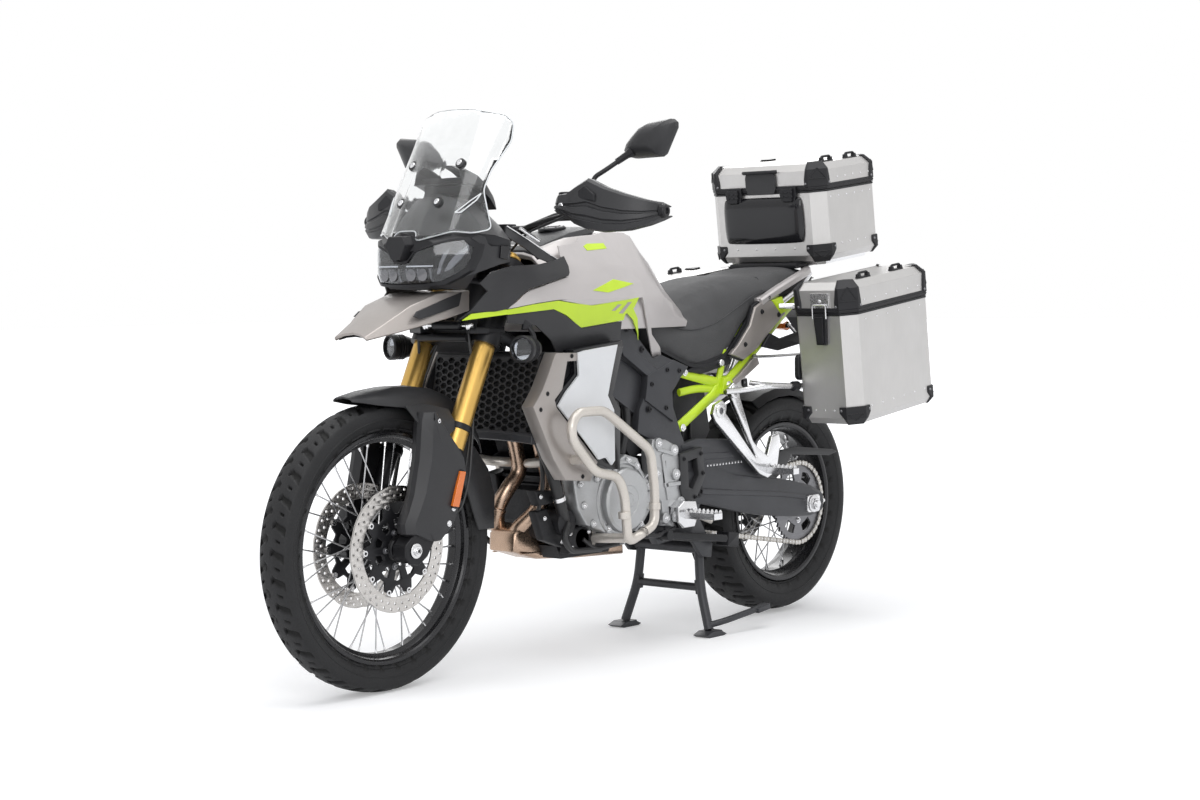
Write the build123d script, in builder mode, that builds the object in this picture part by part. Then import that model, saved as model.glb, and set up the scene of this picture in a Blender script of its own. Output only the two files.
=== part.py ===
"""Adventure motorcycle with three aluminium cases, parked on its centre stand.

Millimetres. +X points forwards, +Y to the rider's left, +Z up. The origin is on the floor
under the middle of the overall length. Rows in the tables are (x, y, z) unless a comment
names their columns.
"""
import os
from math import atan2, cos, degrees, pi, radians, sin, sqrt, tan

from build123d import *

os.makedirs("parts", exist_ok=True)

# ---------------------------------------------------------------- driving dimensions
# wheels: outer radius, tyre width, rim flange radius, rim width, hub radius
FRONT_R, FRONT_W, FRONT_RIM_R, FRONT_RIM_W = 347.7, 92.0, 279.0, 62.0
REAR_R, REAR_W, REAR_RIM_R, REAR_RIM_W = 320.9, 150.0, 231.0, 120.0
AXLE_X = 793.0  # both axles lie this far from the middle
REAR_LIFT = 6.0  # daylight under the rear tyre when the machine is on its stand
AXLE_R = 12.5
RIM_T = 14.0  # depth of a rim's flange
SPOKES = 36
SPOKE_LEAD = 50.0  # degrees between a spoke's foot and its head
SPOKE_R = 1.8

# fork and steering
RAKE = 25.5  # degrees
FORK_SPACING = 208.0
FORK_OFFSET = 25.0  # fork legs ahead of the steering axis
FORK_X, FORK_Z = 518.0, 835.0  # a point on the fork legs' line, at the lower yoke
TUBE_R = 27.0
LEG_R = 22.0
GRIP_SPAN = 900.0
BAR_R = 11.0

# brakes
FRONT_DISC_R, REAR_DISC_R = 152.5, 132.5
DISC_T = 5.0
FRONT_DISC_Y = 64.0
PAD_GAP = 5.5

# cases: length, height of the body, height of the lid, wall, bevel of the upright edges
CASE_WALL = 3.0
CASE_BEVEL = 37.0
CASE_TILT = 7.0
LID_CHAMFER = 20.0
SEAM = 1.5  # gap under a lid
SIDE_CASE_L, SIDE_CASE_H, SIDE_LID_H = 424.0, 312.0, 86.0
SIDE_CASE_IN, SIDE_CASE_OUT = 252.0, 438.0
SIDE_CASE_X, SIDE_CASE_Z = -627.0, 573.0
TOP_CASE_L, TOP_CASE_H, TOP_LID_H, TOP_CASE_W = 312.0, 207.0, 77.0, 408.0
TOP_CASE_X, TOP_CASE_Z = -808.0, 1030.0
# hinge barrels behind the cases: radius, distance behind the wall, leaf thickness and height
HINGE_R, HINGE_OUT, LEAF_T, LEAF_H = 5.0, 6.0, 4.0, 20.0
SIDE_HINGE_SPAN, TOP_HINGE_SPAN = 60.0, 90.0  # half of a hinge's length
KNUCKLE_GAP = 1.0

# stands
STAND_PIVOT_X, STAND_PIVOT_Z = -330.0, 240.0
STAND_LEAN = 18.0  # the feet stand this far ahead of the pivot
STAND_TUBE_R = 13.0
SIDE_STAND_PIVOT = (-110.0, 160.0, 300.0)
SIDE_STAND_L = 275.0
SIDE_STAND_LEAN = 18.0  # degrees by which the pivot leans out of the level
PIN_R, PIN_GAP, BOSS_R, BOSS_HALF = 6.0, 0.5, 14.0, 14.0

REACH = AXLE_X + FRONT_R  # half of the overall length
REAR_Z = REAR_R + REAR_LIFT
CHAIN_Y = 110.0
SPROCKET_R, FRONT_SPROCKET_R = 108.0, 40.0
SPROCKET_T = 6.0
LINK = 14.0  # height of the chain's belt
CHAIN_HALF = 9.0  # half of the belt's width
CHAIN_SEAT = 1.5  # room between the rear sprocket and the belt
HUB_BORE = 14.0
FRONT_SPROCKET = (-205.0, 352.0)  # x, z
SWING_PIVOT = (-262.0, 405.0)  # x, z


# ---------------------------------------------------------------- helpers
def fork_x(z, ahead=0.0):
    """x of the fork legs' line at height z, moved ahead of it by a distance."""
    return FORK_X + (FORK_Z - z) * tan(radians(RAKE)) + ahead


def steer_x(z):
    return fork_x(z, -FORK_OFFSET / cos(radians(RAKE)))


def rod(start, end, radius):
    """A straight round bar between two points."""
    run = Vector(*end) - Vector(*start)
    with BuildPart() as made:
        with BuildSketch(Plane(origin=start, z_dir=run)):
            Circle(radius)
        extrude(amount=run.length)
    return made.part


def tube(points, radius, bend):
    """A round bar along straight runs that are joined by arcs of one bend radius."""
    with BuildPart() as made:
        with BuildLine() as path:
            FilletPolyline(*points, radius=bend)
        with BuildSketch(Plane(origin=path.line @ 0, z_dir=path.line % 0)):
            Circle(radius)
        sweep(path=path.line)
    return made.part


def plate(outline, y_low, y_high):
    """A slab with its outline in X and Z, between two values of y."""
    with BuildPart() as made:
        with BuildSketch(Plane.XZ.offset(-y_high)):
            with BuildLine():
                Polyline(*outline, close=True)
            make_face()
        extrude(amount=y_high - y_low)
    return made.part


def shell_x(rows):
    """A ruled body along X. Each row is (x, [(y, z), ...]), every outline with as many corners."""
    with BuildPart() as made:
        for x, outline in rows:
            with BuildSketch(Plane.YZ.offset(x)):
                with BuildLine():
                    Polyline(*outline, close=True)
                make_face()
        loft(ruled=True)
    return made.part


def along(table, at):
    """The value at a place in a table of (place, value), straight between its rows."""
    for (low, low_value), (high, high_value) in zip(table, table[1:]):
        if at <= high:
            share = max(0.0, (at - low) / (high - low))
            return low_value + share * (high_value - low_value)
    return table[-1][1]


def turned(profile, centre, y0=0.0):
    """A body of revolution about a line along Y. The profile's points are (radius, y)."""
    x, z = centre
    with BuildPart() as made:
        with BuildSketch(Plane(origin=(x, y0, z), x_dir=(1, 0, 0), z_dir=(0, 0, 1))):
            with BuildLine():
                Polyline(*profile, close=True)
            make_face()
        revolve(axis=Axis((x, y0, z), (0, 1, 0)))
    return made.part


def disc(radius, centre, y_low, y_high, hole=0.0):
    """A round plate about a line along Y."""
    x, z = centre
    with BuildPart() as made:
        with BuildSketch(Plane(origin=(x, y_high, z), z_dir=(0, -1, 0))):
            Circle(radius)
            if hole:
                Circle(hole, mode=Mode.SUBTRACT)
        extrude(amount=y_high - y_low)
    return made.part


def save(built, name):
    built.part.label = name
    export_step(built.part, f"parts/{name}.step")


def save_all(name, pieces, mirrored=(), cut=()):
    """Joins pieces, adds mirrored ones on both sides, cuts what they must clear, and writes them."""
    with BuildPart() as node:
        for piece in pieces:
            add(piece)
        for piece in mirrored:
            add(piece)
            add(piece.mirror(Plane.XZ))
        for piece in cut:
            add(piece, mode=Mode.SUBTRACT)
    save(node, name)
    return node.part


def both(piece):
    """A piece and its mirror image on the other side."""
    return [piece, piece.mirror(Plane.XZ)]


def belt(start, start_r, end, end_r, y_low, y_high):
    """The solid round two circles that share their outer tangents, in X and Z."""
    run = Vector(end[0] - start[0], end[1] - start[1])
    lean = atan2(run.Y, run.X)
    spread = atan2(sqrt(run.length**2 - (start_r - end_r) ** 2), start_r - end_r)
    corners = []
    for (x, z), radius, sign in (
        (start, start_r, 1), (end, end_r, 1), (end, end_r, -1), (start, start_r, -1)
    ):
        angle = lean + sign * spread
        corners.append((x + radius * cos(angle), z + radius * sin(angle)))
    with BuildPart() as made:
        with BuildSketch(Plane.XZ.offset(-y_high)):
            with BuildLine():
                Polyline(*corners, close=True)
            make_face()
            with Locations(start):
                Circle(start_r)
            with Locations(end):
                Circle(end_r)
        extrude(amount=y_high - y_low)
    return made.part


# ---------------------------------------------------------------- wheels
def tyre_profile(rim_r, rim_w, outer_r, width):
    """(radius, y) of a tyre that fills the rim's well, crown at y 0."""
    seat_y, side_y, tall = rim_w / 2 - 4, width / 2, outer_r - rim_r
    half = [
        (rim_r - 6, seat_y), (rim_r + 3, seat_y), (rim_r + 0.35 * tall, side_y - 3),
        (rim_r + 0.6 * tall, side_y), (rim_r + 0.84 * tall, 0.78 * side_y), (outer_r - 3, 0.42 * side_y),
        (outer_r, 0.14 * side_y),
    ]
    return half + [(r, -y) for r, y in reversed(half)]


def rim_profile(rim_r, rim_w):
    edge = rim_w / 2
    half = [
        (rim_r - 6, edge - 4), (rim_r, edge - 4), (rim_r, edge), (rim_r - RIM_T, edge),
        (rim_r - RIM_T - 10, 0.4 * edge),
    ]
    return half + [(r, -y) for r, y in reversed(half)]


def wire_spokes(centre, hub_r, hub_y, rim_r, rim_y):
    """Crossed spokes: hub_y and rim_y are (from, step) of the two layers on each side."""
    x, z = centre
    spokes = []
    for n in range(SPOKES):
        side = 1 if n % 2 else -1
        outer = (n // 2) % 2
        turn = 2 * pi * n / SPOKES
        lead = radians(SPOKE_LEAD) * (1 if outer else -1)
        y_hub = side * (hub_y[0] + outer * hub_y[1])
        y_rim = side * (rim_y[0] + outer * rim_y[1])
        foot = (x + hub_r * cos(turn + lead), y_hub, z + hub_r * sin(turn + lead))
        head = (x + rim_r * cos(turn), y_rim, z + rim_r * sin(turn))
        spokes.append(rod(foot, head, SPOKE_R))
    return spokes


FRONT_AXLE = (AXLE_X, FRONT_R)
REAR_AXLE = (-AXLE_X, REAR_Z)
# one row for each wheel: name, centre, outer radius, tyre width, rim radius, rim width,
# hub profile (radius, y), radius and y (from, step) of the spokes' feet, y (from, step) of their heads
WHEELS = (
    ("front", FRONT_AXLE, FRONT_R, FRONT_W, FRONT_RIM_R, FRONT_RIM_W,
     [(13, 70), (20, 70), (24, 60), (26, 40), (46, 38), (46, 27), (28, 20)], 40, (28, 9), (2, 8)),
    ("rear", REAR_AXLE, REAR_R, REAR_W, REAR_RIM_R, REAR_RIM_W,
     [(13, 92), (30, 92), (34, 62), (60, 60), (60, 46), (36, 30)], 54, (47, 12), (10, 10)),
)
CARRIER_R = 118.0
carrier = disc(CARRIER_R, FRONT_AXLE, FRONT_DISC_Y - 2, FRONT_DISC_Y + 2, 23)
sprocket = disc(SPROCKET_R, REAR_AXLE, CHAIN_Y - SPROCKET_T / 2, CHAIN_Y + SPROCKET_T / 2, HUB_BORE)
cush_drive = disc(52, REAR_AXLE, 91, CHAIN_Y - 2, HUB_BORE)
drive_and_brakes = {"front": both(carrier), "rear": [sprocket, cush_drive]}
for name, centre, outer_r, width, rim_r, rim_w, hub, foot_r, foot_y, head_y in WHEELS:
    save_all(f"{name}_tyre", [turned(tyre_profile(rim_r, rim_w, outer_r, width), centre)])
    save_all(f"{name}_rim", [turned(rim_profile(rim_r, rim_w), centre)])
    body = turned(hub + [(r, -y) for r, y in reversed(hub)], centre)
    save_all(f"{name}_hub", [body, *drive_and_brakes[name]])
    save_all(f"{name}_spokes", wire_spokes(centre, foot_r, foot_y, rim_r - RIM_T, head_y))


def brake_disc(radius, centre, y, inner=0.0, room=0.0):
    """A brake disc, or the room that it needs in a caliper."""
    half = DISC_T / 2 + room
    return disc(radius + room, centre, y - half, y + half, inner)


REAR_DISC_Y = -97.0
save_all("front_discs", [], [brake_disc(FRONT_DISC_R, FRONT_AXLE, FRONT_DISC_Y, CARRIER_R)])
save_all("rear_disc", [brake_disc(REAR_DISC_R, REAR_AXLE, REAR_DISC_Y, 34)])

# ---------------------------------------------------------------- fork and steering
FORK_Y = FORK_SPACING / 2
fork_tube = rod((fork_x(1035), FORK_Y, 1035), (fork_x(560), FORK_Y, 560), TUBE_R)
save_all("fork_tubes", [], [fork_tube])
leg = rod((fork_x(560), FORK_Y, 560), (fork_x(400), FORK_Y, 400), LEG_R)
foot_block = plate([(fork_x(420, -26), 420), (fork_x(420, 24), 420), (AXLE_X + 24, 372), (AXLE_X + 26, 330),
                    (AXLE_X - 10, 318), (fork_x(330, -26), 335)], FORK_Y - 24, FORK_Y + 20)
axle = rod((AXLE_X, -FORK_Y - 26, FRONT_R), (AXLE_X, FORK_Y + 26, FRONT_R), AXLE_R)
fork_legs = save_all("fork_legs", [axle], [leg, foot_block])


def yoke(z, thick, reach):
    """A fork bridge round both tubes, square to the steering axis."""
    rake = radians(RAKE)
    plane = Plane(origin=(steer_x(z), 0, z), x_dir=(0, 1, 0), z_dir=(-sin(rake), 0, cos(rake)))
    with BuildPart() as made:
        with BuildSketch(plane):
            with Locations((FORK_Y, -FORK_OFFSET), (-FORK_Y, -FORK_OFFSET)):
                Circle(TUBE_R + 9)
            with Locations((0, -FORK_OFFSET / 2)):
                Rectangle(FORK_SPACING, reach)
            with Locations((FORK_Y, -FORK_OFFSET), (-FORK_Y, -FORK_OFFSET)):
                Circle(TUBE_R, mode=Mode.SUBTRACT)
        extrude(amount=thick)
    return made.part


stem = rod((steer_x(820), 0, 820), (steer_x(1030), 0, 1030), 15)
damper = rod((fork_x(845, 46), -84, 845), (fork_x(845, 46), 84, 845), 10)
damper_post = rod((fork_x(848, -6), 70, 852), (fork_x(845, 46), 70, 845), 7)
yokes = save_all("yokes", [yoke(815, 30, 62), yoke(1000, 22, 62), stem, damper, *both(damper_post)],
                 cut=both(fork_tube))
BAR_Z, BAR_X = 1112.0, 352.0
GRIP_Y = GRIP_SPAN / 2
BAR_RISE = 30.0  # from the clamps up to the grips
bar_run = [(BAR_X, 0, BAR_Z), (BAR_X, 90, BAR_Z), (BAR_X - 6, 190, BAR_Z + BAR_RISE),
           (BAR_X - 32, GRIP_Y, BAR_Z + BAR_RISE + 2)]
bar = tube(bar_run, BAR_R, 60)
riser = rod((steer_x(1015) + 4, 36, 1020), (BAR_X, 36, BAR_Z), 14)
grip = rod((BAR_X - 15.6, 325, BAR_Z + 31.1), (BAR_X - 32.6, GRIP_Y + 5, BAR_Z + 32.1), 17)
perch = rod((BAR_X - 9, 255, BAR_Z + 31), (BAR_X - 15, 318, BAR_Z + 31), 15)
handlebar = save_all("handlebar", [], [bar, riser, grip, perch], [yokes])

# rows of (y, [(x, z) of the four corners of the guard's section])
GUARD_ROWS = (
    (235, [(372, 1176), (416, 1182), (420, 1150), (378, 1146)]),
    (300, [(392, 1222), (424, 1214), (436, 1120), (398, 1118)]),
    (360, [(380, 1228), (412, 1220), (424, 1098), (384, 1098)]),
    (440, [(345, 1196), (378, 1188), (386, 1102), (345, 1104)]),
    (505, [(300, 1162), (332, 1160), (336, 1132), (300, 1132)]),
)
with BuildPart() as guard:
    for y, corners in GUARD_ROWS:
        with BuildSketch(Plane.XZ.offset(-y)):
            with BuildLine():
                Polyline(*corners, close=True)
            make_face()
    loft(ruled=True)
save_all("handguards", [], [guard.part], [handlebar])
mirror_stem = tube([(BAR_X - 10, 286, BAR_Z + 50), (BAR_X - 34, 290, 1232), (258, 372, 1300)], 6, 30)
# the mirror's outline in Y and Z
MIRROR = [(322, 1298), (352, 1284), (440, 1284), (482, 1360), (470, 1374), (378, 1360), (332, 1322)]
with BuildPart() as mirror_head:
    with BuildSketch(Plane.YZ.offset(215)):
        with BuildLine():
            Polyline(*MIRROR, close=True)
        make_face()
    extrude(amount=42)
save_all("mirrors", [], [mirror_stem, mirror_head.part], [handlebar])

# front mudguard: rows of (x, half width, z of the middle, z of the edge)
MUDGUARD = (
    (560, 62, 690, 668), (650, 64, 728, 700), (766, 62, 735, 712), (850, 52, 728, 706), (902, 30, 717, 706),
)
MUDGUARD_T = 5.0


def mudguard_outline(half, z_mid, z_edge):
    low, mid = z_mid - MUDGUARD_T, half / 2
    return [(-half, z_edge), (-mid, z_mid), (mid, z_mid), (half, z_edge), (mid, low), (-mid, low)]


mud_rows = [(x, mudguard_outline(*row)) for x, *row in MUDGUARD]
FORK_GUARD = [(702, 713), (600, 690), (585, 600), (690, 362), (800, 362), (812, 400), (722, 640)]
side_guard = plate(FORK_GUARD, 126, 134)
bridge = plate([(700, 712), (640, 705), (600, 660), (690, 672)], 64, 130)
save_all("front_mudguard", [shell_x(mud_rows)], [side_guard, bridge], [*both(fork_tube), fork_legs])

caliper_at = (AXLE_X - 118, FRONT_R + 74)
with BuildPart() as caliper:
    with BuildSketch(Plane.XZ.offset(-98)):
        with Locations(Location((caliper_at[0], caliper_at[1]), -30)):
            RectangleRounded(64, 128, 14)
    extrude(amount=98 - 38)
    add(brake_disc(FRONT_DISC_R, FRONT_AXLE, FRONT_DISC_Y, room=PAD_GAP), mode=Mode.SUBTRACT)
save_all("front_calipers", [], [caliper.part], [fork_legs])

# ---------------------------------------------------------------- frame
with BuildPart() as head_tube:
    add(rod((steer_x(858), 0, 858), (steer_x(988), 0, 988), 34))
    add(rod((steer_x(850), 0, 850), (steer_x(1000), 0, 1000), 25), mode=Mode.SUBTRACT)
PLATE_Y = (121, 141)
spar = tube([(steer_x(930) - 28, 20, 930), (280, 95, 880), (40, 128, 800), (-110, 131, 700)], 20, 60)
pivot_plate = plate([(-40, 806), (-10, 770), (-70, 600), (-140, 500), (-128, 300), (-232, 286), (-296, 400),
                     (-215, 560), (-190, 650), (-228, 796)], *PLATE_Y)
down_tube = tube([(steer_x(880) - 26, 18, 880), (310, 60, 800), (275, 100, 706)], 15, 40)
cross = rod((-205, -PLATE_Y[1], 560), (-205, PLATE_Y[1], 560), 18)
EAR = 18.0  # metal round the centre stand's pivot
stand_ear = plate([(-232, 300), (-250, 286), (STAND_PIVOT_X + EAR + 6, STAND_PIVOT_Z - EAR),
                   (STAND_PIVOT_X - EAR, STAND_PIVOT_Z - EAR), (STAND_PIVOT_X - EAR, STAND_PIVOT_Z + EAR),
                   (-296, 330)], PLATE_Y[0], PLATE_Y[0] + 12)
pivot = Vector(*SIDE_STAND_PIVOT)
pivot_axis = Vector(0, cos(radians(SIDE_STAND_LEAN)), sin(radians(SIDE_STAND_LEAN)))
stand_lug = plate([(-84, 300), (-104, 276), (-160, 282), (-160, 330), (-96, 326)], *PLATE_Y)
stand_pin = rod(pivot - pivot_axis * (BOSS_HALF + 10), pivot + pivot_axis * (BOSS_HALF + 4), PIN_R)
main_frame = save_all("main_frame", [head_tube.part, cross, stand_lug, stand_pin],
                      [spar, pivot_plate, down_tube, stand_ear])
low_rail = tube([(-205, 130, 578), (-413, 132, 686), (-582, 128, 790), (-760, 108, 905), (-880, 92, 950)],
                14, 60)
top_rail = tube([(-235, 120, 735), (-330, 126, 716), (-413, 132, 686)], 12, 60)
strut = tube([(-300, 132, 600), (-375, 132, 640), (-413, 132, 700), (-420, 128, 790)], 9, 30)
seat_rail = tube([(-150, 95, 795), (-420, 100, 800), (-600, 105, 870), (-880, 92, 950)], 11, 60)
rail_cross = rod((-760, -108, 905), (-760, 108, 905), 12)
rear_subframe = save_all("rear_subframe", [rail_cross], [low_rail, top_rail, strut, seat_rail], [main_frame])

# ---------------------------------------------------------------- engine
CASE_HALF = 116.0  # half of the crankcase's width
CRANKCASE = [(-195, 340), (-150, 300), (190, 300), (240, 360), (240, 440), (180, 500), (-110, 510),
             (-190, 450)]
# (outline in x and z, half width) of each storey of the engine from below
STOREYS = (
    (CRANKCASE, CASE_HALF),
    ([(20, 500), (180, 440), (226, 508), (50, 580)], 100),
    ([(44, 572), (234, 500), (262, 572), (276, 640), (84, 650)], 112),
    ([(84, 650), (276, 640), (250, 700), (120, 706)], 98),
    ([(-70, 770), (150, 770), (170, 800), (150, 842), (-60, 842)], 88),
)
storeys = [plate(outline, -half, half) for outline, half in STOREYS]
crankcase = storeys[0]
# ribs across the barrels: (x, z) of the middle of each, along the cylinders' slope
BARREL_RIBS = ((124, 470), (133, 492), (142, 514), (151, 536))
RIB_LEAN = 22.0  # degrees
RIB_L, RIB_W, RIB_T = 208.0, 216.0, 6.0
ribs = []
for x, z in BARREL_RIBS:
    with BuildPart() as rib:
        with Locations(Location((x, 0, z), (0, RIB_LEAN, 0))):
            Box(RIB_L, RIB_W, RIB_T)
    ribs.append(rib.part)
CASE_RIBS_X = (-150, -124, 168, 190)
RIB_PROUD = 6.0
sump = plate([(30, 302), (50, 268), (240, 268), (258, 302)], 34, 96)
oil_filter = rod((236, 50, 372), (292, 50, 352), 33)
starter = rod((-34, -84, 535), (-34, 84, 535), 34)
case_ribs = []
for x in CASE_RIBS_X:
    rib_outline = [(x, 320), (x + 8, 320), (x + 8, 496), (x, 496)]
    case_ribs.append(plate(rib_outline, CASE_HALF, CASE_HALF + RIB_PROUD))
intake = rod((108, 52, 696), (70, 52, 775), 27)
block = [*storeys, sump, *ribs, oil_filter, starter]
engine_block = save_all("engine_block", block, [intake, *case_ribs], [main_frame])
COVER_AT = (63, 406)  # x, z
# (radius, y) of the round cover on each side
COVER = [(0, 116), (96, 116), (96, 136), (84, 142), (78, 142), (78, 158), (66, 172), (30, 172), (24, 168),
         (0, 168)]
COVER_BOSSES, BOSS_PLACE = 8, 96.0
cover = turned(COVER, COVER_AT)
bosses = []
for n in range(COVER_BOSSES):
    turn = 2 * pi * (n + 0.5) / COVER_BOSSES
    at = (COVER_AT[0] + BOSS_PLACE * cos(turn), COVER_AT[1] + BOSS_PLACE * sin(turn))
    bosses.append(disc(9, at, CASE_HALF, 140))
SPROCKET_COVER = [(-195, 336), (-110, 330), (-96, 420), (-40, 470), (-60, 560), (-120, 545), (-190, 450)]
sprocket_cover = plate(SPROCKET_COVER, PLATE_Y[1], 162)
sprocket_boss = disc(34, FRONT_SPROCKET, 162, 170)
engine_covers = save_all("engine_covers", [sprocket_cover, sprocket_boss], [cover, *bosses], [engine_block])
HEADER_R = 21.0
# left and right header from the cylinder head to the collector
HEADERS = (
    [(262, 85, 618), (312, 85, 606), (292, 85, 540), (262, 80, 470), (276, 52, 395), (312, 8, 345),
     (296, -20, 318)],
    [(262, -15, 618), (300, -15, 606), (280, -15, 540), (268, -16, 490), (312, -25, 445), (334, -42, 395),
     (312, -58, 345), (296, -45, 318)],
)
headers = [tube(points, HEADER_R, 30) for points in HEADERS]
COLLECTOR = [(326, 302), (322, 346), (262, 340), (205, 298), (-80, 294), (-80, 254), (90, 264), (244, 277)]
collector = plate(COLLECTOR, -64, 28)
link_pipe = tube([(-70, -30, 274), (-110, -70, 262), (-176, -172, 262), (-300, -202, 300), (-440, -212, 350),
                  (-620, -225, 404)], 24, 50)
SILENCER = (Vector(-600, -225, 398), Vector(-960, -232, 478))  # middle of its inlet and of its outlet
# (distance from the inlet as a share of the length, radius)
SILENCER_FORM = ((0.0, 27), (0.16, 54), (0.9, 54), (0.97, 44))
run = SILENCER[1] - SILENCER[0]
with BuildPart() as silencer:
    for share, radius in SILENCER_FORM:
        with BuildSketch(Plane(origin=SILENCER[0] + run * share, z_dir=run)):
            Circle(radius)
    loft(ruled=True)
    add(rod(SILENCER[0] + run * 0.9, SILENCER[1], 30))
    add(rod(SILENCER[0] + run * 0.94, SILENCER[1] + run * 0.02, 24), mode=Mode.SUBTRACT)
save_all("silencer", [silencer.part])
save_all("exhaust_pipes", headers + [collector, link_pipe], cut=[engine_block, silencer.part])

# ---------------------------------------------------------------- cooling
RAD_TOP, RAD_LOW, RAD_Y = (392, 796), (424, 602), 180
RAD_T, GRILLE_GAP, GRILLE_T = 42.0, 2.0, 8.0


def leaning_slab(front, back):
    """A slab as high and wide as the radiator, between two distances ahead of its front face."""
    (top_x, top_z), (low_x, low_z) = RAD_TOP, RAD_LOW
    outline = [(top_x + front, top_z), (low_x + front, low_z), (low_x + back, low_z), (top_x + back, top_z)]
    return plate(outline, -RAD_Y, RAD_Y)


core = leaning_slab(0, -RAD_T)
save_all("radiator", [core])
grille = leaning_slab(GRILLE_GAP + GRILLE_T, GRILLE_GAP)
# honeycomb: distance across a cell, width of the bars, depth, columns and rows
CELL, CELL_BAR, CELL_DEPTH, CELL_COLUMNS, CELL_ROWS = 31.0, 5.0, 5.0, 11, 7
face_run = Vector(RAD_TOP[0] - RAD_LOW[0], 0, RAD_TOP[1] - RAD_LOW[1])
face_x = (RAD_TOP[0] + RAD_LOW[0]) / 2 + GRILLE_GAP + GRILLE_T
face_middle = Vector(face_x, 0, (RAD_TOP[1] + RAD_LOW[1]) / 2)
grille_face = Plane(origin=face_middle, x_dir=(0, 1, 0), z_dir=(face_run.Z, 0, -face_run.X))
with BuildPart() as honeycomb:
    add(grille)
    with BuildSketch(grille_face):
        with HexLocations(CELL / 2, CELL_COLUMNS, CELL_ROWS):
            RegularPolygon((CELL - CELL_BAR) / 2, 6, major_radius=False, rotation=30)
    extrude(amount=-CELL_DEPTH, mode=Mode.SUBTRACT)
save_all("radiator_grille", [honeycomb.part])
# ---------------------------------------------------------------- crash bars
CRASH_R, CRASH_Y, CRASH_BEND = 12.5, 270.0, 16.0
# (x, z) of a side's loop, as two halves that meet on straight runs
LOOP_FRONT = [(316, 658), (365, 658), (392, 630), (388, 590), (303, 505), (215, 488), (190, 440), (178, 316),
              (124, 334)]
LOOP_REAR = [(316, 658), (267, 658), (84, 545), (68, 440), (70, 352), (124, 334)]
loop_halves = []
for half in (LOOP_FRONT, LOOP_REAR):
    loop_halves.append(tube([(x, CRASH_Y, z) for x, z in half], CRASH_R, CRASH_BEND))
loop_foot = rod((150, CRASH_Y, 325), (150, 110, 314), CRASH_R)
front_strut = tube([(340, CRASH_Y, 541), (325, 70, 520), (296, 36, 516), (236, 36, 514)], CRASH_R, 14)
crash_bars = save_all("crash_bars", [], [*loop_halves, loop_foot, front_strut], [engine_block, *headers])

SHROUD = [(391, 800), (444, 713), (476, 675), (406, 545), (362, 490), (270, 481), (330, 560), (395, 690),
          (340, 800)]
shroud = plate(SHROUD, 186, 226)
save_all("radiator_shrouds", [], [shroud], [crash_bars])
SHROUD_PANEL = [(325, 806), (183, 819), (226, 677), (186, 631), (178, 512), (242, 520), (300, 560),
                (378, 690), (331, 716)]
panel = plate(SHROUD_PANEL, 196, 222)
save_all("shroud_panels", [], [panel], [crash_bars, *both(shroud)])

# ---------------------------------------------------------------- tank and fairings
# the flank's outer face as it is seen from the front: (z, y)
FLANK = ((750, 160), (800, 174), (880, 195), (935, 205), (975, 192), (1020, 170), (1060, 142), (1125, 98))
# how that face's y changes along the machine: (x, change of y)
FLANK_CHANGE = ((-160, -20), (0, -8), (100, 0), (300, 0), (500, -12), (700, -60))
FLANK_T = 18.0  # how thick its panels are
PANEL_GAP = 1.0


def flank_y(x, z):
    """y of the flank's outer face."""
    return along(FLANK, z) + along(FLANK_CHANGE, x)


def flank_panel(outline, inwards, thick):
    """A panel with its outline in X and Z, behind the flank's face by a distance."""
    rows = []
    for x, change in FLANK_CHANGE:
        face = [(y + change - inwards, z) for z, y in FLANK]
        rows.append((x, face + [(y - thick, z) for y, z in reversed(face)]))
    with BuildPart() as made:
        add(shell_x(rows))
        add(plate(outline, 0, 2 * FLANK[0][1]), mode=Mode.INTERSECT)
    return made.part


# panel outlines: (x, z)
FAIRING = [(650, 892), (590, 965), (560, 1006), (400, 1026), (290, 1046), (272, 1072), (180, 1094),
           (79, 1106), (52, 1023), (6, 975), (-24, 890), (-108, 806), (-135, 780), (-100, 772), (-33, 838),
           (8, 826), (50, 874), (96, 880), (263, 864), (321, 897), (368, 913), (522, 902)]
LOWER_PANEL = [(521, 896), (367, 908), (336, 896), (260, 858), (101, 874), (56, 866), (90, 822), (210, 812),
               (335, 806), (364, 835), (424, 868), (520, 880)]
fairing = flank_panel(FAIRING, 0, FLANK_T)
save_all("side_fairings", [], [fairing], [main_frame])
lower_panels = save_all("lower_side_panels", [], [flank_panel(LOWER_PANEL, 4, 14)], [main_frame])

# rows of (x, half width of the top, widest half width, z of the bottom, z of the top)
TANK = (
    (-236, 40, 70, 880, 948), (-160, 62, 112, 860, 1022), (-62, 84, 200, 850, 1108),
    (51, 84, 200, 850, 1116), (200, 92, 200, 860, 1098), (330, 90, 200, 920, 1050),
)
TANK_SHARES = (0.0, 0.32, 0.62, 0.9)  # heights of its corners below the top, as shares of its height


def tank_outline(x, half_top, half_wide, z_low, z_top):
    """The tank's outline in Y and Z, inside the flank panels."""
    half = []
    for share in TANK_SHARES:
        z = z_low + share * (z_top - z_low)
        inside = flank_y(x, z) - FLANK_T - PANEL_GAP
        half.append((max(half_top, min(half_wide, inside)), z))
    half.append((half_top, z_top))
    return half + [(-y, z) for y, z in reversed(half)]


tank_rows = [(row[0], tank_outline(*row)) for row in TANK]
tank = save_all("fuel_tank", [shell_x(tank_rows)], cut=[main_frame, *both(fairing)])

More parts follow.
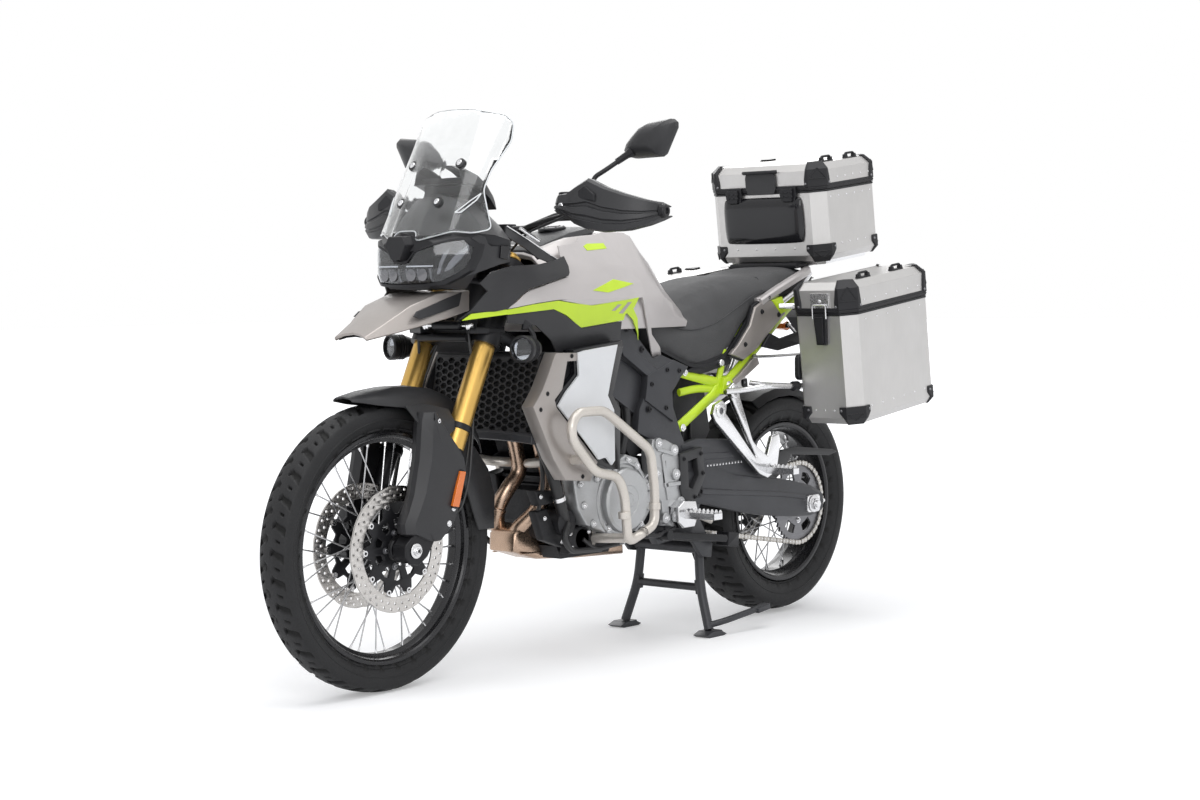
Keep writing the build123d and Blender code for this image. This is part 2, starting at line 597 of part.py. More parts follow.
# rows of (x, [(y, z)]) of the nose
nose = shell_x([
    (470, [(-112, 990), (-120, 1110), (-60, 1180), (60, 1180), (120, 1110), (112, 990)]),
    (580, [(-112, 975), (-156, 1090), (-70, 1228), (70, 1228), (156, 1090), (112, 975)]),
    (620, [(-100, 972), (-146, 1086), (-60, 1170), (60, 1170), (146, 1086), (100, 972)]),
    (665, [(-70, 975), (-90, 1070), (-40, 1110), (40, 1110), (90, 1070), (70, 975)]),
])
FORK_SWEEP = 150.0  # radius that the fork tubes need when the bars turn
fork_room = rod((steer_x(850), 0, 850), (steer_x(1100), 0, 1100), FORK_SWEEP)
save_all("nose_fairing", [nose], cut=[fork_room, *both(fairing)])
lamp = shell_x([
    (622, [(-148, 1010), (-148, 1082), (-30, 1060), (30, 1060), (148, 1082), (148, 1010)]),
    (690, [(-60, 984), (-70, 1060), (-30, 1056), (30, 1056), (70, 1060), (60, 984)]),
    (745, [(-30, 984), (-36, 1020), (-20, 1040), (20, 1040), (36, 1020), (30, 984)]),
])
save_all("headlamp", [lamp], cut=[nose])
beak = shell_x([
    (560, [(-120, 915), (-125, 958), (-60, 970), (60, 970), (125, 958), (120, 915)]),
    (732, [(-96, 882), (-98, 930), (-40, 962), (40, 962), (98, 930), (96, 882)]),
    (850, [(-76, 858), (-80, 880), (-20, 900), (20, 900), (80, 880), (76, 858)]),
    (900, [(-70, 852), (-72, 862), (-50, 868), (50, 868), (72, 862), (70, 852)]),
])
save_all("beak", [beak], cut=[nose, lamp, fork_room, *both(fairing)])

# windscreen: a bent sheet cut to its outline in Y and Z
SCREEN_R, SCREEN_T, SCREEN_FOOT_X, SCREEN_FOOT_Z, SCREEN_LEAN = 245.0, 4.0, 678.0, 1112.0, 28.8
SCREEN = [(0, 1092), (39, 1080), (120, 1104), (187, 1108), (172, 1150), (150, 1209), (150, 1254),
          (168, 1330), (150, 1392), (60, 1410), (0, 1410)]
lean = Plane(origin=(SCREEN_FOOT_X, 0, SCREEN_FOOT_Z), x_dir=(0, 1, 0),
             z_dir=(-sin(radians(SCREEN_LEAN)), 0, cos(radians(SCREEN_LEAN))))
with BuildPart() as screen:
    with BuildSketch(lean.offset(-60)):
        with Locations((0, SCREEN_R)):
            Circle(SCREEN_R)
            Circle(SCREEN_R - SCREEN_T, mode=Mode.SUBTRACT)
        with Locations((0, 1.45 * SCREEN_R)):
            Rectangle(4 * SCREEN_R, 2 * SCREEN_R, mode=Mode.SUBTRACT)
    extrude(amount=460)
    with BuildSketch(Plane.YZ.offset(300)):
        with BuildLine():
            Polyline(*SCREEN, *[(-y, z) for y, z in reversed(SCREEN[1:-1])], close=True)
        make_face()
    extrude(amount=500, mode=Mode.INTERSECT)
save_all("windscreen", [screen.part], cut=[nose])
COCKPIT = [(470, 1188), (540, 1240), (570, 1262), (556, 1272), (500, 1250), (455, 1200)]
save_all("cockpit", [plate(COCKPIT, -92, 92)], cut=[nose])
FOG = (Vector(452, 210, 818), Vector(521, 228, 819))  # middle of a fog lamp's back and of its front
FOG_FORM = ((0.0, 20), (0.45, 30), (0.8, 30), (1.0, 33))  # (share of the length, radius)
FOG_LENS_R = 25.0
fog_run = FOG[1] - FOG[0]
with BuildPart() as fog:
    for share, radius in FOG_FORM:
        with BuildSketch(Plane(origin=FOG[0] + fog_run * share, z_dir=fog_run)):
            Circle(radius)
    loft(ruled=True)
    add(rod(FOG[0] + fog_run * 0.88, FOG[1] + fog_run * 0.1, FOG_LENS_R), mode=Mode.SUBTRACT)
    add(rod((450, 176, 884), FOG[0] + fog_run * 0.2, 7))
save_all("fog_lamps", [], [fog.part], [lower_panels])

# ---------------------------------------------------------------- seat and tail
# rows of (x, half width at the top, at the bottom, z of the bottom, z of the top)
SEAT = (
    (-150, 66, 112, 800, 935), (-250, 88, 134, 752, 944), (-330, 104, 140, 750, 954),
    (-430, 116, 140, 784, 984), (-510, 118, 140, 862, 992), (-636, 118, 138, 905, 990),
    (-700, 124, 136, 925, 1012), (-802, 116, 124, 958, 1015), (-930, 84, 92, 968, 994),
)
SEAT_EDGE = 0.55  # height of the widest edge as a share of the seat's height


def seat_outline(half_top, half_low, z_low, z_top):
    z_edge = z_low + SEAT_EDGE * (z_top - z_low)
    half = [(half_low, z_low), (half_low, z_edge), (half_top, z_top)]
    return half + [(-y, z) for y, z in reversed(half)]


seat = shell_x([(x, seat_outline(*row)) for x, *row in SEAT])
save_all("seat", [seat], cut=[rear_subframe, main_frame, tank])
TAIL = [(-450, 806), (-470, 770), (-560, 800), (-700, 885), (-900, 930), (-930, 962), (-800, 952),
        (-640, 898)]
tail = plate(TAIL, 142, 160)
save_all("tail_panels", [], [tail])
hanger = plate([(-860, 915), (-1000, 900), (-1100, 760), (-REACH, 640), (-REACH, 560), (-REACH + 8, 560),
                (-REACH + 10, 636), (-1092, 748), (-990, 880), (-860, 893)], -88, 88)
PLATE_HOLE_R, PLATE_HOLE_Y, PLATE_HOLE_Z = 3.0, 60.0, 600.0
hole_ends = [(x, PLATE_HOLE_Y, PLATE_HOLE_Z) for x in (-REACH - 5, -REACH + 40)]
plate_hole = rod(*hole_ends, PLATE_HOLE_R)
save_all("rear_mudguard", [hanger], cut=both(plate_hole))
TAIL_LAMP = [(-1002, 902), (-1040, 902), (-1040, 866), (-1026, 866)]
save_all("tail_lamp", [plate(TAIL_LAMP, -60, 60)], cut=[hanger])

# ---------------------------------------------------------------- swingarm and drive
ARM_Y = (130, 160)
ARM = [(-222, 450), (-300, 462), (-640, 400), (-840, 372), (-850, 285), (-600, 302), (-240, 372)]
arm = plate(ARM, *ARM_Y)
brace = plate([(-230, 440), (-300, 452), (-430, 428), (-430, 392), (-240, 380)], -ARM_Y[0], ARM_Y[0])
rear_axle = rod((-AXLE_X, -ARM_Y[1] - 12, REAR_Z), (-AXLE_X, ARM_Y[1] + 12, REAR_Z), AXLE_R)
chain_guard = plate([(-560, 470), (-960, 462), (-980, 452), (-560, 458)], 92, 150)
guard_post = plate([(-600, 465), (-640, 465), (-640, 395), (-600, 395)], 136, 144)
save_all("swingarm", [brace, rear_axle, chain_guard, guard_post], [arm], [main_frame])


def chain_belt(out, y_low, y_high):
    """The solid that the chain's inner side goes round, made larger by a distance."""
    rear_r = SPROCKET_R + CHAIN_SEAT + out
    return belt(FRONT_SPROCKET, FRONT_SPROCKET_R + out, REAR_AXLE, rear_r, y_low, y_high)


with BuildPart() as chain:
    add(chain_belt(LINK, CHAIN_Y - CHAIN_HALF, CHAIN_Y + CHAIN_HALF))
    add(chain_belt(0, CHAIN_Y - CHAIN_HALF, CHAIN_Y + CHAIN_HALF), mode=Mode.SUBTRACT)
# link plates stand proud of both faces of the loop: how many, length, height, width over both faces
LINKS, LINK_L, LINK_H, LINK_W = 54, 19.0, 10.0, 22.0
loop = chain_belt(LINK / 2, 0, 1).faces().sort_by(Axis.Y)[0].outer_wire()
links = []
for n in range(LINKS):
    at, heading = loop.position_at(n / LINKS), loop.tangent_at(n / LINKS)
    with BuildPart() as link:
        with Locations(Location((at.X, CHAIN_Y, at.Z), (0, -degrees(atan2(heading.Z, heading.X)), 0))):
            Box(LINK_L, LINK_W, LINK_H)
    links.append(link.part)
save_all("chain", [chain.part, *links], cut=[brace, pivot_plate, crankcase])
save_all("rear_shock", [rod((-330, 0, 470), (-290, 0, 740), 34)])
rear_caliper = plate([(-690, 440), (-640, 400), (-600, 450), (-650, 490)], -126, -80)
save_all("rear_caliper", [rear_caliper], cut=[brake_disc(REAR_DISC_R, REAR_AXLE, REAR_DISC_Y, room=PAD_GAP)])

# ---------------------------------------------------------------- pegs
peg = rod((-150, 165, 352), (-158, 290, 352), 14)
peg_plate = plate([(-110, 330), (-170, 320), (-200, 350), (-170, 392), (-110, 400)], 162, 176)
leg_a = plate([(-415, 672), (-385, 676), (-540, 440), (-585, 440)], 162, 178)
leg_b = plate([(-345, 640), (-318, 630), (-520, 430), (-560, 436)], 162, 178)
pillion_peg = rod((-567, 170, 442), (-567, 270, 442), 13)
footpegs = save_all("footpegs", [], [peg, peg_plate, leg_a, leg_b, pillion_peg], [engine_covers])

# ---------------------------------------------------------------- stands
FOOT_X = STAND_PIVOT_X + STAND_LEAN
legs = tube([(STAND_PIVOT_X, 102, STAND_PIVOT_Z), (STAND_PIVOT_X + 6, 112, 130),
             (FOOT_X, 150, STAND_TUBE_R + 4)], STAND_TUBE_R, 40)
# a foot's outline: (distance ahead of its middle, z)
FOOT = [(-42, 4), (-30, 0), (30, 0), (42, 6), (20, 14), (-20, 14)]
pads = plate([(FOOT_X + ahead, z) for ahead, z in FOOT], 128, 178)
barrel = rod((STAND_PIVOT_X, -116, STAND_PIVOT_Z), (STAND_PIVOT_X, 116, STAND_PIVOT_Z), 16)
tie = rod((STAND_PIVOT_X + 6, -112, 130), (STAND_PIVOT_X + 6, 112, 130), 11)
tang = tube([(FOOT_X, 150, 30), (FOOT_X - 40, 178, 40), (FOOT_X - 190, 196, 62)], 9, 20)
save_all("centre_stand", [barrel, tie, tang], [legs, pads])
px, py, pz = SIDE_STAND_PIVOT
side_leg = tube([(px, py, pz), (px - 120, py + 4, pz - 18), (px - SIDE_STAND_L, py + 4, pz - 34)], 12, 60)
# its foot's outline: (distance ahead of the leg's end, distance below the pivot)
SIDE_FOOT = [(-14, 58), (30, 50), (26, 16), (-18, 22)]
side_foot = plate([(px - SIDE_STAND_L + ahead, pz - drop) for ahead, drop in SIDE_FOOT], py - 16, py + 28)
boss = rod(pivot - pivot_axis * BOSS_HALF, pivot + pivot_axis * BOSS_HALF, BOSS_R)
pin_room = rod(pivot - pivot_axis * 2 * BOSS_HALF, pivot + pivot_axis * 2 * BOSS_HALF, PIN_R + PIN_GAP)
save_all("side_stand", [side_leg, side_foot, boss], cut=[pin_room])

# ---------------------------------------------------------------- cases
def case_outline(length, width, bevel, inset=0.0):
    """(x, y) of a case in plan with bevelled corners on its outer long side, front end at x 0."""
    return [
        (-inset, inset), (-inset, width - bevel), (-bevel, width - inset), (bevel - length, width - inset),
        (inset - length, width - bevel), (inset - length, inset),
    ]


def slab(plane, outline, low, high):
    """A plate with an outline on a plane, between two distances from it."""
    with BuildPart() as made:
        with BuildSketch(plane.offset(low)):
            with BuildLine():
                Polyline(*outline, close=True)
            make_face()
        extrude(amount=high - low)
    return made.part


def case_part(plane, outline, inner, low, high, floor_low, floor_high):
    """A tray or lid: the outline from low to high, hollow where inner runs from floor_low to floor_high."""
    with BuildPart() as made:
        add(slab(plane, outline, low, high))
        add(slab(plane, inner, floor_low, floor_high), mode=Mode.SUBTRACT)
    return made.part


def lid(plane, outline_at, low, high):
    """A hollow lid with a chamfer round its top; outline_at(inset) gives its outline in plan."""
    shoulder = high - LID_CHAMFER
    with BuildPart() as made:
        add(slab(plane, outline_at(0), low, shoulder))
        for height, inset in ((shoulder, 0), (high, LID_CHAMFER)):
            with BuildSketch(plane.offset(height)):
                with BuildLine():
                    Polyline(*outline_at(inset), close=True)
                make_face()
        loft(ruled=True)
        add(slab(plane, outline_at(CASE_WALL), low - 2, shoulder - CASE_WALL), mode=Mode.SUBTRACT)
        add(slab(plane, outline_at(LID_CHAMFER + CASE_WALL), low, high - CASE_WALL), mode=Mode.SUBTRACT)
    return made.part


def knuckles(plane, length, height, middle, spans):
    """Hinge barrels at a case's rear edge, each with a leaf below the seam or above it."""
    pieces = []
    for start, end, is_lid in spans:
        barrel_x, barrel_z = -length - HINGE_OUT, height + SEAM / 2
        ends = [plane.from_local_coords((barrel_x, middle + y, barrel_z)) for y in (start, end)]
        leaf_low = height + SEAM + 1 if is_lid else height - LEAF_H
        leaf_out, leaf_in = -length - LEAF_T, -length + 1
        leaf = [(leaf_out, middle + start), (leaf_in, middle + start), (leaf_in, middle + end),
                (leaf_out, middle + end)]
        pieces.append(rod(*ends, HINGE_R))
        pieces.append(slab(plane, leaf, leaf_low, leaf_low + LEAF_H - 1))
    return pieces


def hinge_pieces(plane, length, height, middle, span):
    """The pieces of a hinge for the body and for the lid: the lid's barrel is the middle third."""
    third = span / 3
    of_body = ((-span, -third - KNUCKLE_GAP, False), (third + KNUCKLE_GAP, span, False))
    of_lid = ((-third, third, True),)
    return [knuckles(plane, length, height, middle, spans) for spans in (of_body, of_lid)]


def case_plane(x, y, z):
    """The floor of a case: tilted, its front edge at x and z, its inner edge at y."""
    tilt = radians(CASE_TILT)
    return Plane(origin=(x, y, z), x_dir=(cos(tilt), 0, -sin(tilt)), z_dir=(sin(tilt), 0, cos(tilt)))


side_plane = case_plane(SIDE_CASE_X, SIDE_CASE_IN, SIDE_CASE_Z)
side_depth = SIDE_CASE_OUT - SIDE_CASE_IN
side_outline = case_outline(SIDE_CASE_L, side_depth, CASE_BEVEL)
side_inner = case_outline(SIDE_CASE_L, side_depth, CASE_BEVEL, CASE_WALL)
side_body = case_part(side_plane, side_outline, side_inner, 0, SIDE_CASE_H, CASE_WALL, SIDE_CASE_H + 1)


def side_outline_at(inset):
    return case_outline(SIDE_CASE_L, side_depth, CASE_BEVEL, inset)


side_lid = lid(side_plane, side_outline_at, SIDE_CASE_H + SEAM, SIDE_CASE_H + SIDE_LID_H)
side_hinge, side_lid_hinge = hinge_pieces(side_plane, SIDE_CASE_L, SIDE_CASE_H, side_depth / 2,
                                          SIDE_HINGE_SPAN)
for name, pieces in (("case", [side_body, *side_hinge]), ("case_lid", [side_lid, *side_lid_hinge])):
    save_all(f"left_{name}", pieces)
    save_all(f"right_{name}", [piece.mirror(Plane.XZ) for piece in pieces])

top_plane = case_plane(TOP_CASE_X, 0, TOP_CASE_Z)


def top_outline(inset=0.0):
    half = TOP_CASE_W / 2
    near = [
        (-inset, half - CASE_BEVEL), (-CASE_BEVEL, half - inset), (CASE_BEVEL - TOP_CASE_L, half - inset),
        (inset - TOP_CASE_L, half - CASE_BEVEL),
    ]
    return near + [(x, -y) for x, y in reversed(near)]


top_body = case_part(top_plane, top_outline(), top_outline(CASE_WALL), 0, TOP_CASE_H, CASE_WALL,
                     TOP_CASE_H + 1)
top_lid = lid(top_plane, top_outline, TOP_CASE_H + SEAM, TOP_CASE_H + TOP_LID_H)
top_hinge, top_lid_hinge = hinge_pieces(top_plane, TOP_CASE_L, TOP_CASE_H, 0, TOP_HINGE_SPAN)
save_all("top_case", [top_body, *top_hinge])
save_all("top_case_lid", [top_lid, *top_lid_hinge])
# padded board on the front of the top case: width, height, height of its middle, thickness, corner
PAD_W, PAD_H, PAD_UP, PAD_T, PAD_CORNER = 286.0, 136.0, 124.0, 16.0, 18.0
case_front = Plane(origin=top_plane.origin, x_dir=(0, 1, 0), z_dir=top_plane.x_dir)
with BuildPart() as backrest:
    with BuildSketch(case_front):
        with Locations((0, PAD_UP)):
            RectangleRounded(PAD_W, PAD_H, PAD_CORNER)
    extrude(amount=PAD_T)
save_all("backrest", [backrest.part])

# the plate under the top case, and the window in it: (distance ahead of the case's front, y)
RACK = [(20, 110), (-250, 110), (-250, -110), (20, -110)]
RACK_WINDOW = [(-40, 40), (-180, 40), (-180, -40), (-40, -40)]
rack_plate = case_part(top_plane, RACK, RACK_WINDOW, -16, 0, -17, 1)
rack_stay = tube([(-640, 150, 905), (-760, 148, 960), (-860, 110, 1000)], 10, 60)
RACK_Y = SIDE_CASE_IN - 10
rack_loop = tube([(-400, 186, 664), (-500, 200, 672), (-640, RACK_Y, 672), (-940, RACK_Y, 700),
                  (-975, RACK_Y, 760), (-950, RACK_Y, 900), (-900, RACK_Y, 935), (-700, RACK_Y, 905),
                  (-640, 170, 905)], 8, 24)
save_all("luggage_racks", [rack_plate], [rack_stay, rack_loop],
         [top_body, seat, tail, tail.mirror(Plane.XZ), footpegs, rear_subframe])
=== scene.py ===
"""The looks of an adventure motorcycle with three aluminium cases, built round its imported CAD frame.

Metres. +X points forwards, +Y to the rider's left, +Z up, the floor is z 0.
"""
import math
from math import atan2, cos, exp, pi, radians, sin, sqrt

import bmesh
import bpy
import numpy as np
from mathutils import Matrix, Vector


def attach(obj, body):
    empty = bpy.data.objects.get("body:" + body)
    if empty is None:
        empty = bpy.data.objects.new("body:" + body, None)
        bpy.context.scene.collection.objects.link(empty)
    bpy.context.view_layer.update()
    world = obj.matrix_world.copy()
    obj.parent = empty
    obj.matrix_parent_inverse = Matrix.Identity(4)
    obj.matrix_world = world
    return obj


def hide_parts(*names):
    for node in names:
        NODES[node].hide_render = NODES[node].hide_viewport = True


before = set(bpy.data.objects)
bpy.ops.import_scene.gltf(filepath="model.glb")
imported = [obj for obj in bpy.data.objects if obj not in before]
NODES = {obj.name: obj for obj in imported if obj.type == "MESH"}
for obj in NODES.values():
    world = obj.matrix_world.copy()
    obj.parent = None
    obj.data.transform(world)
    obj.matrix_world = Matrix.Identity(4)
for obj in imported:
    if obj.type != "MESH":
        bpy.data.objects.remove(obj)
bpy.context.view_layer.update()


# ---------------------------------------------------------------- camera
CAM_AZIMUTH, CAM_ELEVATION, CAM_ROLL = 130.413, 3.1275, -0.6755  # degrees
CAM_DISTANCE = 5.7976
CAM_TARGET = Vector((-0.0356, 0.0, 0.6619))
CAM_LENS = 64.606  # mm on a 36 mm wide sensor


def add_camera():
    """The camera that was fitted to the photograph."""
    a, e, r = radians(CAM_AZIMUTH), radians(CAM_ELEVATION), radians(CAM_ROLL)
    back = Vector((sin(a) * cos(e), -cos(a) * cos(e), sin(e)))
    level = Vector((0, 0, 1)).cross(back).normalized()
    rise = back.cross(level)
    right = cos(r) * level + sin(r) * rise
    up = cos(r) * rise - sin(r) * level
    data = bpy.data.cameras.new("camera")
    data.sensor_fit, data.sensor_width, data.lens = "HORIZONTAL", 36, CAM_LENS
    data.clip_end = 100
    cam = bpy.data.objects.new("camera", data)
    bpy.context.collection.objects.link(cam)
    turn = Matrix((right, up, back)).transposed().to_4x4()
    cam.matrix_world = Matrix.Translation(CAM_TARGET + CAM_DISTANCE * back) @ turn
    bpy.context.scene.camera = cam


add_camera()


# ---------------------------------------------------------------- materials
MATERIALS = {}
COAT_ROUGH = 0.08
PLASTIC_IOR = 1.49
NOISE_RANGE = (0.3, 0.7)  # where nearly all values of a noise texture lie


def node_of(tree, kind, **inputs):
    """One shader node, its inputs given by socket name with _ for a space: a value, or a socket to link."""
    node = tree.nodes.new(kind)
    for key, value in inputs.items():
        socket = node.inputs[key.replace("_", " ")] if not key.startswith("in") else node.inputs[int(key[2:])]
        if isinstance(value, bpy.types.NodeSocket):
            tree.links.new(value, socket)
        else:
            socket.default_value = value
    return node


def noise(tree, scale, stretch=(1, 1, 1), detail=3.0):
    """Noise fixed to the piece, stretched along the axes."""
    place = tree.nodes.new("ShaderNodeTexCoord")
    mapping = node_of(tree, "ShaderNodeMapping", Vector=place.outputs["Object"], Scale=stretch)
    texture = node_of(tree, "ShaderNodeTexNoise", Vector=mapping.outputs[0], Scale=scale, Detail=detail)
    return texture.outputs["Fac"]


def spread(tree, value, low, high):
    """A noise value carried from its usual range to another."""
    usual_low, usual_high = NOISE_RANGE
    return node_of(tree, "ShaderNodeMapRange", Value=value, From_Min=usual_low, From_Max=usual_high,
                   To_Min=low, To_Max=high).outputs[0]


def mixed(tree, factor, first, second):
    """Two colours mixed by a factor."""
    node = tree.nodes.new("ShaderNodeMix")
    node.data_type = "RGBA"
    for socket, value in ((node.inputs[0], factor), (node.inputs[6], first), (node.inputs[7], second)):
        if isinstance(value, bpy.types.NodeSocket):
            tree.links.new(value, socket)
        else:
            socket.default_value = value
    return node.outputs[2]


def rgba(colour, gain=1.0):
    """A colour made brighter or darker, with its alpha."""
    return (*[min(1.0, c * gain) for c in colour[:3]], 1.0)


def new_material(name):
    """A material, its node tree and its main shader."""
    made = bpy.data.materials.new(name)
    made.use_nodes = True
    return made, made.node_tree, made.node_tree.nodes["Principled BSDF"]


def surface(name, colour, rough, metal, tint=0.1, tint_scale=14, grain=0.12, grain_scale=420,
            stretch=(1, 1, 1), coat=0.0, rough_vary=0.08, specular=0.5, depth=0.0006):
    """A finish with tone that varies and a fine grain in its bump and roughness."""
    made, tree, shader = new_material(name)
    clouds = noise(tree, tint_scale, detail=5)
    fine = noise(tree, grain_scale, stretch, 2)
    tone = mixed(tree, spread(tree, clouds, 0, 1), rgba(colour, 1 - tint), rgba(colour, 1 + tint))
    tone = mixed(tree, spread(tree, fine, 0, 0.35), tone, rgba(colour, 1 - 1.5 * tint))
    tree.links.new(tone, shader.inputs["Base Color"])
    tree.links.new(spread(tree, fine, rough - rough_vary, rough + rough_vary), shader.inputs["Roughness"])
    bump = node_of(tree, "ShaderNodeBump", Strength=grain, Distance=depth, Height=fine)
    tree.links.new(bump.outputs[0], shader.inputs["Normal"])
    for socket, value in (("Metallic", metal), ("Coat Weight", coat), ("Coat Roughness", COAT_ROUGH),
                          ("Specular IOR Level", specular)):
        shader.inputs[socket].default_value = value
    MATERIALS[name] = made


def clear(name, colour, rough):
    """A clear plastic, with a roughness that varies a little."""
    made, tree, shader = new_material(name)
    smear = noise(tree, 30, detail=4)
    tree.links.new(spread(tree, smear, rough, rough + 0.05), shader.inputs["Roughness"])
    tree.links.new(mixed(tree, spread(tree, smear, 0, 1), rgba(colour), rgba(colour, 0.94)),
                   shader.inputs["Base Color"])
    shader.inputs["IOR"].default_value = PLASTIC_IOR
    shader.inputs["Transmission Weight"].default_value = 1.0
    made.blend_method = "BLEND"
    MATERIALS[name] = made


# one row for each plain finish: name, colour, roughness, metallic, then what differs from the usual
FINISHES = (
    ("silver_paint", (0.53, 0.50, 0.49), 0.38, 0.35, dict(coat=0.25, tint=0.04, grain=0.05, grain_scale=900)),
    ("champagne_paint", (0.36, 0.33, 0.31), 0.36, 0.55,
     dict(coat=0.2, tint=0.05, grain=0.06, grain_scale=900)),
    ("lime_paint", (0.58, 0.80, 0.02), 0.40, 0.0, dict(coat=0.25, tint=0.05, grain=0.05, grain_scale=900)),
    ("white_panel", (0.74, 0.75, 0.76), 0.42, 0.1, dict(tint=0.03, grain=0.05)),
    ("black_plastic", (0.014, 0.014, 0.016), 0.48, 0.0,
     dict(tint=0.12, grain=0.35, grain_scale=700, specular=0.30)),
    ("fine_plastic", (0.028, 0.028, 0.030), 0.44, 0.0,
     dict(tint=0.1, grain=0.2, grain_scale=900, specular=0.38)),
    ("gloss_black", (0.008, 0.008, 0.010), 0.16, 0.0,
     dict(coat=0.15, specular=0.35, tint=0.05, grain=0.02, rough_vary=0.03)),
    ("frame_paint", (0.050, 0.051, 0.056), 0.45, 0.35, dict(tint=0.1, grain=0.2)),
    ("black_metal", (0.014, 0.014, 0.016), 0.40, 0.3, dict(tint=0.12, grain=0.15, specular=0.35)),
    ("engine_black", (0.018, 0.018, 0.020), 0.55, 0.4, dict(tint=0.2, grain=0.4, grain_scale=260)),
    ("cast_aluminium", (0.44, 0.445, 0.45), 0.42, 0.8, dict(tint=0.08, grain=0.35, grain_scale=320)),
    ("polished_aluminium", (0.78, 0.78, 0.79), 0.26, 1.0, dict(tint=0.05, grain=0.12)),
    ("bright_steel", (0.72, 0.72, 0.73), 0.22, 1.0, dict(tint=0.05, grain=0.05)),
    ("dark_steel", (0.20, 0.20, 0.21), 0.38, 0.9, dict(tint=0.1, grain=0.1)),
    ("hot_steel", (0.50, 0.36, 0.27), 0.30, 0.95, dict(tint=0.22, tint_scale=9, grain=0.1)),
    ("silencer_steel", (0.30, 0.29, 0.29), 0.36, 0.9, dict(tint=0.08, grain=0.1, stretch=(0.1, 1, 1))),
    ("radiator_fins", (0.010, 0.010, 0.011), 0.6, 0.2,
     dict(tint=0.1, grain=0.5, stretch=(1, 0.05, 1), grain_scale=600)),
    ("bar_paint", (0.62, 0.58, 0.53), 0.34, 0.5, dict(tint=0.04, grain=0.15, grain_scale=700)),
    ("gold_anodised", (0.66, 0.42, 0.12), 0.36, 0.9, dict(tint=0.03, tint_scale=6, grain=0.0)),
    ("tyre_rubber", (0.020, 0.020, 0.021), 0.60, 0.0,
     dict(tint=0.16, grain=0.3, grain_scale=260, specular=0.28)),
    ("rim_black", (0.018, 0.018, 0.020), 0.26, 0.5, dict(tint=0.08, grain=0.06, coat=0.2)),
    ("spoke_steel", (0.46, 0.46, 0.47), 0.28, 1.0, dict(tint=0.05, grain=0.04)),
    ("disc_steel", (0.56, 0.54, 0.52), 0.30, 1.0, dict(tint=0.08, grain=0.2, grain_scale=160)),
    ("chain_steel", (0.46, 0.44, 0.41), 0.34, 0.95, dict(tint=0.14, grain=0.15)),
    ("seat_cover", (0.066, 0.066, 0.067), 0.74, 0.0,
     dict(tint=0.10, grain=0.9, grain_scale=520, depth=0.0012)),
    ("seat_cover_side", (0.046, 0.046, 0.048), 0.66, 0.0, dict(tint=0.10, grain=0.6, grain_scale=900)),
    ("case_aluminium", (0.55, 0.54, 0.53), 0.36, 0.75,
     dict(tint=0.03, grain=0.12, grain_scale=500, stretch=(1, 1, 0.03))),
    ("amber_lens", (0.75, 0.17, 0.015), 0.20, 0.0, dict(coat=0.5, tint=0.06, grain=0.3, grain_scale=300)),
    ("red_lens", (0.42, 0.01, 0.012), 0.15, 0.0, dict(coat=0.6, tint=0.08, grain=0.2, grain_scale=200)),
    ("lamp_dark", (0.006, 0.006, 0.007), 0.40, 0.0, dict(specular=0.15, tint=0.05, grain=0.02)),
    ("lamp_chrome", (0.80, 0.81, 0.83), 0.12, 1.0, dict(tint=0.05, grain=0.02)),
    ("mirror_glass", (0.82, 0.84, 0.86), 0.03, 1.0, dict(tint=0.02, grain=0.0, rough_vary=0.01)),
    ("hose_rubber", (0.016, 0.016, 0.017), 0.45, 0.0, dict(tint=0.1, grain=0.3, grain_scale=800)),
    # painted highlight: an opaque pale grey for the screen's edge and its slots' rims, standing for the light
    # those clear edges catch
    ("clear_edge", (0.70, 0.72, 0.73), 0.22, 0.0, dict(tint=0.04, grain=0.04, coat=0.5)),
)
for finish, colour, rough, metal, extra in FINISHES:
    surface(finish, colour, rough, metal, **extra)


def darken_grooves():
    """Paints shade into the tread's grooves, marked on the tyre's points, so they come out darker than its
    blocks.
    """
    tree = MATERIALS["tyre_rubber"].node_tree
    colour = tree.nodes["Principled BSDF"].inputs["Base Color"]
    groove = tree.nodes.new("ShaderNodeAttribute")
    groove.attribute_name = "groove"
    # painted shade: the rubber's colour blends to near-black where the groove mark is high
    blend = mixed(tree, groove.outputs["Fac"], colour.links[0].from_socket, rgba((0.002,) * 3))
    tree.links.new(blend, colour)


darken_grooves()
clear("clear_screen", (0.96, 0.975, 0.98), 0.02)
clear("lamp_glass", (0.80, 0.82, 0.85), 0.02)

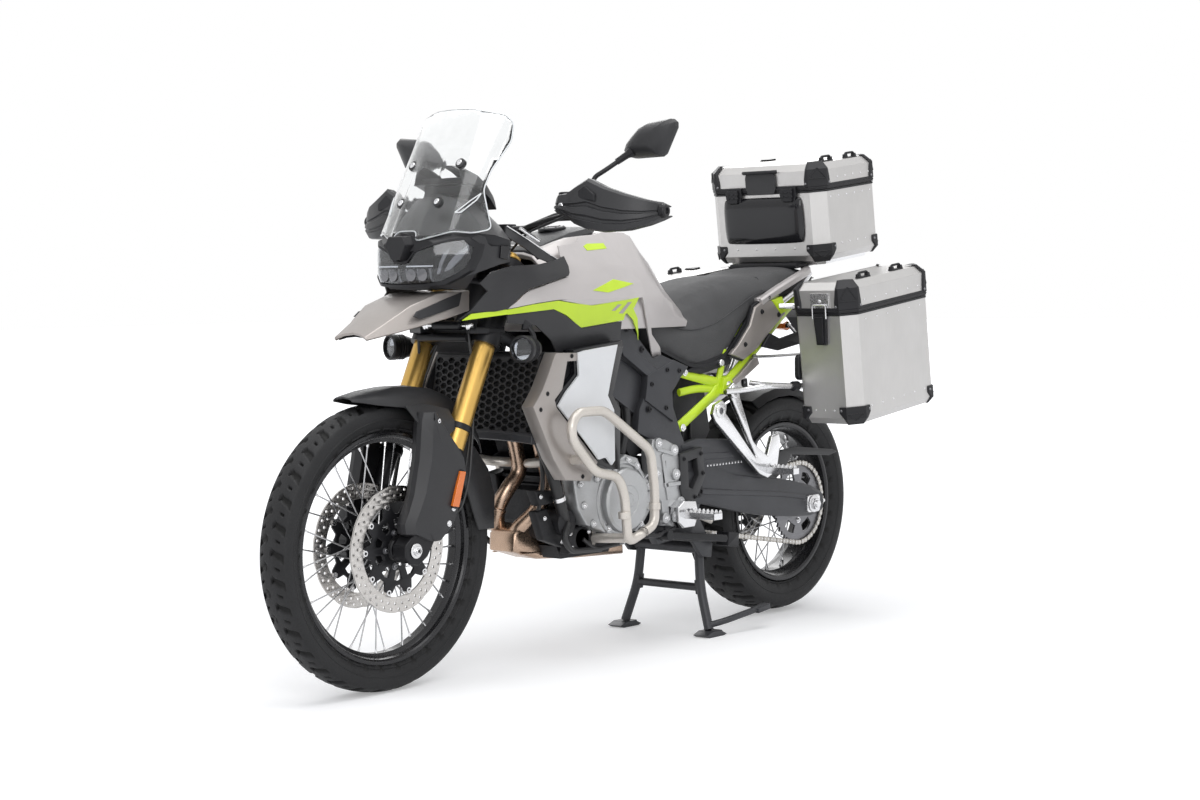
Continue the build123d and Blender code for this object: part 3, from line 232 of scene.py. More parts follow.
# the finish that each CAD node shows with, where a modelled piece doesn't replace it
NODE_FINISH = {
    "main_frame": "frame_paint", "rear_subframe": "lime_paint", "engine_block": "engine_black",
    "engine_covers": "cast_aluminium", "exhaust_pipes": "hot_steel", "silencer": "silencer_steel",
    "radiator": "radiator_fins", "radiator_grille": "black_plastic", "radiator_shrouds": "champagne_paint",
    "shroud_panels": "white_panel", "crash_bars": "bar_paint", "fuel_tank": "silver_paint",
    "side_fairings": "silver_paint", "lower_side_panels": "fine_plastic", "nose_fairing": "black_plastic",
    "headlamp": "lamp_dark", "beak": "champagne_paint", "windscreen": "clear_screen",
    "cockpit": "black_plastic", "fog_lamps": "black_metal", "seat": "seat_cover",
    "tail_panels": "champagne_paint", "luggage_racks": "bright_steel", "rear_mudguard": "black_plastic",
    "tail_lamp": "red_lens", "swingarm": "frame_paint", "chain": "chain_steel", "rear_shock": "black_metal",
    "rear_caliper": "black_metal", "footpegs": "polished_aluminium", "top_case": "case_aluminium",
    "backrest": "gloss_black", "left_case": "case_aluminium", "right_case": "case_aluminium",
    "fork_tubes": "gold_anodised", "fork_legs": "black_metal", "yokes": "black_metal",
    "handlebar": "black_metal", "handguards": "black_plastic", "mirrors": "black_plastic",
    "front_mudguard": "black_plastic", "front_calipers": "black_metal", "front_tyre": "tyre_rubber",
    "front_rim": "rim_black", "front_hub": "black_metal", "front_spokes": "spoke_steel",
    "front_discs": "disc_steel", "rear_tyre": "tyre_rubber", "rear_rim": "rim_black",
    "rear_hub": "black_metal", "rear_spokes": "spoke_steel", "rear_disc": "disc_steel",
    "centre_stand": "frame_paint", "side_stand": "frame_paint", "top_case_lid": "case_aluminium",
    "left_case_lid": "case_aluminium", "right_case_lid": "case_aluminium",
}
for node, finish in NODE_FINISH.items():
    mesh = NODES[node].data
    mesh.materials.clear()
    mesh.materials.append(MATERIALS[finish])


# ---------------------------------------------------------------- helpers: a part is (points in mm, faces)
TIP = 0.02  # the radius at which a turned profile closes on its axis
LEFT = (0, 1, 0)
SIDES = (1, -1)  # the left side and the right side


def join(*parts):
    """One part from several."""
    points, faces = [], []
    for more, rows in parts:
        base = len(points)
        points += [tuple(p) for p in more]
        faces += [tuple(i + base for i in row) for row in rows]
    return points, faces


def mirrored(part):
    """The same part on the other side."""
    return [(x, -y, z) for x, y, z in part[0]], [tuple(reversed(row)) for row in part[1]]


def both(*parts):
    """Parts on the left, joined, with their mirror image."""
    left = join(*parts)
    return join(left, mirrored(left))


def moved(part, matrix):
    """A part carried by a matrix."""
    return [tuple(matrix @ Vector(p)) for p in part[0]], part[1]


def piece(name, part, finish, stands_for=(), body="chassis", bevel=0.0, steps=2, subdivide=0, thick=0.0,
          angle=35):
    """One object from a part, with its modifiers, finish, body and the CAD nodes it stands for."""
    mesh = bpy.data.meshes.new(name)
    mesh.from_pydata([Vector(p) * 0.001 for p in part[0]], [], part[1])
    work = bmesh.new()
    work.from_mesh(mesh)
    bmesh.ops.remove_doubles(work, verts=work.verts, dist=1e-5)
    bmesh.ops.recalc_face_normals(work, faces=work.faces)
    work.to_mesh(mesh)
    work.free()
    for polygon in mesh.polygons:
        polygon.use_smooth = True
    mesh.materials.append(MATERIALS[finish])
    made = bpy.data.objects.new(name, mesh)
    bpy.context.collection.objects.link(made)
    if thick:
        solid = made.modifiers.new("thick", "SOLIDIFY")
        solid.thickness, solid.offset = thick * 0.001, -1
    if subdivide:
        smooth = made.modifiers.new("smooth", "SUBSURF")
        smooth.levels = smooth.render_levels = subdivide
    else:
        mesh.set_sharp_from_angle(angle=radians(angle))
    if bevel:
        soft = made.modifiers.new("edges", "BEVEL")
        soft.width, soft.segments, soft.angle_limit = bevel * 0.001, steps, radians(28)
        soft.harden_normals = True
    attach(made, body)
    if stands_for:
        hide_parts(*([stands_for] if isinstance(stands_for, str) else stands_for))
    return made


def loft(rows, ring=True, caps=True):
    """Quads between rows of as many points; each row closed on itself if ring."""
    n = len(rows[0])
    faces = []
    for a in range(len(rows) - 1):
        for i in range(n if ring else n - 1):
            j = (i + 1) % n
            faces.append((a * n + i, a * n + j, (a + 1) * n + j, (a + 1) * n + i))
    if caps and ring:
        faces.append(tuple(range(n)))
        faces.append(tuple((len(rows) - 1) * n + i for i in reversed(range(n))))
    return [p for row in rows for p in row], faces


def placed(outline, at, axis):
    """Points of a flat outline at one value along an axis: y takes (x, z), x takes (y, z), z takes (x, y)."""
    return [{"y": (u, at, v), "x": (at, u, v), "z": (u, v, at)}[axis] for u, v in outline]


def prism(outline, low, high, axis="y", taper=0.0):
    """An outline between two values along an axis, shrunk towards its middle at the high end."""
    mid = (sum(u for u, _ in outline) / len(outline), sum(v for _, v in outline) / len(outline))
    top = [(u + (mid[0] - u) * taper, v + (mid[1] - v) * taper) for u, v in outline]
    return loft([placed(outline, low, axis), placed(top, high, axis)])


def lathe(profile, centre, sides, closed=True):
    """A profile of (radius, y) turned about a line along Y through (x, z)."""
    x, z = centre
    rows = []
    for k in range(sides):
        turn = 2 * pi * k / sides
        rows.append([(x + r * cos(turn), y, z + r * sin(turn)) for r, y in profile])
    n = len(profile)
    faces = []
    for k in range(sides):
        m = (k + 1) % sides
        for i in range(n if closed else n - 1):
            j = (i + 1) % n
            faces.append((k * n + i, k * n + j, m * n + j, m * n + i))
    return [p for row in rows for p in row], faces


def frame_at(axis):
    """A turn that carries +Z to an axis."""
    return Vector(axis).to_track_quat("Z", "Y").to_matrix().to_4x4()


def turned(profile, place, axis, sides):
    """A profile of (radius, height) turned about an axis through a place; ends at TIP are closed."""
    rows = [[(r * cos(2 * pi * k / sides), r * sin(2 * pi * k / sides), h) for k in range(sides)]
            for r, h in profile]
    part = loft(rows)
    return moved(part, Matrix.Translation(place) @ frame_at(axis))


def rod(r, low, high, place, axis, sides):
    """A plain round rod between two heights along an axis through a place."""
    return turned([(TIP, low), (r, low), (r, high), (TIP, high)], place, axis, sides)


def bolt(place, axis, r, h, washer=True):
    """A cap screw with a socket, on a washer."""
    ring = [(1.5 * r, 0), (1.5 * r, 0.22 * h), (r, 0.25 * h)] if washer else [(r, 0)]
    return turned(ring + [(r, 0.85 * h), (0.85 * r, h), (0.5 * r, h), (0.45 * r, 0.5 * h), (TIP, 0.5 * h)],
                  place, axis, 12)


def side_bolts(y, places, r, h):
    """Cap screws at places (x, z) of a face at y, pointing away from the middle."""
    return [bolt((x, y, z), (0, 1 if y > 0 else -1, 0), r, h) for x, z in places]


def dome(place, axis, r, h):
    """A rivet or button head."""
    return turned([(r, 0), (0.92 * r, 0.5 * h), (0.6 * r, 0.9 * h), (TIP, h)], place, axis, 10)


def rounded(points, bend, steps):
    """A polyline whose corners are rounded."""
    out = [Vector(points[0])]
    for before, here, after in zip(points, points[1:], points[2:]):
        before, here, after = Vector(before), Vector(here), Vector(after)
        a, b = before - here, after - here
        if a.length < 1e-6 or b.length < 1e-6:
            continue
        room = min(bend, 0.48 * a.length, 0.48 * b.length)
        first, last = here + a.normalized() * room, here + b.normalized() * room
        for k in range(steps + 1):
            t = k / steps
            out.append((1 - t) ** 2 * first + 2 * t * (1 - t) * here + t * t * last)
    out.append(Vector(points[-1]))
    return out


def pipe(points, r, bend=20.0, sides=12, section=None, steps=5, radii=None):
    """A tube along a polyline with rounded corners; section gives another shape than a circle."""
    path = rounded(points, bend, steps)
    path = [p for k, p in enumerate(path) if k == 0 or (p - path[k - 1]).length > 1e-4]
    shape = section or [(r * cos(2 * pi * k / sides), r * sin(2 * pi * k / sides)) for k in range(sides)]
    rows, side = [], None
    for k, here in enumerate(path):
        along = (path[min(k + 1, len(path) - 1)] - path[max(k - 1, 0)]).normalized()
        if side is None:
            side = along.cross(Vector((0, 0, 1)))
            side = side if side.length > 0.05 else along.cross(Vector(LEFT))
        side = (side - along * side.dot(along)).normalized()
        up = along.cross(side)
        scale = 1 if radii is None else radii[0] + (radii[1] - radii[0]) * k / (len(path) - 1)
        rows.append([tuple(here + side * u * scale + up * v * scale) for u, v in shape])
    return loft(rows)


def filled(outlines, extrude=0.0, bevel=0.0):
    """A mesh of the area inside the first outline and outside the others."""
    curve = bpy.data.curves.new("flat", "CURVE")
    curve.dimensions, curve.fill_mode = "2D", "BOTH"
    curve.extrude, curve.bevel_depth, curve.bevel_resolution = extrude, bevel, 1
    for outline in outlines:
        spline = curve.splines.new("POLY")
        spline.points.add(len(outline) - 1)
        spline.use_cyclic_u = True
        for point, (u, v) in zip(spline.points, outline):
            point.co = (u, v, 0, 1)
    holder = bpy.data.objects.new("flat", curve)
    mesh = bpy.data.meshes.new_from_object(holder)
    bpy.data.objects.remove(holder)
    bpy.data.curves.remove(curve)
    return mesh


def flat(outlines, low, high, axis, bevel=0.0):
    """A plate between two values along an axis: the first outline is its edge, the others are holes."""
    mesh = filled(outlines, (high - low) / 2 - bevel, bevel)
    points = [tuple(v.co) for v in mesh.vertices]
    faces = [tuple(p.vertices) for p in mesh.polygons]
    bpy.data.meshes.remove(mesh)
    mid = (low + high) / 2
    return [{"y": (u, mid + w, v), "x": (mid + w, u, v), "z": (u, v, mid + w)}[axis]
            for u, v, w in points], faces


def plate(outline, low, high, bevel):
    """A plate across the motorcycle, from one outline in (x, z)."""
    return flat([outline], low, high, "y", bevel)


def ring_of(centre, r, count):
    """Points round a circle."""
    return [polar(centre, r, 2 * pi * k / count) for k in range(count)]


def oval(half_wide, half_tall, count=14):
    """A flattened round section."""
    return [(half_wide * cos(2 * pi * k / count), half_tall * sin(2 * pi * k / count)) for k in range(count)]


def full_row(x, half):
    """A closed row at x from its left half, points (y, z) from the middle outwards."""
    return [(x, y, z) for y, z in half] + [(x, -y, z) for y, z in reversed(half[1:])]


def polar(centre, r, turn):
    """The point at a distance and an angle from a centre."""
    return centre[0] + r * cos(turn), centre[1] + r * sin(turn)


def smooth_curve(points, count):
    """Points evenly along a curve through the given ones."""
    p = np.array(points, float)
    gaps = np.r_[0, np.cumsum(np.linalg.norm(np.diff(p, axis=0), axis=1))]
    t = np.linspace(0, gaps[-1], count)
    slopes = np.gradient(p, gaps, axis=0)
    k = np.clip(np.searchsorted(gaps, t, "right") - 1, 0, len(gaps) - 2)
    h = (gaps[k + 1] - gaps[k])[:, None]
    s = ((t - gaps[k]) / (gaps[k + 1] - gaps[k]))[:, None]
    return ((2 * s**3 - 3 * s**2 + 1) * p[k] + (s**3 - 2 * s**2 + s) * h * slopes[k]
            + (-2 * s**3 + 3 * s**2) * p[k + 1] + (s**3 - s**2) * h * slopes[k + 1])


# ---------------------------------------------------------------- wheels
FRONT = dict(body="front_wheel", x=793.0, z=347.7, tyre_r=347.7, tyre_half=46, rim_r=281, rim_half=32,
             repeats=34, across=46)
REAR = dict(body="rear_wheel", x=-793.0, z=326.9, tyre_r=320.9, tyre_half=75, rim_r=233, rim_half=62,
            repeats=30, across=50)
GROOVE_DEEP = 6.0
SPOKES = 36  # on each wheel
STEPS = 24  # points round the tyre in one repeat of its tread
SPOKE_R = 1.9
LOBES, LOBE_DEPTH = 10, 2.0  # the waves of a brake disc's edge
DISC_REAR_Y = (-99.4, -94.6)


def axle_of(wheel):
    """The place (x, z) of a wheel's axle."""
    return wheel["x"], wheel["z"]


def tyre(name, node, wheel):
    """A tyre as a grid round the wheel and across the tread, with slanted grooves pressed into it."""
    r, half, rim = wheel["tyre_r"], wheel["tyre_half"], wheel["rim_r"]
    crown = [(rim + 1, 0.62 * half), (rim + 10, 0.80 * half), (rim + 0.45 * (r - rim), 0.985 * half)]
    crown += [(rim + 0.62 * (r - rim), half), (r - 0.26 * (r - rim), 0.975 * half)]
    arc = smooth_curve(crown + [(r - 0.155 * (r - rim), 0.90 * half)], 12)[:-1]
    tread = smooth_curve([(r - 0.155 * (r - rim), 0.90 * half), (r - 0.062 * (r - rim), 0.66 * half),
                          (r - 0.012 * (r - rim), 0.33 * half), (r, 0)], wheel["across"] // 2)
    side = np.vstack([arc, tread])
    profile = np.vstack([side, np.column_stack([side[-2::-1, 0], -side[-2::-1, 1]])])
    around = wheel["repeats"] * STEPS
    turn = np.arange(around) * 2 * pi / around
    period = 2 * pi / wheel["repeats"]
    y = profile[:, 1] / (0.90 * half)
    grooves = np.zeros((around, len(profile)))
    inside = np.abs(y) < 1.0
    for sign, shift in ((1, 0.0), (-1, 0.5)):
        u = np.clip(y * sign, 0, 1.2)
        on_side = (y * sign > 0.10) & inside
        bend = 0.75 * np.abs(u - 0.30) + 0.10 * np.sin(2 * pi * u * 0.8)
        phase = (turn[:, None] / period + shift + bend[None, :]) % 1.0
        wide = 0.075 + 0.05 * u
        near = np.abs(phase - 0.5) / wide[None, :]
        grooves = np.maximum(grooves, np.where(on_side[None, :], np.clip(1.9 - 1.25 * near, 0, 1), 0))
        nick = np.abs((phase + 0.5) % 1.0 - 0.5) / 0.05
        short = (u > 0.45) & (u < 0.78)
        grooves = np.maximum(grooves, np.where((on_side & short)[None, :], np.clip(1.3 - nick, 0, 1), 0))
    radius = profile[None, :, 0] - GROOVE_DEEP * grooves
    rows = [[(wheel["x"] + radius[k, i] * cos(turn[k]), profile[i, 1],
              wheel["z"] + radius[k, i] * sin(turn[k])) for i in range(len(profile))] for k in range(around)]
    n = len(profile)
    faces = [(k * n + i, k * n + i + 1, (k + 1) % around * n + i + 1, (k + 1) % around * n + i)
             for k in range(around) for i in range(n - 1)]
    made = piece(name, ([p for row in rows for p in row], faces), "tyre_rubber", node, body=wheel["body"],
                 angle=50)
    # painted shade: each point's groove depth, made stronger, is stored as the mark that darkens the rubber
    # in the grooves
    shade = made.data.attributes.new("groove", "FLOAT", "POINT")
    if len(shade.data) == grooves.size:
        shade.data.foreach_set("value", np.clip(1.4 * grooves, 0, 1).ravel())
    beads = [lathe([(rim + a, s * b), (rim + a + 2.2, s * (b + 1.6)), (rim + a + 4.4, s * b)], axle_of(wheel),
                   96) for s in (-1, 1) for a, b in ((5, 0.80 * half), (0.40 * (r - rim), 0.975 * half))]
    piece(name + "_beads", join(*beads), "tyre_rubber", body=wheel["body"])


def rim(name, node, wheel):
    """A stepped wheel rim with a rolled flange and a spoke bed."""
    r, half = wheel["rim_r"], wheel["rim_half"]
    outer = [(r, half), (r + 1.5, half - 2), (r + 1, half - 5), (r - 4, half - 6), (r - 9, half - 9),
             (r - 12, half - 18)]
    well = [(r - 22, 0.34 * half), (r - 22, 0)]
    inner = [(r - 27, 0), (r - 27, 0.36 * half), (r - 21, 0.48 * half), (r - 16.5, half - 13),
             (r - 13.5, half - 4), (r - 9, half), (r - 4, half + 0.5)]
    top = outer + well
    profile = (top + [(a, -b) for a, b in reversed(top[:-1])]
               + [(a, -b) for a, b in reversed(inner[1:])] + inner)
    piece(name, lathe(profile, axle_of(wheel), 128), "rim_black", node, body=wheel["body"], bevel=0.7)


def spokes(name, node, wheel, hub_r, hub_half):
    """Crossed wire spokes from the hub flanges to the bed of the rim, each with a nipple."""
    x, z = axle_of(wheel)
    wires, nipples = [], []
    bed = wheel["rim_r"] - 25
    for k in range(SPOKES):
        side = 1 if k % 2 else -1
        lean = 1 if (k // 2) % 2 else -1
        at_rim = 2 * pi * (k + 0.5) / SPOKES
        at_hub = at_rim + lean * radians(62 if hub_r < 60 else 48)
        end = Vector((x + bed * cos(at_rim), side * 7, z + bed * sin(at_rim)))
        start = Vector((x + hub_r * cos(at_hub), side * hub_half, z + hub_r * sin(at_hub)))
        along = (start - end).normalized()
        wires.append(pipe([start, end + along * 4], SPOKE_R, sides=8))
        nipples.append(turned([(TIP, 0), (4.0, 0), (4.2, 4), (3.4, 8), (3.0, 15), (TIP, 15.5)],
                              end - along * 3, along, 8))
    piece(name, join(*wires), "spoke_steel", node, body=wheel["body"])
    piece(name.replace("spokes", "nipples"), join(*nipples), "bright_steel", body=wheel["body"])


def hub(name, node, wheel, flange_r, flange_half, body_r, low, high):
    """A hub: a waisted barrel with two flanges and a bearing seat at each end."""
    f, b = flange_half, body_r
    profile = [(13, low), (b * 0.9, low), (b, low + 4), (b, -f - 8), (flange_r - 4, -f - 4),
               (flange_r, -f - 3), (flange_r, -f + 3), (flange_r - 5, -f + 4), (b + 3, -f + 9),
               (b * 0.82, -f / 2), (b * 0.78, 0), (b * 0.82, f / 2), (b + 3, f - 9), (flange_r - 5, f - 4),
               (flange_r, f - 3), (flange_r, f + 3), (flange_r - 4, f + 4), (b, f + 8), (b, high - 4),
               (b * 0.9, high), (13, high)]
    piece(name, lathe(profile, axle_of(wheel), 64), "black_metal", node, body=wheel["body"], bevel=0.8)


def disc_plate(centre, r_out, r_in, holes, low, high):
    """A brake disc with rows of holes: holes has (radius, count, hole radius, turn in part of a step)."""
    count = 160
    edge = []
    for k in range(count):
        turn = 2 * pi * k / count
        edge.append(polar(centre, r_out - LOBE_DEPTH * (0.5 - 0.5 * cos(LOBES * turn)) ** 6, turn))
    outlines = [edge, ring_of(centre, r_in, 96)]
    for r, n, size, shift in holes:
        for k in range(n):
            outlines.append(ring_of(polar(centre, r, 2 * pi * (k + shift) / n), size, 10))
    return flat(outlines, low, high, "y", 0.3)


def disc_carrier(centre, r_in, r_out, arms, low, high):
    """The carrier in a floating disc: arms with windows between them."""
    edge = []
    step = 2 * pi / arms
    for k in range(arms):
        turn = 2 * pi * k / arms
        for part, r in ((-0.18, r_out), (-0.10, r_out + 3), (0.10, r_out + 3), (0.18, r_out),
                        (0.34, r_out - 19), (0.66, r_out - 19)):
            edge.append(polar(centre, r, turn + part * step))
    outlines = [edge, ring_of(centre, r_in, 48)]
    for k in range(arms):
        turn = (k + 0.5) * step
        outlines.append([polar(centre, r_out - 31, turn - 0.30 * step), polar(centre, r_out - 28, turn),
                         polar(centre, r_out - 31, turn + 0.30 * step),
                         polar(centre, r_in + 17, turn + 0.24 * step), polar(centre, r_in + 15, turn),
                         polar(centre, r_in + 17, turn - 0.24 * step)])
    return flat(outlines, low, high, "y", 0.8)


def front_discs():
    """Two floating discs: rotors, carriers, the bobbins between them and the screws to the hub."""
    centre = axle_of(FRONT)
    rotors, carriers, bobbins, screws = [], [], [], []
    rows = ((143.5, 36, 4.0, 0.0), (130, 36, 4.0, 0.5))
    for side in SIDES:
        low, high = sorted((side * 61.8, side * 66.2))
        rotors.append(disc_plate(centre, 152.5, 114.5, rows, low, high))
        for k in range(10):
            turn = 2 * pi * k / 10
            tab = [polar(centre, 116, turn - 0.085), polar(centre, 105, turn - 0.075),
                   polar(centre, 105, turn + 0.075), polar(centre, 116, turn + 0.085)]
            rotors.append(prism(tab, low, high))
            at = polar(centre, 107, turn)
            bobbins.append(turned([(4, -4.5), (7, -4.5), (7.2, -4), (7.2, 4), (7, 4.5), (4, 4.5), (3.8, 1),
                                   (TIP, 1)], (at[0], side * 64, at[1]), (0, side, 0), 16))
        carriers.append(disc_carrier(centre, 34, 105, 10, *sorted((side * 60.5, side * 66.5))))
        for k in range(5):
            at = polar(centre, 42, 2 * pi * k / 5)
            screws.append(bolt((at[0], side * 66.5, at[1]), (0, side, 0), 5.5, 6))
    piece("front_brake_rotors", join(*rotors), "disc_steel", "front_discs", body="front_wheel")
    piece("front_disc_carriers", join(*carriers), "black_metal", body="front_wheel")
    piece("front_disc_bobbins", join(*bobbins), "bright_steel", body="front_wheel")
    piece("front_disc_screws", join(*screws), "dark_steel", body="front_wheel")


def rear_disc():
    """One disc on the right of the rear hub."""
    centre = axle_of(REAR)
    low, high = DISC_REAR_Y
    rows = ((124, 36, 3.0, 0.0), (114, 36, 3.0, 0.5), (104, 36, 2.6, 0.0))
    rotor = disc_plate(centre, 132.5, 95, rows, low, high)
    carrier = disc_carrier(centre, 36, 97, 6, low - 1, high + 1)
    screws = []
    for k in range(6):
        x, z = polar(centre, 46, 2 * pi * k / 6)
        screws.append(bolt((x, low - 1, z), (0, -1, 0), 6, 6))
    piece("rear_brake_rotor", rotor, "disc_steel", "rear_disc", body="rear_wheel")
    piece("rear_disc_carrier", carrier, "black_metal", body="rear_wheel")
    piece("rear_disc_screws", join(*screws), "dark_steel", body="rear_wheel")


def axle_end(name, body, place, side, r, far):
    """A hexagon axle head on a washer, with a drilled middle."""
    x, y, z = place
    hexagon = [polar((x, z), r, pi / 3 * k) for k in range(6)]
    low, high = sorted((y + side * 3, y + side * far))
    parts = [prism(hexagon, low, high),
             turned([(TIP, 0), (r * 1.4, 0), (r * 1.4, 2.4), (r * 1.3, 3), (TIP, 3)],
                    place, (0, side, 0), 28),
             turned([(0.45 * r, 0), (0.62 * r, 0), (0.62 * r, 4), (0.45 * r, 4), (0.40 * r, 0)],
                    (x, y + side * far, z), (0, side, 0), 20)]
    piece(name, join(*parts), "bright_steel", body=body, bevel=0.8)


tyre("front_tyre_tread", "front_tyre", FRONT)
tyre("rear_tyre_tread", "rear_tyre", REAR)
rim("front_rim_stepped", "front_rim", FRONT)
rim("rear_rim_stepped", "rear_rim", REAR)
spokes("front_spokes_crossed", "front_spokes", FRONT, 40, 31)
spokes("rear_spokes_crossed", "rear_spokes", REAR, 54, 52)
hub("front_hub_waisted", "front_hub", FRONT, 46, 32, 27, -70, 70)
hub("rear_hub_waisted", "rear_hub", REAR, 60, 53, 36, -92, 92)
front_discs()
rear_disc()
for side in SIDES:
    label = "left" if side > 0 else "right"
    axle_end(f"front_axle_{label}", "steering", (FRONT["x"], side * 128, FRONT["z"]), side, 13, 9)
    axle_end(f"rear_axle_{label}", "chassis", (REAR["x"], side * 170, REAR["z"]), side, 18, 13)


# ---------------------------------------------------------------- chain and sprockets
CHAIN_Y = 110.0
FRONT_SPROCKET, FRONT_PITCH_R = (-205.0, 352.0), 47.0
REAR_PITCH_R = 116.5
LINK_PITCH = 15.875


def chain_path():
    """The chain's path round both sprockets, from distance to (x, z, direction), and its length."""
    (ax, az), (bx, bz) = FRONT_SPROCKET, axle_of(REAR)
    run = math.hypot(bx - ax, bz - az)
    lean = atan2(bz - az, bx - ax)
    spread = math.acos((FRONT_PITCH_R - REAR_PITCH_R) / run)
    straight = sqrt(run**2 - (REAR_PITCH_R - FRONT_PITCH_R) ** 2)
    front_arc, rear_arc = 2 * (pi - spread) * FRONT_PITCH_R, 2 * spread * REAR_PITCH_R
    total = 2 * straight + front_arc + rear_arc
    front, rear = ((ax, az), FRONT_PITCH_R), ((bx, bz), REAR_PITCH_R)

    def run_at(first, last, turn, t):
        x, z = polar(*first, turn)
        ex, ez = polar(*last, turn)
        return x + (ex - x) * t, z + (ez - z) * t, atan2(ez - z, ex - x)

    def arc_at(wheel, turn):
        return *polar(*wheel, turn), turn + pi / 2

    def at(s):
        s %= total
        if s < straight:
            return run_at(front, rear, lean - spread, s / straight)
        s -= straight
        if s < rear_arc:
            return arc_at(rear, lean - spread + s / REAR_PITCH_R)
        s -= rear_arc
        if s < straight:
            return run_at(rear, front, lean + spread, s / straight)
        s -= straight
        return arc_at(front, lean + spread + s / FRONT_PITCH_R)

    return at, total


def link_outline(pitch, r, waist):
    """A chain link's plate: two round ends and a waist."""
    points = []
    for centre, start in ((pitch / 2, -0.62 * pi), (-pitch / 2, 0.38 * pi)):
        points += [(centre + r * cos(start + 1.24 * pi * k / 6), r * sin(start + 1.24 * pi * k / 6))
                   for k in range(7)]
        points.append((0, waist if centre > 0 else -waist))
    return points


def chain():
    """Link plates in two layers, with a pin and a roller at each joint."""
    at, total = chain_path()
    count = 2 * round(total / LINK_PITCH / 2)
    step = total / count
    link = link_outline(step, 7.2, 5.2)
    plates, pins = [], []
    for k in range(count):
        x, z, turn = at((k + 0.5) * step)
        layer = 7.2 if k % 2 else 5.2
        for side in SIDES:
            ring = [(x + u * cos(turn) - v * sin(turn), z + u * sin(turn) + v * cos(turn)) for u, v in link]
            low, high = sorted((CHAIN_Y + side * layer, CHAIN_Y + side * (layer + 1.7)))
            plates.append(prism(ring, low, high))
        x, z, _ = at(k * step)
        pins.append(turned([(TIP, 0), (2.3, 0), (2.6, 0.5), (2.6, 18.5), (2.3, 19), (TIP, 19)],
                           (x, CHAIN_Y - 9.5, z), LEFT, 8))
        pins.append(turned([(2, 4.5), (5, 4.5), (5, 14.5), (2, 14.5)], (x, CHAIN_Y - 9.5, z), LEFT, 10))
    piece("chain_plates", join(*plates), "chain_steel", "chain")
    piece("chain_pins", join(*pins), "bright_steel")


def sprocket_outline(centre, r, teeth, deep):
    """A toothed edge: r is the tips' radius, deep the depth between them."""
    points = []
    for k in range(teeth):
        for part, depth in ((-0.5, deep), (-0.28, deep * 0.8), (-0.10, 0), (0.10, 0), (0.28, deep * 0.8)):
            points.append(polar(centre, r - depth, 2 * pi * (k + part) / teeth))
    return points


def sprockets():
    """The rear sprocket with its windows and nuts, and the front one."""
    centre = axle_of(REAR)
    windows = []
    for k in range(6):
        turn = 2 * pi * k / 6
        windows.append([polar(centre, 92, turn - 0.26), polar(centre, 96, turn),
                        polar(centre, 92, turn + 0.26), polar(centre, 68, turn + 0.30),
                        polar(centre, 66, turn), polar(centre, 68, turn - 0.30)])
    rear = flat([sprocket_outline(centre, 119, 45, 8), ring_of(centre, 32, 40), *windows], CHAIN_Y - 3.2,
                CHAIN_Y + 3.2, "y", 0.4)
    piece("rear_sprocket", rear, "dark_steel", body="rear_wheel")
    nuts = []
    for k in range(6):
        x, z = polar(centre, 52, 2 * pi * (k + 0.5) / 6)
        nuts.append(bolt((x, CHAIN_Y + 3.2, z), LEFT, 6, 6))
    piece("rear_sprocket_nuts", join(*nuts), "bright_steel", body="rear_wheel")
    front = flat([sprocket_outline(FRONT_SPROCKET, 49, 16, 8), ring_of(FRONT_SPROCKET, 12, 24)],
                 CHAIN_Y - 3.2, CHAIN_Y + 3.2, "y")
    piece("front_sprocket", front, "dark_steel")


chain()
sprockets()


# ---------------------------------------------------------------- bodywork
def skin(outlines, depth_of, thick, cell, lift=0.0):
    """A curved panel from outlines in (x, z), the later ones holes, at the depth y that depth_of gives."""
    mesh = filled(outlines)
    work = bmesh.new()
    work.from_mesh(mesh)
    bpy.data.meshes.remove(mesh)
    bmesh.ops.remove_doubles(work, verts=work.verts, dist=0.01)
    for axis in (0, 1):
        values = [v.co[axis] for v in work.verts]
        for k in range(math.floor(min(values) / cell) + 1, math.ceil(max(values) / cell)):
            place, normal = [0, 0, 0], [0, 0, 0]
            place[axis], normal[axis] = k * cell, 1
            everything = work.verts[:] + work.edges[:] + work.faces[:]
            bmesh.ops.bisect_plane(work, geom=everything, plane_co=place, plane_no=normal)
    bmesh.ops.recalc_face_normals(work, faces=work.faces)
    work.verts.index_update()
    front = [(v.co.x, depth_of(v.co.x, v.co.y) + lift, v.co.y) for v in work.verts]
    back = [(x, y - thick, z) for x, y, z in front]
    faces = [tuple(v.index for v in f.verts) for f in work.faces]
    n = len(front)
    sides = []
    for edge in work.edges:
        if len(edge.link_faces) == 1:
            a, b = (v.index for v in edge.verts)
            sides.append((a, b, b + n, a + n))
    work.free()
    return front + back, faces + [tuple(i + n for i in reversed(f)) for f in faces] + sides


def table_depth(heights, depths, places=((0, 0),)):
    """Depth y from a table over z, with a change over x given as (x, change)."""
    xs, changes = [p[0] for p in places], [p[1] for p in places]

    def depth(x, z):
        return float(np.interp(z, heights, depths) + np.interp(x, xs, changes))

    return depth


FLANK_Z = (760, 800, 880, 935, 975, 1020, 1060, 1100, 1125)
FLANK_Y = (150, 172, 195, 205, 192, 170, 142, 112, 90)
FLANK_X = ((-260, -45), (-120, -25), (0, -8), (100, 0), (300, 0), (500, -12), (640, -45), (700, -60))
flank = table_depth(FLANK_Z, FLANK_Y, FLANK_X)

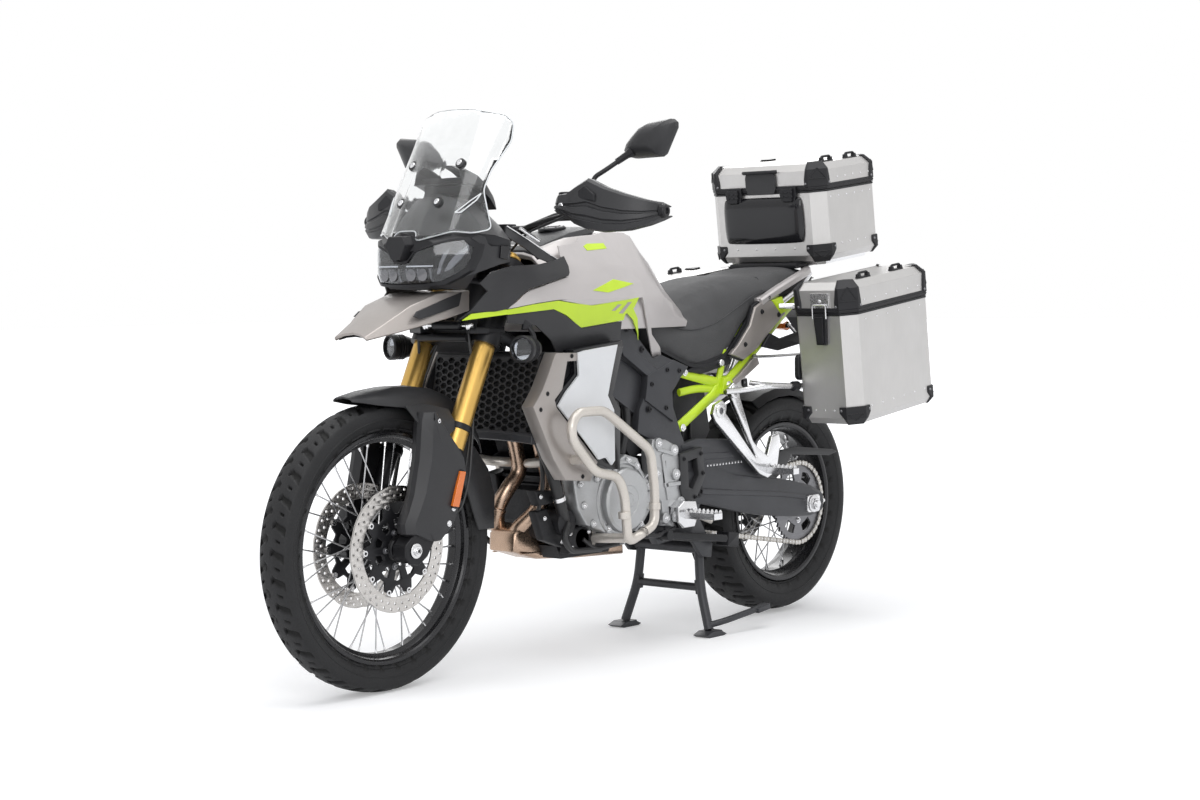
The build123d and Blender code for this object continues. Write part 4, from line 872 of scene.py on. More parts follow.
# outlines in (x, z)
SILVER = [(318, 936), (345, 934), (312, 930), (240, 920), (170, 925), (97, 932), (20, 938), (-3, 893),
          (-33, 846), (-70, 797), (-100, 772), (-135, 780), (-108, 806), (-55, 839), (-24, 890), (0, 925),
          (4, 960), (7, 980), (52, 1023), (79, 1106), (180, 1094), (196, 1081), (276, 1072), (290, 1045),
          (290, 1000), (300, 992), (440, 960), (470, 950), (524, 916), (430, 929), (356, 936)]
LIME = [(522, 902), (527, 914), (440, 926), (356, 934), (312, 928), (229, 920), (170, 925), (97, 932),
        (38, 938), (55, 912), (91, 895), (96, 880), (263, 864), (321, 897), (368, 913)]
LIME_FRONT = [(650, 890), (626, 906), (528, 915), (523, 903)]
TAIL_LIME = [(87, 900), (62, 914), (33, 884), (8, 826), (20, 845), (52, 880)]
PATCH_TOP = [(180, 1071), (160, 1078), (92, 1080), (90, 1066), (174, 1060)]
PATCH_MID = [(219, 958), (125, 986), (44, 974), (160, 952)]
STRIPES = ([(150, 905), (128, 921), (112, 921), (136, 905)], [(120, 898), (88, 926), (70, 927), (103, 897)])
DUCT = [(487, 1021), (399, 1024), (330, 1034), (288, 1045), (286, 1020), (292, 1004), (300, 996), (458, 964),
        (500, 935), (524, 917), (650, 893), (610, 935), (583, 960), (600, 979), (560, 1006)]
LOWER = [(521, 900), (367, 913), (336, 900), (257, 862), (101, 877), (100, 845), (90, 822), (210, 812),
         (335, 803), (364, 835), (424, 874), (520, 882)]
WING = [(452, 1120), (400, 1090), (300, 1028), (318, 1020), (382, 1040), (413, 1062), (470, 1096)]


def body_side():
    """The painted flanks with their lime band, patches and stripes, and the dark panels round them."""
    piece("tank_flank_silver", both(skin([SILVER], flank, 4, 16, -1)), "silver_paint",
          ("side_fairings", "fuel_tank"), bevel=1.6)
    piece("flank_lime_band", both(skin([LIME], flank, 4, 16, 0.6)), "lime_paint", bevel=1.2)
    patches = [skin([outline], flank, 2.2, 16) for outline in (PATCH_TOP, PATCH_MID, TAIL_LIME)]
    patches.append(skin([LIME_FRONT], flank, 2.2, 16, 3))
    piece("flank_lime_patches", both(*patches), "lime_paint", bevel=0.4)
    piece("flank_grey_stripes", both(*[skin([o], flank, 2.2, 16, 1.2) for o in STRIPES]), "champagne_paint",
          bevel=0.3)
    duct = table_depth((880, 915, 960, 1000, 1045), (168, 196, 196, 184, 160),
                       ((290, 0), (420, 2), (540, -12), (660, -40)))
    piece("flank_duct_panel", both(skin([DUCT], duct, 4, 16, 2)), "fine_plastic", bevel=2.0)
    inner = table_depth((800, 850, 900, 915), (176, 192, 200, 200),
                        ((0, -14), (100, -4), (300, 0), (520, -18)))
    piece("flank_lower_panel", both(skin([LOWER], inner, 4, 16, 1)), "fine_plastic", "lower_side_panels",
          bevel=1.6)
    wing = table_depth((1020, 1070, 1120), (162, 140, 112))
    piece("cockpit_wing", both(skin([WING], wing, 5, 16, 6)), "fine_plastic", bevel=1.2)
    lip = [(x, wing(x, z) + 8, z) for x, z in WING[:3]]
    piece("cockpit_wing_edge", both(pipe(lip, 1.6, 6, 6)), "bright_steel")


# rows of (x, z of the tank's top, half width of its flat top)
TANK = ((-236, 945, 30), (-216, 972, 44), (-160, 1022, 62), (-100, 1075, 78), (-62, 1108, 86),
        (-30, 1116, 90), (51, 1116, 92), (120, 1110, 92), (200, 1098, 94), (290, 1074, 96), (330, 1050, 90))


def tank():
    """The tank between the flanks, its black top cover and its filler cap."""
    rows = []
    for x, top, wide in TANK:
        half = [(0, top + 3), (0.6 * wide, top + 1.5), (wide, top - 6)]
        for t in (0.16, 0.36, 0.58, 0.8, 1.0):
            z = top - 14 - (top - 14 - 856) * t
            half.append((max(min(flank(x, z) - 6, wide + 120 * t + 22), 40), z))
        rows.append(full_row(x, half))
    piece("tank_body", loft(rows), "silver_paint", bevel=2)
    cover = []
    for x, top, wide in ((70, 1114, 84), (100, 1116, 94), (170, 1104, 94), (240, 1084, 92), (285, 1070, 96),
                         (318, 1054, 104), (330, 1036, 104)):
        half = [(0, top + 9), (0.5 * wide, top + 8), (0.86 * wide, top + 3), (wide, top - 9),
                (wide + 4, top - 24)]
        cover.append(full_row(x, half))
    piece("tank_top_cover", loft(cover), "black_plastic", bevel=2.5, steps=3)
    cap = [turned([(TIP, 0), (37, 0), (37, 5), (34, 8), (26, 9), (24, 7), (TIP, 7)], (150, 0, 1116),
                  (0.12, 0, 1), 40)]
    cap += [bolt((150 + 30 * cos(t), 30 * sin(t), 1123 - 3.6 * cos(t)), (0.12, 0, 1), 2.4, 2.6, False)
            for t in [2 * pi * k / 6 for k in range(6)]]
    piece("filler_cap", join(*cap), "black_metal", bevel=0.8)


body_side()
tank()

# the screen is part of a cylinder that leans back
SCREEN_R, SCREEN_FOOT, SCREEN_LEAN = 245.0, (678.0, 1112.0), radians(28.8)
SCREEN = [(0, 1108), (34, 1106), (41, 1081), (120, 1106), (160, 1101), (187, 1110), (172, 1150), (150, 1205),
          (151, 1254), (168, 1325), (160, 1372), (140, 1391), (60, 1408), (0, 1410)]


def on_screen(y, z, out=0.0):
    """The point of the screen's outer face at a height and a distance from the middle."""
    drop = SCREEN_R - sqrt(SCREEN_R**2 - y * y)
    rise = (z - SCREEN_FOOT[1] + drop * sin(SCREEN_LEAN)) / cos(SCREEN_LEAN)
    flute = 5 * exp(-((abs(y) - 46) / 16) ** 2) * min(1, max(0, (1330 - z) / 120))
    x = SCREEN_FOOT[0] - drop * cos(SCREEN_LEAN) - rise * sin(SCREEN_LEAN)
    return x + (flute + out) * cos(SCREEN_LEAN), y, z + (flute + out) * sin(SCREEN_LEAN)


def whole(outline):
    """An outline in (y, z) with its mirror image, given from the middle round to the middle."""
    return outline + [(-y, z) for y, z in reversed(outline[1:-1])]


def screen():
    """The clear sheet, its polished edge drawn as a pale tube that is a painted highlight, its rubber-mounted
    screws, and pale painted highlights round the rims of its slots.
    """
    flatway = skin([whole(SCREEN)], lambda u, v: 0.0, 0.0, 12)
    count = len(flatway[0]) // 2
    front = [on_screen(u, v) for u, _, v in flatway[0][:count]]
    faces = [f for f in flatway[1] if max(f) < count]
    piece("windscreen_sheet", (front, faces), "clear_screen", "windscreen", thick=4.0, angle=60)
    # painted highlight: a pale tube along the screen's edge
    edge = [on_screen(y, z, -1.5) for y, z in whole(SCREEN)]
    edge.append(edge[0])
    piece("windscreen_edge_highlight", pipe(edge, 1.9, 14, 6), "clear_edge")
    bolts, washers = [], []
    axis = (cos(SCREEN_LEAN), 0, sin(SCREEN_LEAN))
    for y, z in ((81, 1272), (62, 1176)):
        place = on_screen(y, z)
        bolts.append(bolt(place, axis, 8, 6))
        washers.append(turned([(8, -10), (13, -10), (13.5, 0), (13, 2), (8, 2)], place, axis, 24))
    piece("windscreen_bolts", both(*bolts), "bright_steel")
    piece("windscreen_washers", both(*washers), "hose_rubber")
    # painted highlight: pale tubes round the slots' rims
    slot = [(112, 1150), (134, 1178), (150, 1196), (146, 1180), (124, 1150)]
    rim_line = [on_screen(y, z, 1) for y, z in slot]
    piece("windscreen_slot_highlights", both(pipe(rim_line + rim_line[:1], 1.8, 3, 6)), "clear_edge")


def nose():
    """The nose shell, open at its rear and below, with the brow over the lamp and its side vents."""
    # rows of (x, half outline in (y, z))
    rows = ((470, [(0, 1165), (60, 1160), (112, 1120), (150, 1082), (146, 1030), (120, 1000), (0, 996)]),
            (530, [(0, 1196), (66, 1186), (128, 1138), (168, 1086), (166, 1024), (134, 978), (0, 976)]),
            (575, [(0, 1200), (68, 1186), (136, 1130), (170, 1092), (164, 1012), (130, 968), (0, 966)]),
            (602, [(0, 1180), (64, 1166), (130, 1112), (164, 1092), (158, 1004), (120, 966), (0, 964)]),
            (640, [(0, 1140), (56, 1128), (112, 1100), (134, 1086), (126, 990), (92, 968), (0, 964)]),
            (676, [(0, 1100), (44, 1094), (80, 1080), (96, 1070), (92, 986), (66, 968), (0, 964)]))
    shell = [[(x, y, z) for y, z in whole(half)] for x, half in rows]
    points, faces = loft(shell)
    room = [f for f in faces if np.mean([points[i][0] for i in f]) < 596
            and np.mean([points[i][2] for i in f]) < 1013]
    back = tuple(range(len(shell[0])))
    open_shell = [f for f in faces if f not in room and f != back]
    piece("nose_shell", (points, open_shell), "fine_plastic", ("nose_fairing", "cockpit"), thick=3, bevel=1)
    # side winglets over the lamp that carry the screen's lower corners
    brow = [[(700, 0, 1104), (690, 40, 1094), (652, 100, 1098), (604, 160, 1100), (560, 180, 1096),
             (500, 172, 1084)],
            [(712, 0, 1066), (700, 34, 1058), (668, 84, 1074), (624, 150, 1086), (566, 172, 1074),
             (490, 166, 1066)],
            [(694, 0, 1056), (684, 34, 1050), (650, 84, 1064), (606, 148, 1076), (556, 164, 1064),
             (484, 158, 1058)]]
    piece("nose_brow", both(loft(brow, ring=False)), "black_plastic", thick=4, bevel=1.0)
    vent = [(498, 1068), (528, 1072), (532, 1040), (506, 1036)]
    piece("nose_side_vent", both(prism(vent, 160, 172)), "gloss_black", bevel=2)


# outlines of (z, y) over the front of the nose, drawn for one side and mirrored
LENS = [(1026, 0), (1030, 22), (1055, 46), (1071, 93), (1080, 121), (1084, 145), (1066, 160), (1038, 157),
        (1017, 150), (1000, 132), (984, 106), (979, 60), (978, 0)]
LEAF = [(1008, 112), (1030, 121), (1054, 135), (1072, 150), (1060, 152), (1036, 139), (1014, 125)]
LEAF_INNER = [(1002, 98), (1030, 103), (1052, 111), (1064, 122), (1056, 121), (1030, 110), (1004, 104)]


def mirror_outline(outline):
    """An outline in (z, y) with its mirror image."""
    return outline + [(z, -y) for z, y in reversed(outline) if y > 0]


def on_nose(out):
    """How far forward the nose's front stands at (z, y), with a distance added."""

    def depth(z, y):
        x = np.interp(np.abs(y), (0, 40, 90, 126, 156, 168), (690, 688, 679, 648, 610, 580))
        return x + np.interp(z, (975, 1000, 1060, 1090), (-12, 0, 0, -8)) + out

    return depth


def front_skin(outlines, out, thick):
    """A curved panel over the front of the nose, from outlines in (z, y)."""
    points, faces = skin(outlines, on_nose(out), thick, 12)
    return [(x, y, z) for z, x, y in points], faces


def headlamp():
    """The lamp: bowl, bezel, lens, leaves, the wedge above and the projectors with their columns."""
    whole_lens = mirror_outline(LENS)
    middle_z = 1024
    rim = [(z + 7 * (1 if z > middle_z else -1), y * 1.045) for z, y in whole_lens]
    piece("headlamp_bowl", front_skin([whole_lens], 4, 6), "lamp_dark", "headlamp")
    piece("headlamp_bezel", front_skin([rim, whole_lens], 15, 16), "black_plastic", bevel=1.2)
    piece("headlamp_lens", front_skin([whole_lens], 12, 2), "lamp_glass")
    piece("headlamp_leaves", both(front_skin([LEAF], 8, 4), front_skin([LEAF_INNER], 7, 3)), "dark_steel",
          bevel=0.5)
    wedge = [(-42, 1074), (-18, 1032), (18, 1032), (42, 1074), (28, 1098), (-28, 1098)]
    piece("headlamp_wedge", prism(wedge, 676, 722, "x", 0.16), "black_plastic", bevel=2.5, steps=3)
    bright, dark = [], []
    for y in (30, 64):
        x = float(on_nose(4)(1002, y))
        bright.append(turned([(TIP, 0), (9, 0), (11.5, 1), (11.5, 6), (10, 6), (8, 2), (TIP, 3)],
                             (x, y, 1001), (1, 0.1, 0), 24))
        dark.append(turned([(12, 0), (15, 0), (15, 7), (12, 7)], (x, y, 1001), (1, 0.1, 0), 24))
    bar = front_skin([[(1020, 14), (1020, 92), (1024, 92), (1024, 14)]], 9, 5)
    piece("headlamp_projectors", both(*bright, bar), "lamp_chrome", bevel=0.4)
    columns = [front_skin([[(984, y), (984, y + 5), (1016, y + 5), (1016, y)]], 7, 3) for y in (10, 46, 82)]
    piece("headlamp_columns", both(*dark, *columns), "dark_steel")


def beak():
    """The beak's shell with its dark insert and its underside."""
    # rows from the middle outwards of (x, y, z)
    top = [[(866, 0, 866), (871, 26, 863), (877, 52, 855), (873, 56, 849)],
           [(802, 0, 902), (808, 30, 900), (816, 62, 888), (798, 86, 866)],
           [(740, 0, 938), (742, 40, 936), (750, 80, 928), (738, 104, 880)],
           [(655, 0, 956), (658, 44, 956), (664, 84, 956), (652, 106, 896)],
           [(590, 0, 960), (586, 52, 964), (562, 94, 962), (578, 108, 914)]]
    piece("beak_shell", both(loft(top, ring=False)), "champagne_paint", "beak", thick=7, bevel=2.0, steps=3,
          angle=25)
    insert = [(764, 902), (750, 914), (590, 958), (578, 954), (600, 926), (742, 896)]
    side = table_depth((880, 930, 960), (108, 96, 88), ((560, 4), (740, 3), (850, 0)))
    piece("beak_insert", both(skin([insert], side, 5, 16, 0)), "fine_plastic", bevel=1.0)
    under = [[(858, 0, 858), (860, 26, 856), (864, 50, 850)],
             [(740, 0, 884), (742, 60, 882), (738, 100, 880)],
             [(600, 0, 916), (600, 60, 916), (590, 100, 914)]]
    piece("beak_underside", both(loft(under, ring=False)), "black_plastic", thick=3, bevel=0.8)


screen()
nose()
headlamp()
beak()


# ---------------------------------------------------------------- fork, guards and controls
RAKE = radians(25.5)


def fork_x(z, ahead=0.0):
    """Where the fork's axis stands at a height, with a distance added."""
    return 518 + (835 - z) * math.tan(RAKE) + ahead


def fork():
    """Gold tubes in black clamps, with a band and a cap, and the legs' feet."""
    axis = (-sin(RAKE), 0, cos(RAKE))
    tubes, bands, caps, feet = [], [], [], []
    for y in (-104, 104):
        base = (fork_x(575), y, 575)
        tubes.append(turned([(TIP, 0), (24, 0), (27, 4), (27, 470), (25, 474), (TIP, 474)], base, axis, 40))
        bands.append(turned([(27.2, 0), (30, 1), (30, 15), (27.2, 16)], (fork_x(622), y, 622), axis, 40))
        bands.append(turned([(21, 0), (30.5, 2), (30.5, 14), (28, 20), (26, 24), (21, 24)],
                            (fork_x(560), y, 560), axis, 40))
        bands.append(turned([(27.3, 0), (33, 1), (33, 84), (31, 88), (27.3, 88)], (fork_x(842), y, 842), axis,
                            40))
        caps.append(turned([(27, 0), (24, 3), (24, 8), (12, 9), (12, 16), (10, 18), (TIP, 18)],
                           (fork_x(1036), y, 1036), axis, 24))
        feet.append(rod(22, 0, 190, (fork_x(395), y, 395), axis, 32))
        side = 1 if y > 0 else -1
        foot = [(fork_x(420, -27), 424), (fork_x(420, 25), 424), (800, 384), (826, 362), (828, 336),
                (812, 316), (780, 312), (752, 330)]
        feet.append(prism(foot, *sorted((y - side * 22, y + side * 23))))
    piece("fork_tubes_gold", join(*tubes), "gold_anodised", "fork_tubes", body="steering")
    piece("fork_bands", join(*bands), "black_metal", body="steering", bevel=0.5)
    piece("fork_caps", join(*caps), "gold_anodised", body="steering", bevel=0.6)
    axle = rod(14, 0, 256, (FRONT["x"], -128, FRONT["z"]), LEFT, 24)
    piece("fork_feet", join(*feet, axle), "black_metal", "fork_legs", body="steering", bevel=4, steps=3)
    pinch = [bolt((798, s * 104, 314), (0, 0, -1), 5, 5) for s in SIDES]
    pinch += [bolt((812, s * (104 + d), 318), (0.4, 0, -1), 4.5, 5) for s in SIDES for d in (-12, 12)]
    piece("fork_pinch_bolts", join(*pinch), "bright_steel", body="steering")


# rows of (z, x of the rear edge, x of the front edge)
COVER = ((674, 722, 752), (655, 711, 758), (620, 682, 762), (590, 657, 765), (560, 635, 769), (527, 627, 777),
         (480, 638, 788), (440, 652, 806), (412, 664, 821), (388, 686, 818), (366, 714, 766))
FLAP = [(560, 600), (520, 575), (472, 516), (450, 448), (454, 366), (508, 368), (548, 470), (600, 560)]


def fork_covers():
    """The long covers on the fork legs, with their reflectors and screws."""
    rows = []
    for z, rear, front in COVER:
        swell = 6 * exp(-((z - 560) / 90) ** 2)
        rows.append([(rear, 133, z), (rear + 6, 137 + swell, z),
                     (rear + 0.52 * (front - rear), 140 + swell, z), (front - 22, 134 + swell, z),
                     (front - 2, 118, z), (front, 104, z), (front - 8, 84, z)])
    piece("fork_covers", both(loft(rows, ring=False)), "fine_plastic", body="steering", thick=4, bevel=1.5)
    reflector = [(659, 529), (640, 526), (666, 442), (688, 446)]
    piece("fork_reflectors", both(prism(reflector, 140, 150)), "amber_lens", body="steering", bevel=2.5,
          steps=3)
    border = [(u + (4 if k in (1, 2) else -4), v + (4 if k < 2 else -4))
              for k, (u, v) in enumerate(reflector)]
    piece("fork_reflector_frames", both(prism(border, 138, 147)), "black_plastic", body="steering", bevel=2)
    screws = [bolt(p, LEFT, 5, 4) for p in ((674, 138, 440), (690, 138, 404), (720, 137, 652))]
    piece("fork_cover_screws", both(*screws), "bright_steel", body="steering")


def mudguard():
    """The front mudguard, with flaps that hang inside the covers and cheeks on its sides."""
    # rows of (x, z of the ridge, half width, drop of the edge)
    rows = []
    for x, top, half, drop in ((902, 716, 34, 12), (880, 721, 46, 20), (840, 728, 58, 34), (766, 735, 66, 50),
            (700, 734, 72, 70), (640, 726, 72, 76), (580, 706, 68, 70), (530, 672, 64, 52),
            (500, 636, 60, 50), (486, 600, 56, 44)):
        half_row = [(0, 0), (0.42 * half, -2), (0.72 * half, -0.25 * drop), (0.93 * half, -0.62 * drop),
                    (half, -drop)]
        rows.append([(x, -y, top + d) for y, d in reversed(half_row[1:])]
                    + [(x, y, top + d) for y, d in half_row])
    piece("front_mudguard_shell", loft(rows, ring=False), "fine_plastic", "front_mudguard", body="steering",
          thick=4, bevel=0.8)
    cheek = [(776, 690), (700, 690), (640, 676), (640, 630), (676, 610), (724, 640), (764, 652)]
    bulge = table_depth((600, 650, 700), (124, 112, 74))
    piece("front_mudguard_flaps", both(plate(FLAP, 58, 63, 1)), "fine_plastic", body="steering", bevel=0.8)
    piece("front_mudguard_cheeks", both(skin([cheek], bulge, 4, 18)), "fine_plastic", body="steering",
          bevel=1.5)


def calipers():
    """Radial calipers behind the legs, with their bolts, hoses and banjo bolts."""
    centre = axle_of(FRONT)
    bodies, bolts = [], []
    for y in SIDES:
        outline = [polar(centre, 164, radians(118 + k * 6.5)) for k in range(9)]
        outline += [polar(centre, 108, radians(170 - k * 6.5)) for k in range(9)]
        for low, high in ((70, 96), (36, 58)):
            bodies.append(prism(outline, *sorted((y * low, y * high))))
        bridge = [polar(centre, 170, radians(t)) for t in (126, 136, 146, 156, 164)]
        bridge += [polar(centre, 158, radians(t)) for t in (164, 156, 146, 136, 126)]
        bodies.append(prism(bridge, *sorted((y * 38, y * 94))))
        for turn, r in ((128, 150), (162, 150), (145, 122)):
            u, v = polar(centre, r, radians(turn))
            bolts.append(bolt((u, y * 96, v), (0, y, 0), 6, 6))
    piece("front_caliper_bodies", join(*bodies), "black_metal", "front_calipers", body="steering", bevel=3,
          steps=3)
    piece("front_caliper_bolts", join(*bolts), "bright_steel", body="steering")
    hoses = [pipe([(650, 98, 430), (630, 112, 470), (600, 120, 560), (560, 92, 700), (520, 60, 830)],
                  4, 50, 8),
             pipe([(690, 100, 440), (640, 124, 420), (610, 130, 500), (585, 120, 620), (540, 90, 780),
                   (505, 60, 850)], 3, 40, 8)]
    piece("front_brake_hoses", both(*hoses), "hose_rubber", body="steering")
    banjo = [turned([(TIP, 0), (8, 0), (8, 4), (6, 4), (6, 10), (5, 11), (TIP, 11)], (664, 96, 436),
                    LEFT, 12),
             pipe([(676, 100, 452), (668, 106, 430), (664, 108, 402)], 4.2, 8, 8)]
    piece("front_banjo_bolts", both(*banjo), "bright_steel", body="steering")


# rows across the guard: (y, x of the face, z of the top, z of the bottom)
GUARD = ((236, 398, 1186, 1150), (252, 410, 1194, 1146), (282, 416, 1196, 1138), (312, 418, 1212, 1118),
         (348, 414, 1230, 1104), (392, 404, 1208, 1098), (440, 386, 1190, 1100), (478, 358, 1176, 1112),
         (498, 334, 1170, 1124), (507, 314, 1160, 1134))
# across a row: share of the height from the top, distance in front of the face
GUARD_FORM = ((0.02, -30), (0.0, -8), (0.05, 0), (0.30, 3), (0.44, 5), (0.47, 1), (0.52, 1), (0.55, 8),
              (0.70, 10), (0.74, 5), (0.79, 5), (0.82, 9), (0.97, 2), (1.0, -8), (0.98, -34))


def handguards():
    """The shells before the hands, their dark windows, the bar's end caps and a bolt each."""
    rows = [[(x + out, y, top - share * (top - low)) for share, out in GUARD_FORM]
            for y, x, top, low in GUARD]
    piece("handguard_shells", both(loft(rows, ring=False)), "fine_plastic", "handguards", body="steering",
          thick=4, bevel=1.0)
    window = [(322, 1202), (344, 1214), (376, 1190), (376, 1172), (322, 1180)]
    piece("handguard_windows", both(prism(window, 412, 419.5, "x", 0.1)), "black_plastic", body="steering",
          bevel=2)
    cap = turned([(TIP, 0), (15, 0), (17, 3), (17, 14), (14, 18), (8, 18), (8, 14), (TIP, 14)],
                 (318, 500, 1148), (-0.1, 1, 0), 24)
    piece("bar_end_caps", both(cap), "black_metal", body="steering", bevel=0.8)
    piece("handguard_bolts", both(bolt((414, 268, 1166), (1, 0, 0), 7, 6)), "bright_steel", body="steering")


def controls():
    """Grips, levers, reservoirs, switch blocks, cables and the clamp over the yoke."""
    grips = turned([(TIP, 0)] + [(16.5 + (0.8 if k % 2 else 0), 3 + 7 * k) for k in range(17)]
                   + [(20, 118), (20, 124), (TIP, 124)], (316, 452, 1146), (0.13, -1, -0.01), 24)
    piece("rubber_grips", both(grips), "hose_rubber", body="steering")
    lever = pipe([(372, 286, 1152), (392, 330, 1154), (388, 392, 1152), (360, 452, 1150), (352, 470, 1150)],
                 5, 24, 8, oval(6, 3.6, 10))
    piece("levers", both(lever), "black_metal", body="steering")
    blocks = [prism([(322, 1126), (358, 1126), (362, 1160), (346, 1168), (322, 1162)], 286, 322),
              prism([(352, 1138), (384, 1138), (384, 1166), (352, 1166)], 262, 306),
              turned([(TIP, 0), (20, 0), (21, 3), (21, 24), (22, 25), (22, 33), (19, 35), (TIP, 35)],
                     (372, 250, 1166), (0, 0, 1), 24)]
    piece("switch_blocks", both(*blocks), "black_plastic", body="steering", bevel=2)
    clamp = [prism([(-44, 1094), (44, 1094), (44, 1128), (-44, 1128)], 334, 372, "x"),
             prism([(-52, 1016), (52, 1016), (52, 1026), (-52, 1026)], 380, 470, "x")]
    piece("bar_clamp", join(*clamp), "black_metal", body="steering", bevel=3)
    cables = [pipe([(368, 262, 1150), (372, 200, 1140), (384, 120, 1120), (396, 60, 1090), (400, 40, 1044)],
                   4, 60, 8),
              pipe([(384, 280, 1150), (384, 220, 1132), (392, 130, 1104), (400, 80, 1056)], 3.2, 60, 8),
              pipe([(360, 240, 1140), (372, 180, 1130), (388, 100, 1112), (400, 50, 1056)], 3.6, 60, 8)]
    piece("control_cables", both(*cables), "hose_rubber", body="steering")


def mirrors():
    """Mirror heads, their glasses, and the stems with their joints."""
    outline = [(322, 1300), (334, 1288), (356, 1283), (436, 1284), (446, 1290), (482, 1354), (482, 1366),
               (470, 1375), (400, 1368), (374, 1358), (346, 1334), (330, 1318)]
    mid = (398, 1326)
    rows = []
    for x, grow in ((216, 0.94), (222, 1.0), (236, 1.0), (250, 0.88), (262, 0.60), (266, 0.34)):
        rows.append([(x, mid[0] + (y - mid[0]) * grow, mid[1] + (z - mid[1]) * grow) for y, z in outline])
    piece("mirror_heads", both(loft(rows)), "fine_plastic", "mirrors", body="steering", bevel=1.5)
    glass = [(mid[0] + (y - mid[0]) * 0.9, mid[1] + (z - mid[1]) * 0.88) for y, z in outline]
    piece("mirror_glasses", both(prism(glass, 213.5, 216.5, "x")), "mirror_glass", body="steering", bevel=0.4)
    stem = [pipe([(342, 286, 1158), (322, 286, 1200), (318, 288, 1236), (296, 312, 1256), (252, 352, 1296)],
                 6, 14, 12),
            turned([(TIP, 0), (8, 0), (9, 30), (14, 46), (TIP, 46)], (278, 330, 1274),
                   (-0.55, 0.62, 0.55), 16),
            turned([(TIP, 0), (10, 0), (10, 14), (7, 20), (TIP, 20)], (345, 286, 1152), (-0.3, 0, 1), 12)]
    piece("mirror_stems", both(*stem), "black_metal", body="steering")


fork()
fork_covers()
mudguard()
calipers()
handguards()
controls()
mirrors()


# ---------------------------------------------------------------- radiator and its shrouds
RAD_TOP, RAD_LOW, RAD_Y = (392, 796), (424, 602), 180
RAD_LEAN = (RAD_LOW[0] - RAD_TOP[0]) / (RAD_TOP[1] - RAD_LOW[1])


def leaned(part, ahead):
    """A part made about x 0, laid on the radiator's leaning face, ahead of it by a distance."""
    return [(x + RAD_TOP[0] + ahead + (RAD_TOP[1] - z) * RAD_LEAN, y, z) for x, y, z in part[0]], part[1]


# a cell of the honeycomb, as (y, z) from its middle
CELL = ((12.4, 0), (6.2, 7.7), (-6.2, 7.7), (-12.4, 0), (-6.2, -7.7), (6.2, -7.7))


def radiator():
    """The honeycomb grille, the band under it, the radiator's tanks and rows, and its hoses."""
    outline = [(-RAD_Y, 604), (RAD_Y, 604), (RAD_Y, 796), (-RAD_Y, 796)]
    cells = []
    for column in range(-8, 9):
        for row in range(10):
            y, z = 20.6 * column, 615 + 18.6 * row + (9.3 if column % 2 else 0)
            if z < 787:
                cells.append([(y + u, z + v) for u, v in CELL])
    piece("honeycomb_grille", leaned(flat([outline, *cells], -2, 2, "x", 0.7), 9), "fine_plastic",
          "radiator_grille")
    rows = []
    for k in range(13):
        y = -RAD_Y - 4 + (2 * RAD_Y + 8) * k / 12
        sag = 7 * (y / RAD_Y) ** 2
        band = ((14, 612), (18, 606), (17, 590), (8, 586), (-30, 588), (-30, 600))
        rows.append([(x, y, z - sag) for x, z in band])
    piece("grille_band", leaned(loft(rows), 0), "frame_paint", bevel=1.5)
    tanks = [prism(rounded_box(-46, 6, 596, 800, 10), RAD_Y - 16, RAD_Y + 1),
             prism(rounded_box(-46, 8, 792, 806, 5), -RAD_Y, RAD_Y)]
    piece("radiator_tanks", both(leaned(join(*tanks), 0)), "black_metal", bevel=2)
    fins = [leaned(prism([(2, 606 + 5.6 * k), (5, 606 + 5.6 * k), (5, 608 + 5.6 * k), (2, 608 + 5.6 * k)],
                         -164, 164), 0) for k in range(34)]
    piece("radiator_rows", join(*fins), "radiator_fins")
    hoses = [pipe([(262, 128, 372), (304, 150, 430), (340, 150, 520), (392, 150, 606)], 15, 40, 14),
             pipe([(250, 60, 690), (310, 120, 700), (352, 150, 770)], 15, 40, 14)]
    clips = [turned([(16.5, -6), (17.6, -5), (17.6, 5), (16.5, 6)], place, axis, 18)
             for place, axis in (((304, 149, 432), (0.4, 0, 1)), ((385, 150, 590), (0.5, 0, 1)),
                      ((330, 138, 734), (0.4, 0.4, 1)))]
    piece("radiator_hoses", join(*hoses), "hose_rubber")
    piece("hose_clips", join(*clips), "bright_steel", bevel=0.4)


def rounded_box(x0, x1, z0, z1, r):
    """A rectangle in (x, z) with rounded corners."""
    out = []
    for cx, cz, start in ((x1 - r, z1 - r, 0), (x0 + r, z1 - r, 1), (x0 + r, z0 + r, 2), (x1 - r, z0 + r, 3)):
        out += [polar((cx, cz), r, pi / 2 * (start + k / 4)) for k in range(5)]
    return out


# outlines in (x, z)
SHROUD = [(391, 802), (444, 713), (476, 675), (406, 545), (362, 490), (270, 481), (244, 524), (396, 668),
          (404, 690), (374, 716), (354, 786), (316, 786), (313, 800)]
SHROUD_WINDOW = [(390, 800), (440, 716), (402, 692), (372, 712), (312, 745), (314, 800)]
WHITE_BACK = [(322, 808), (289, 812), (134, 826), (132, 812), (176, 690), (146, 654), (150, 500), (180, 504),
              (246, 523), (400, 674), (366, 714), (319, 750)]
WHITE = [(316, 803), (289, 808), (161, 819), (204, 691), (180, 653), (178, 524), (190, 513), (214, 536),
         (242, 531), (392, 674), (361, 708), (313, 747)]


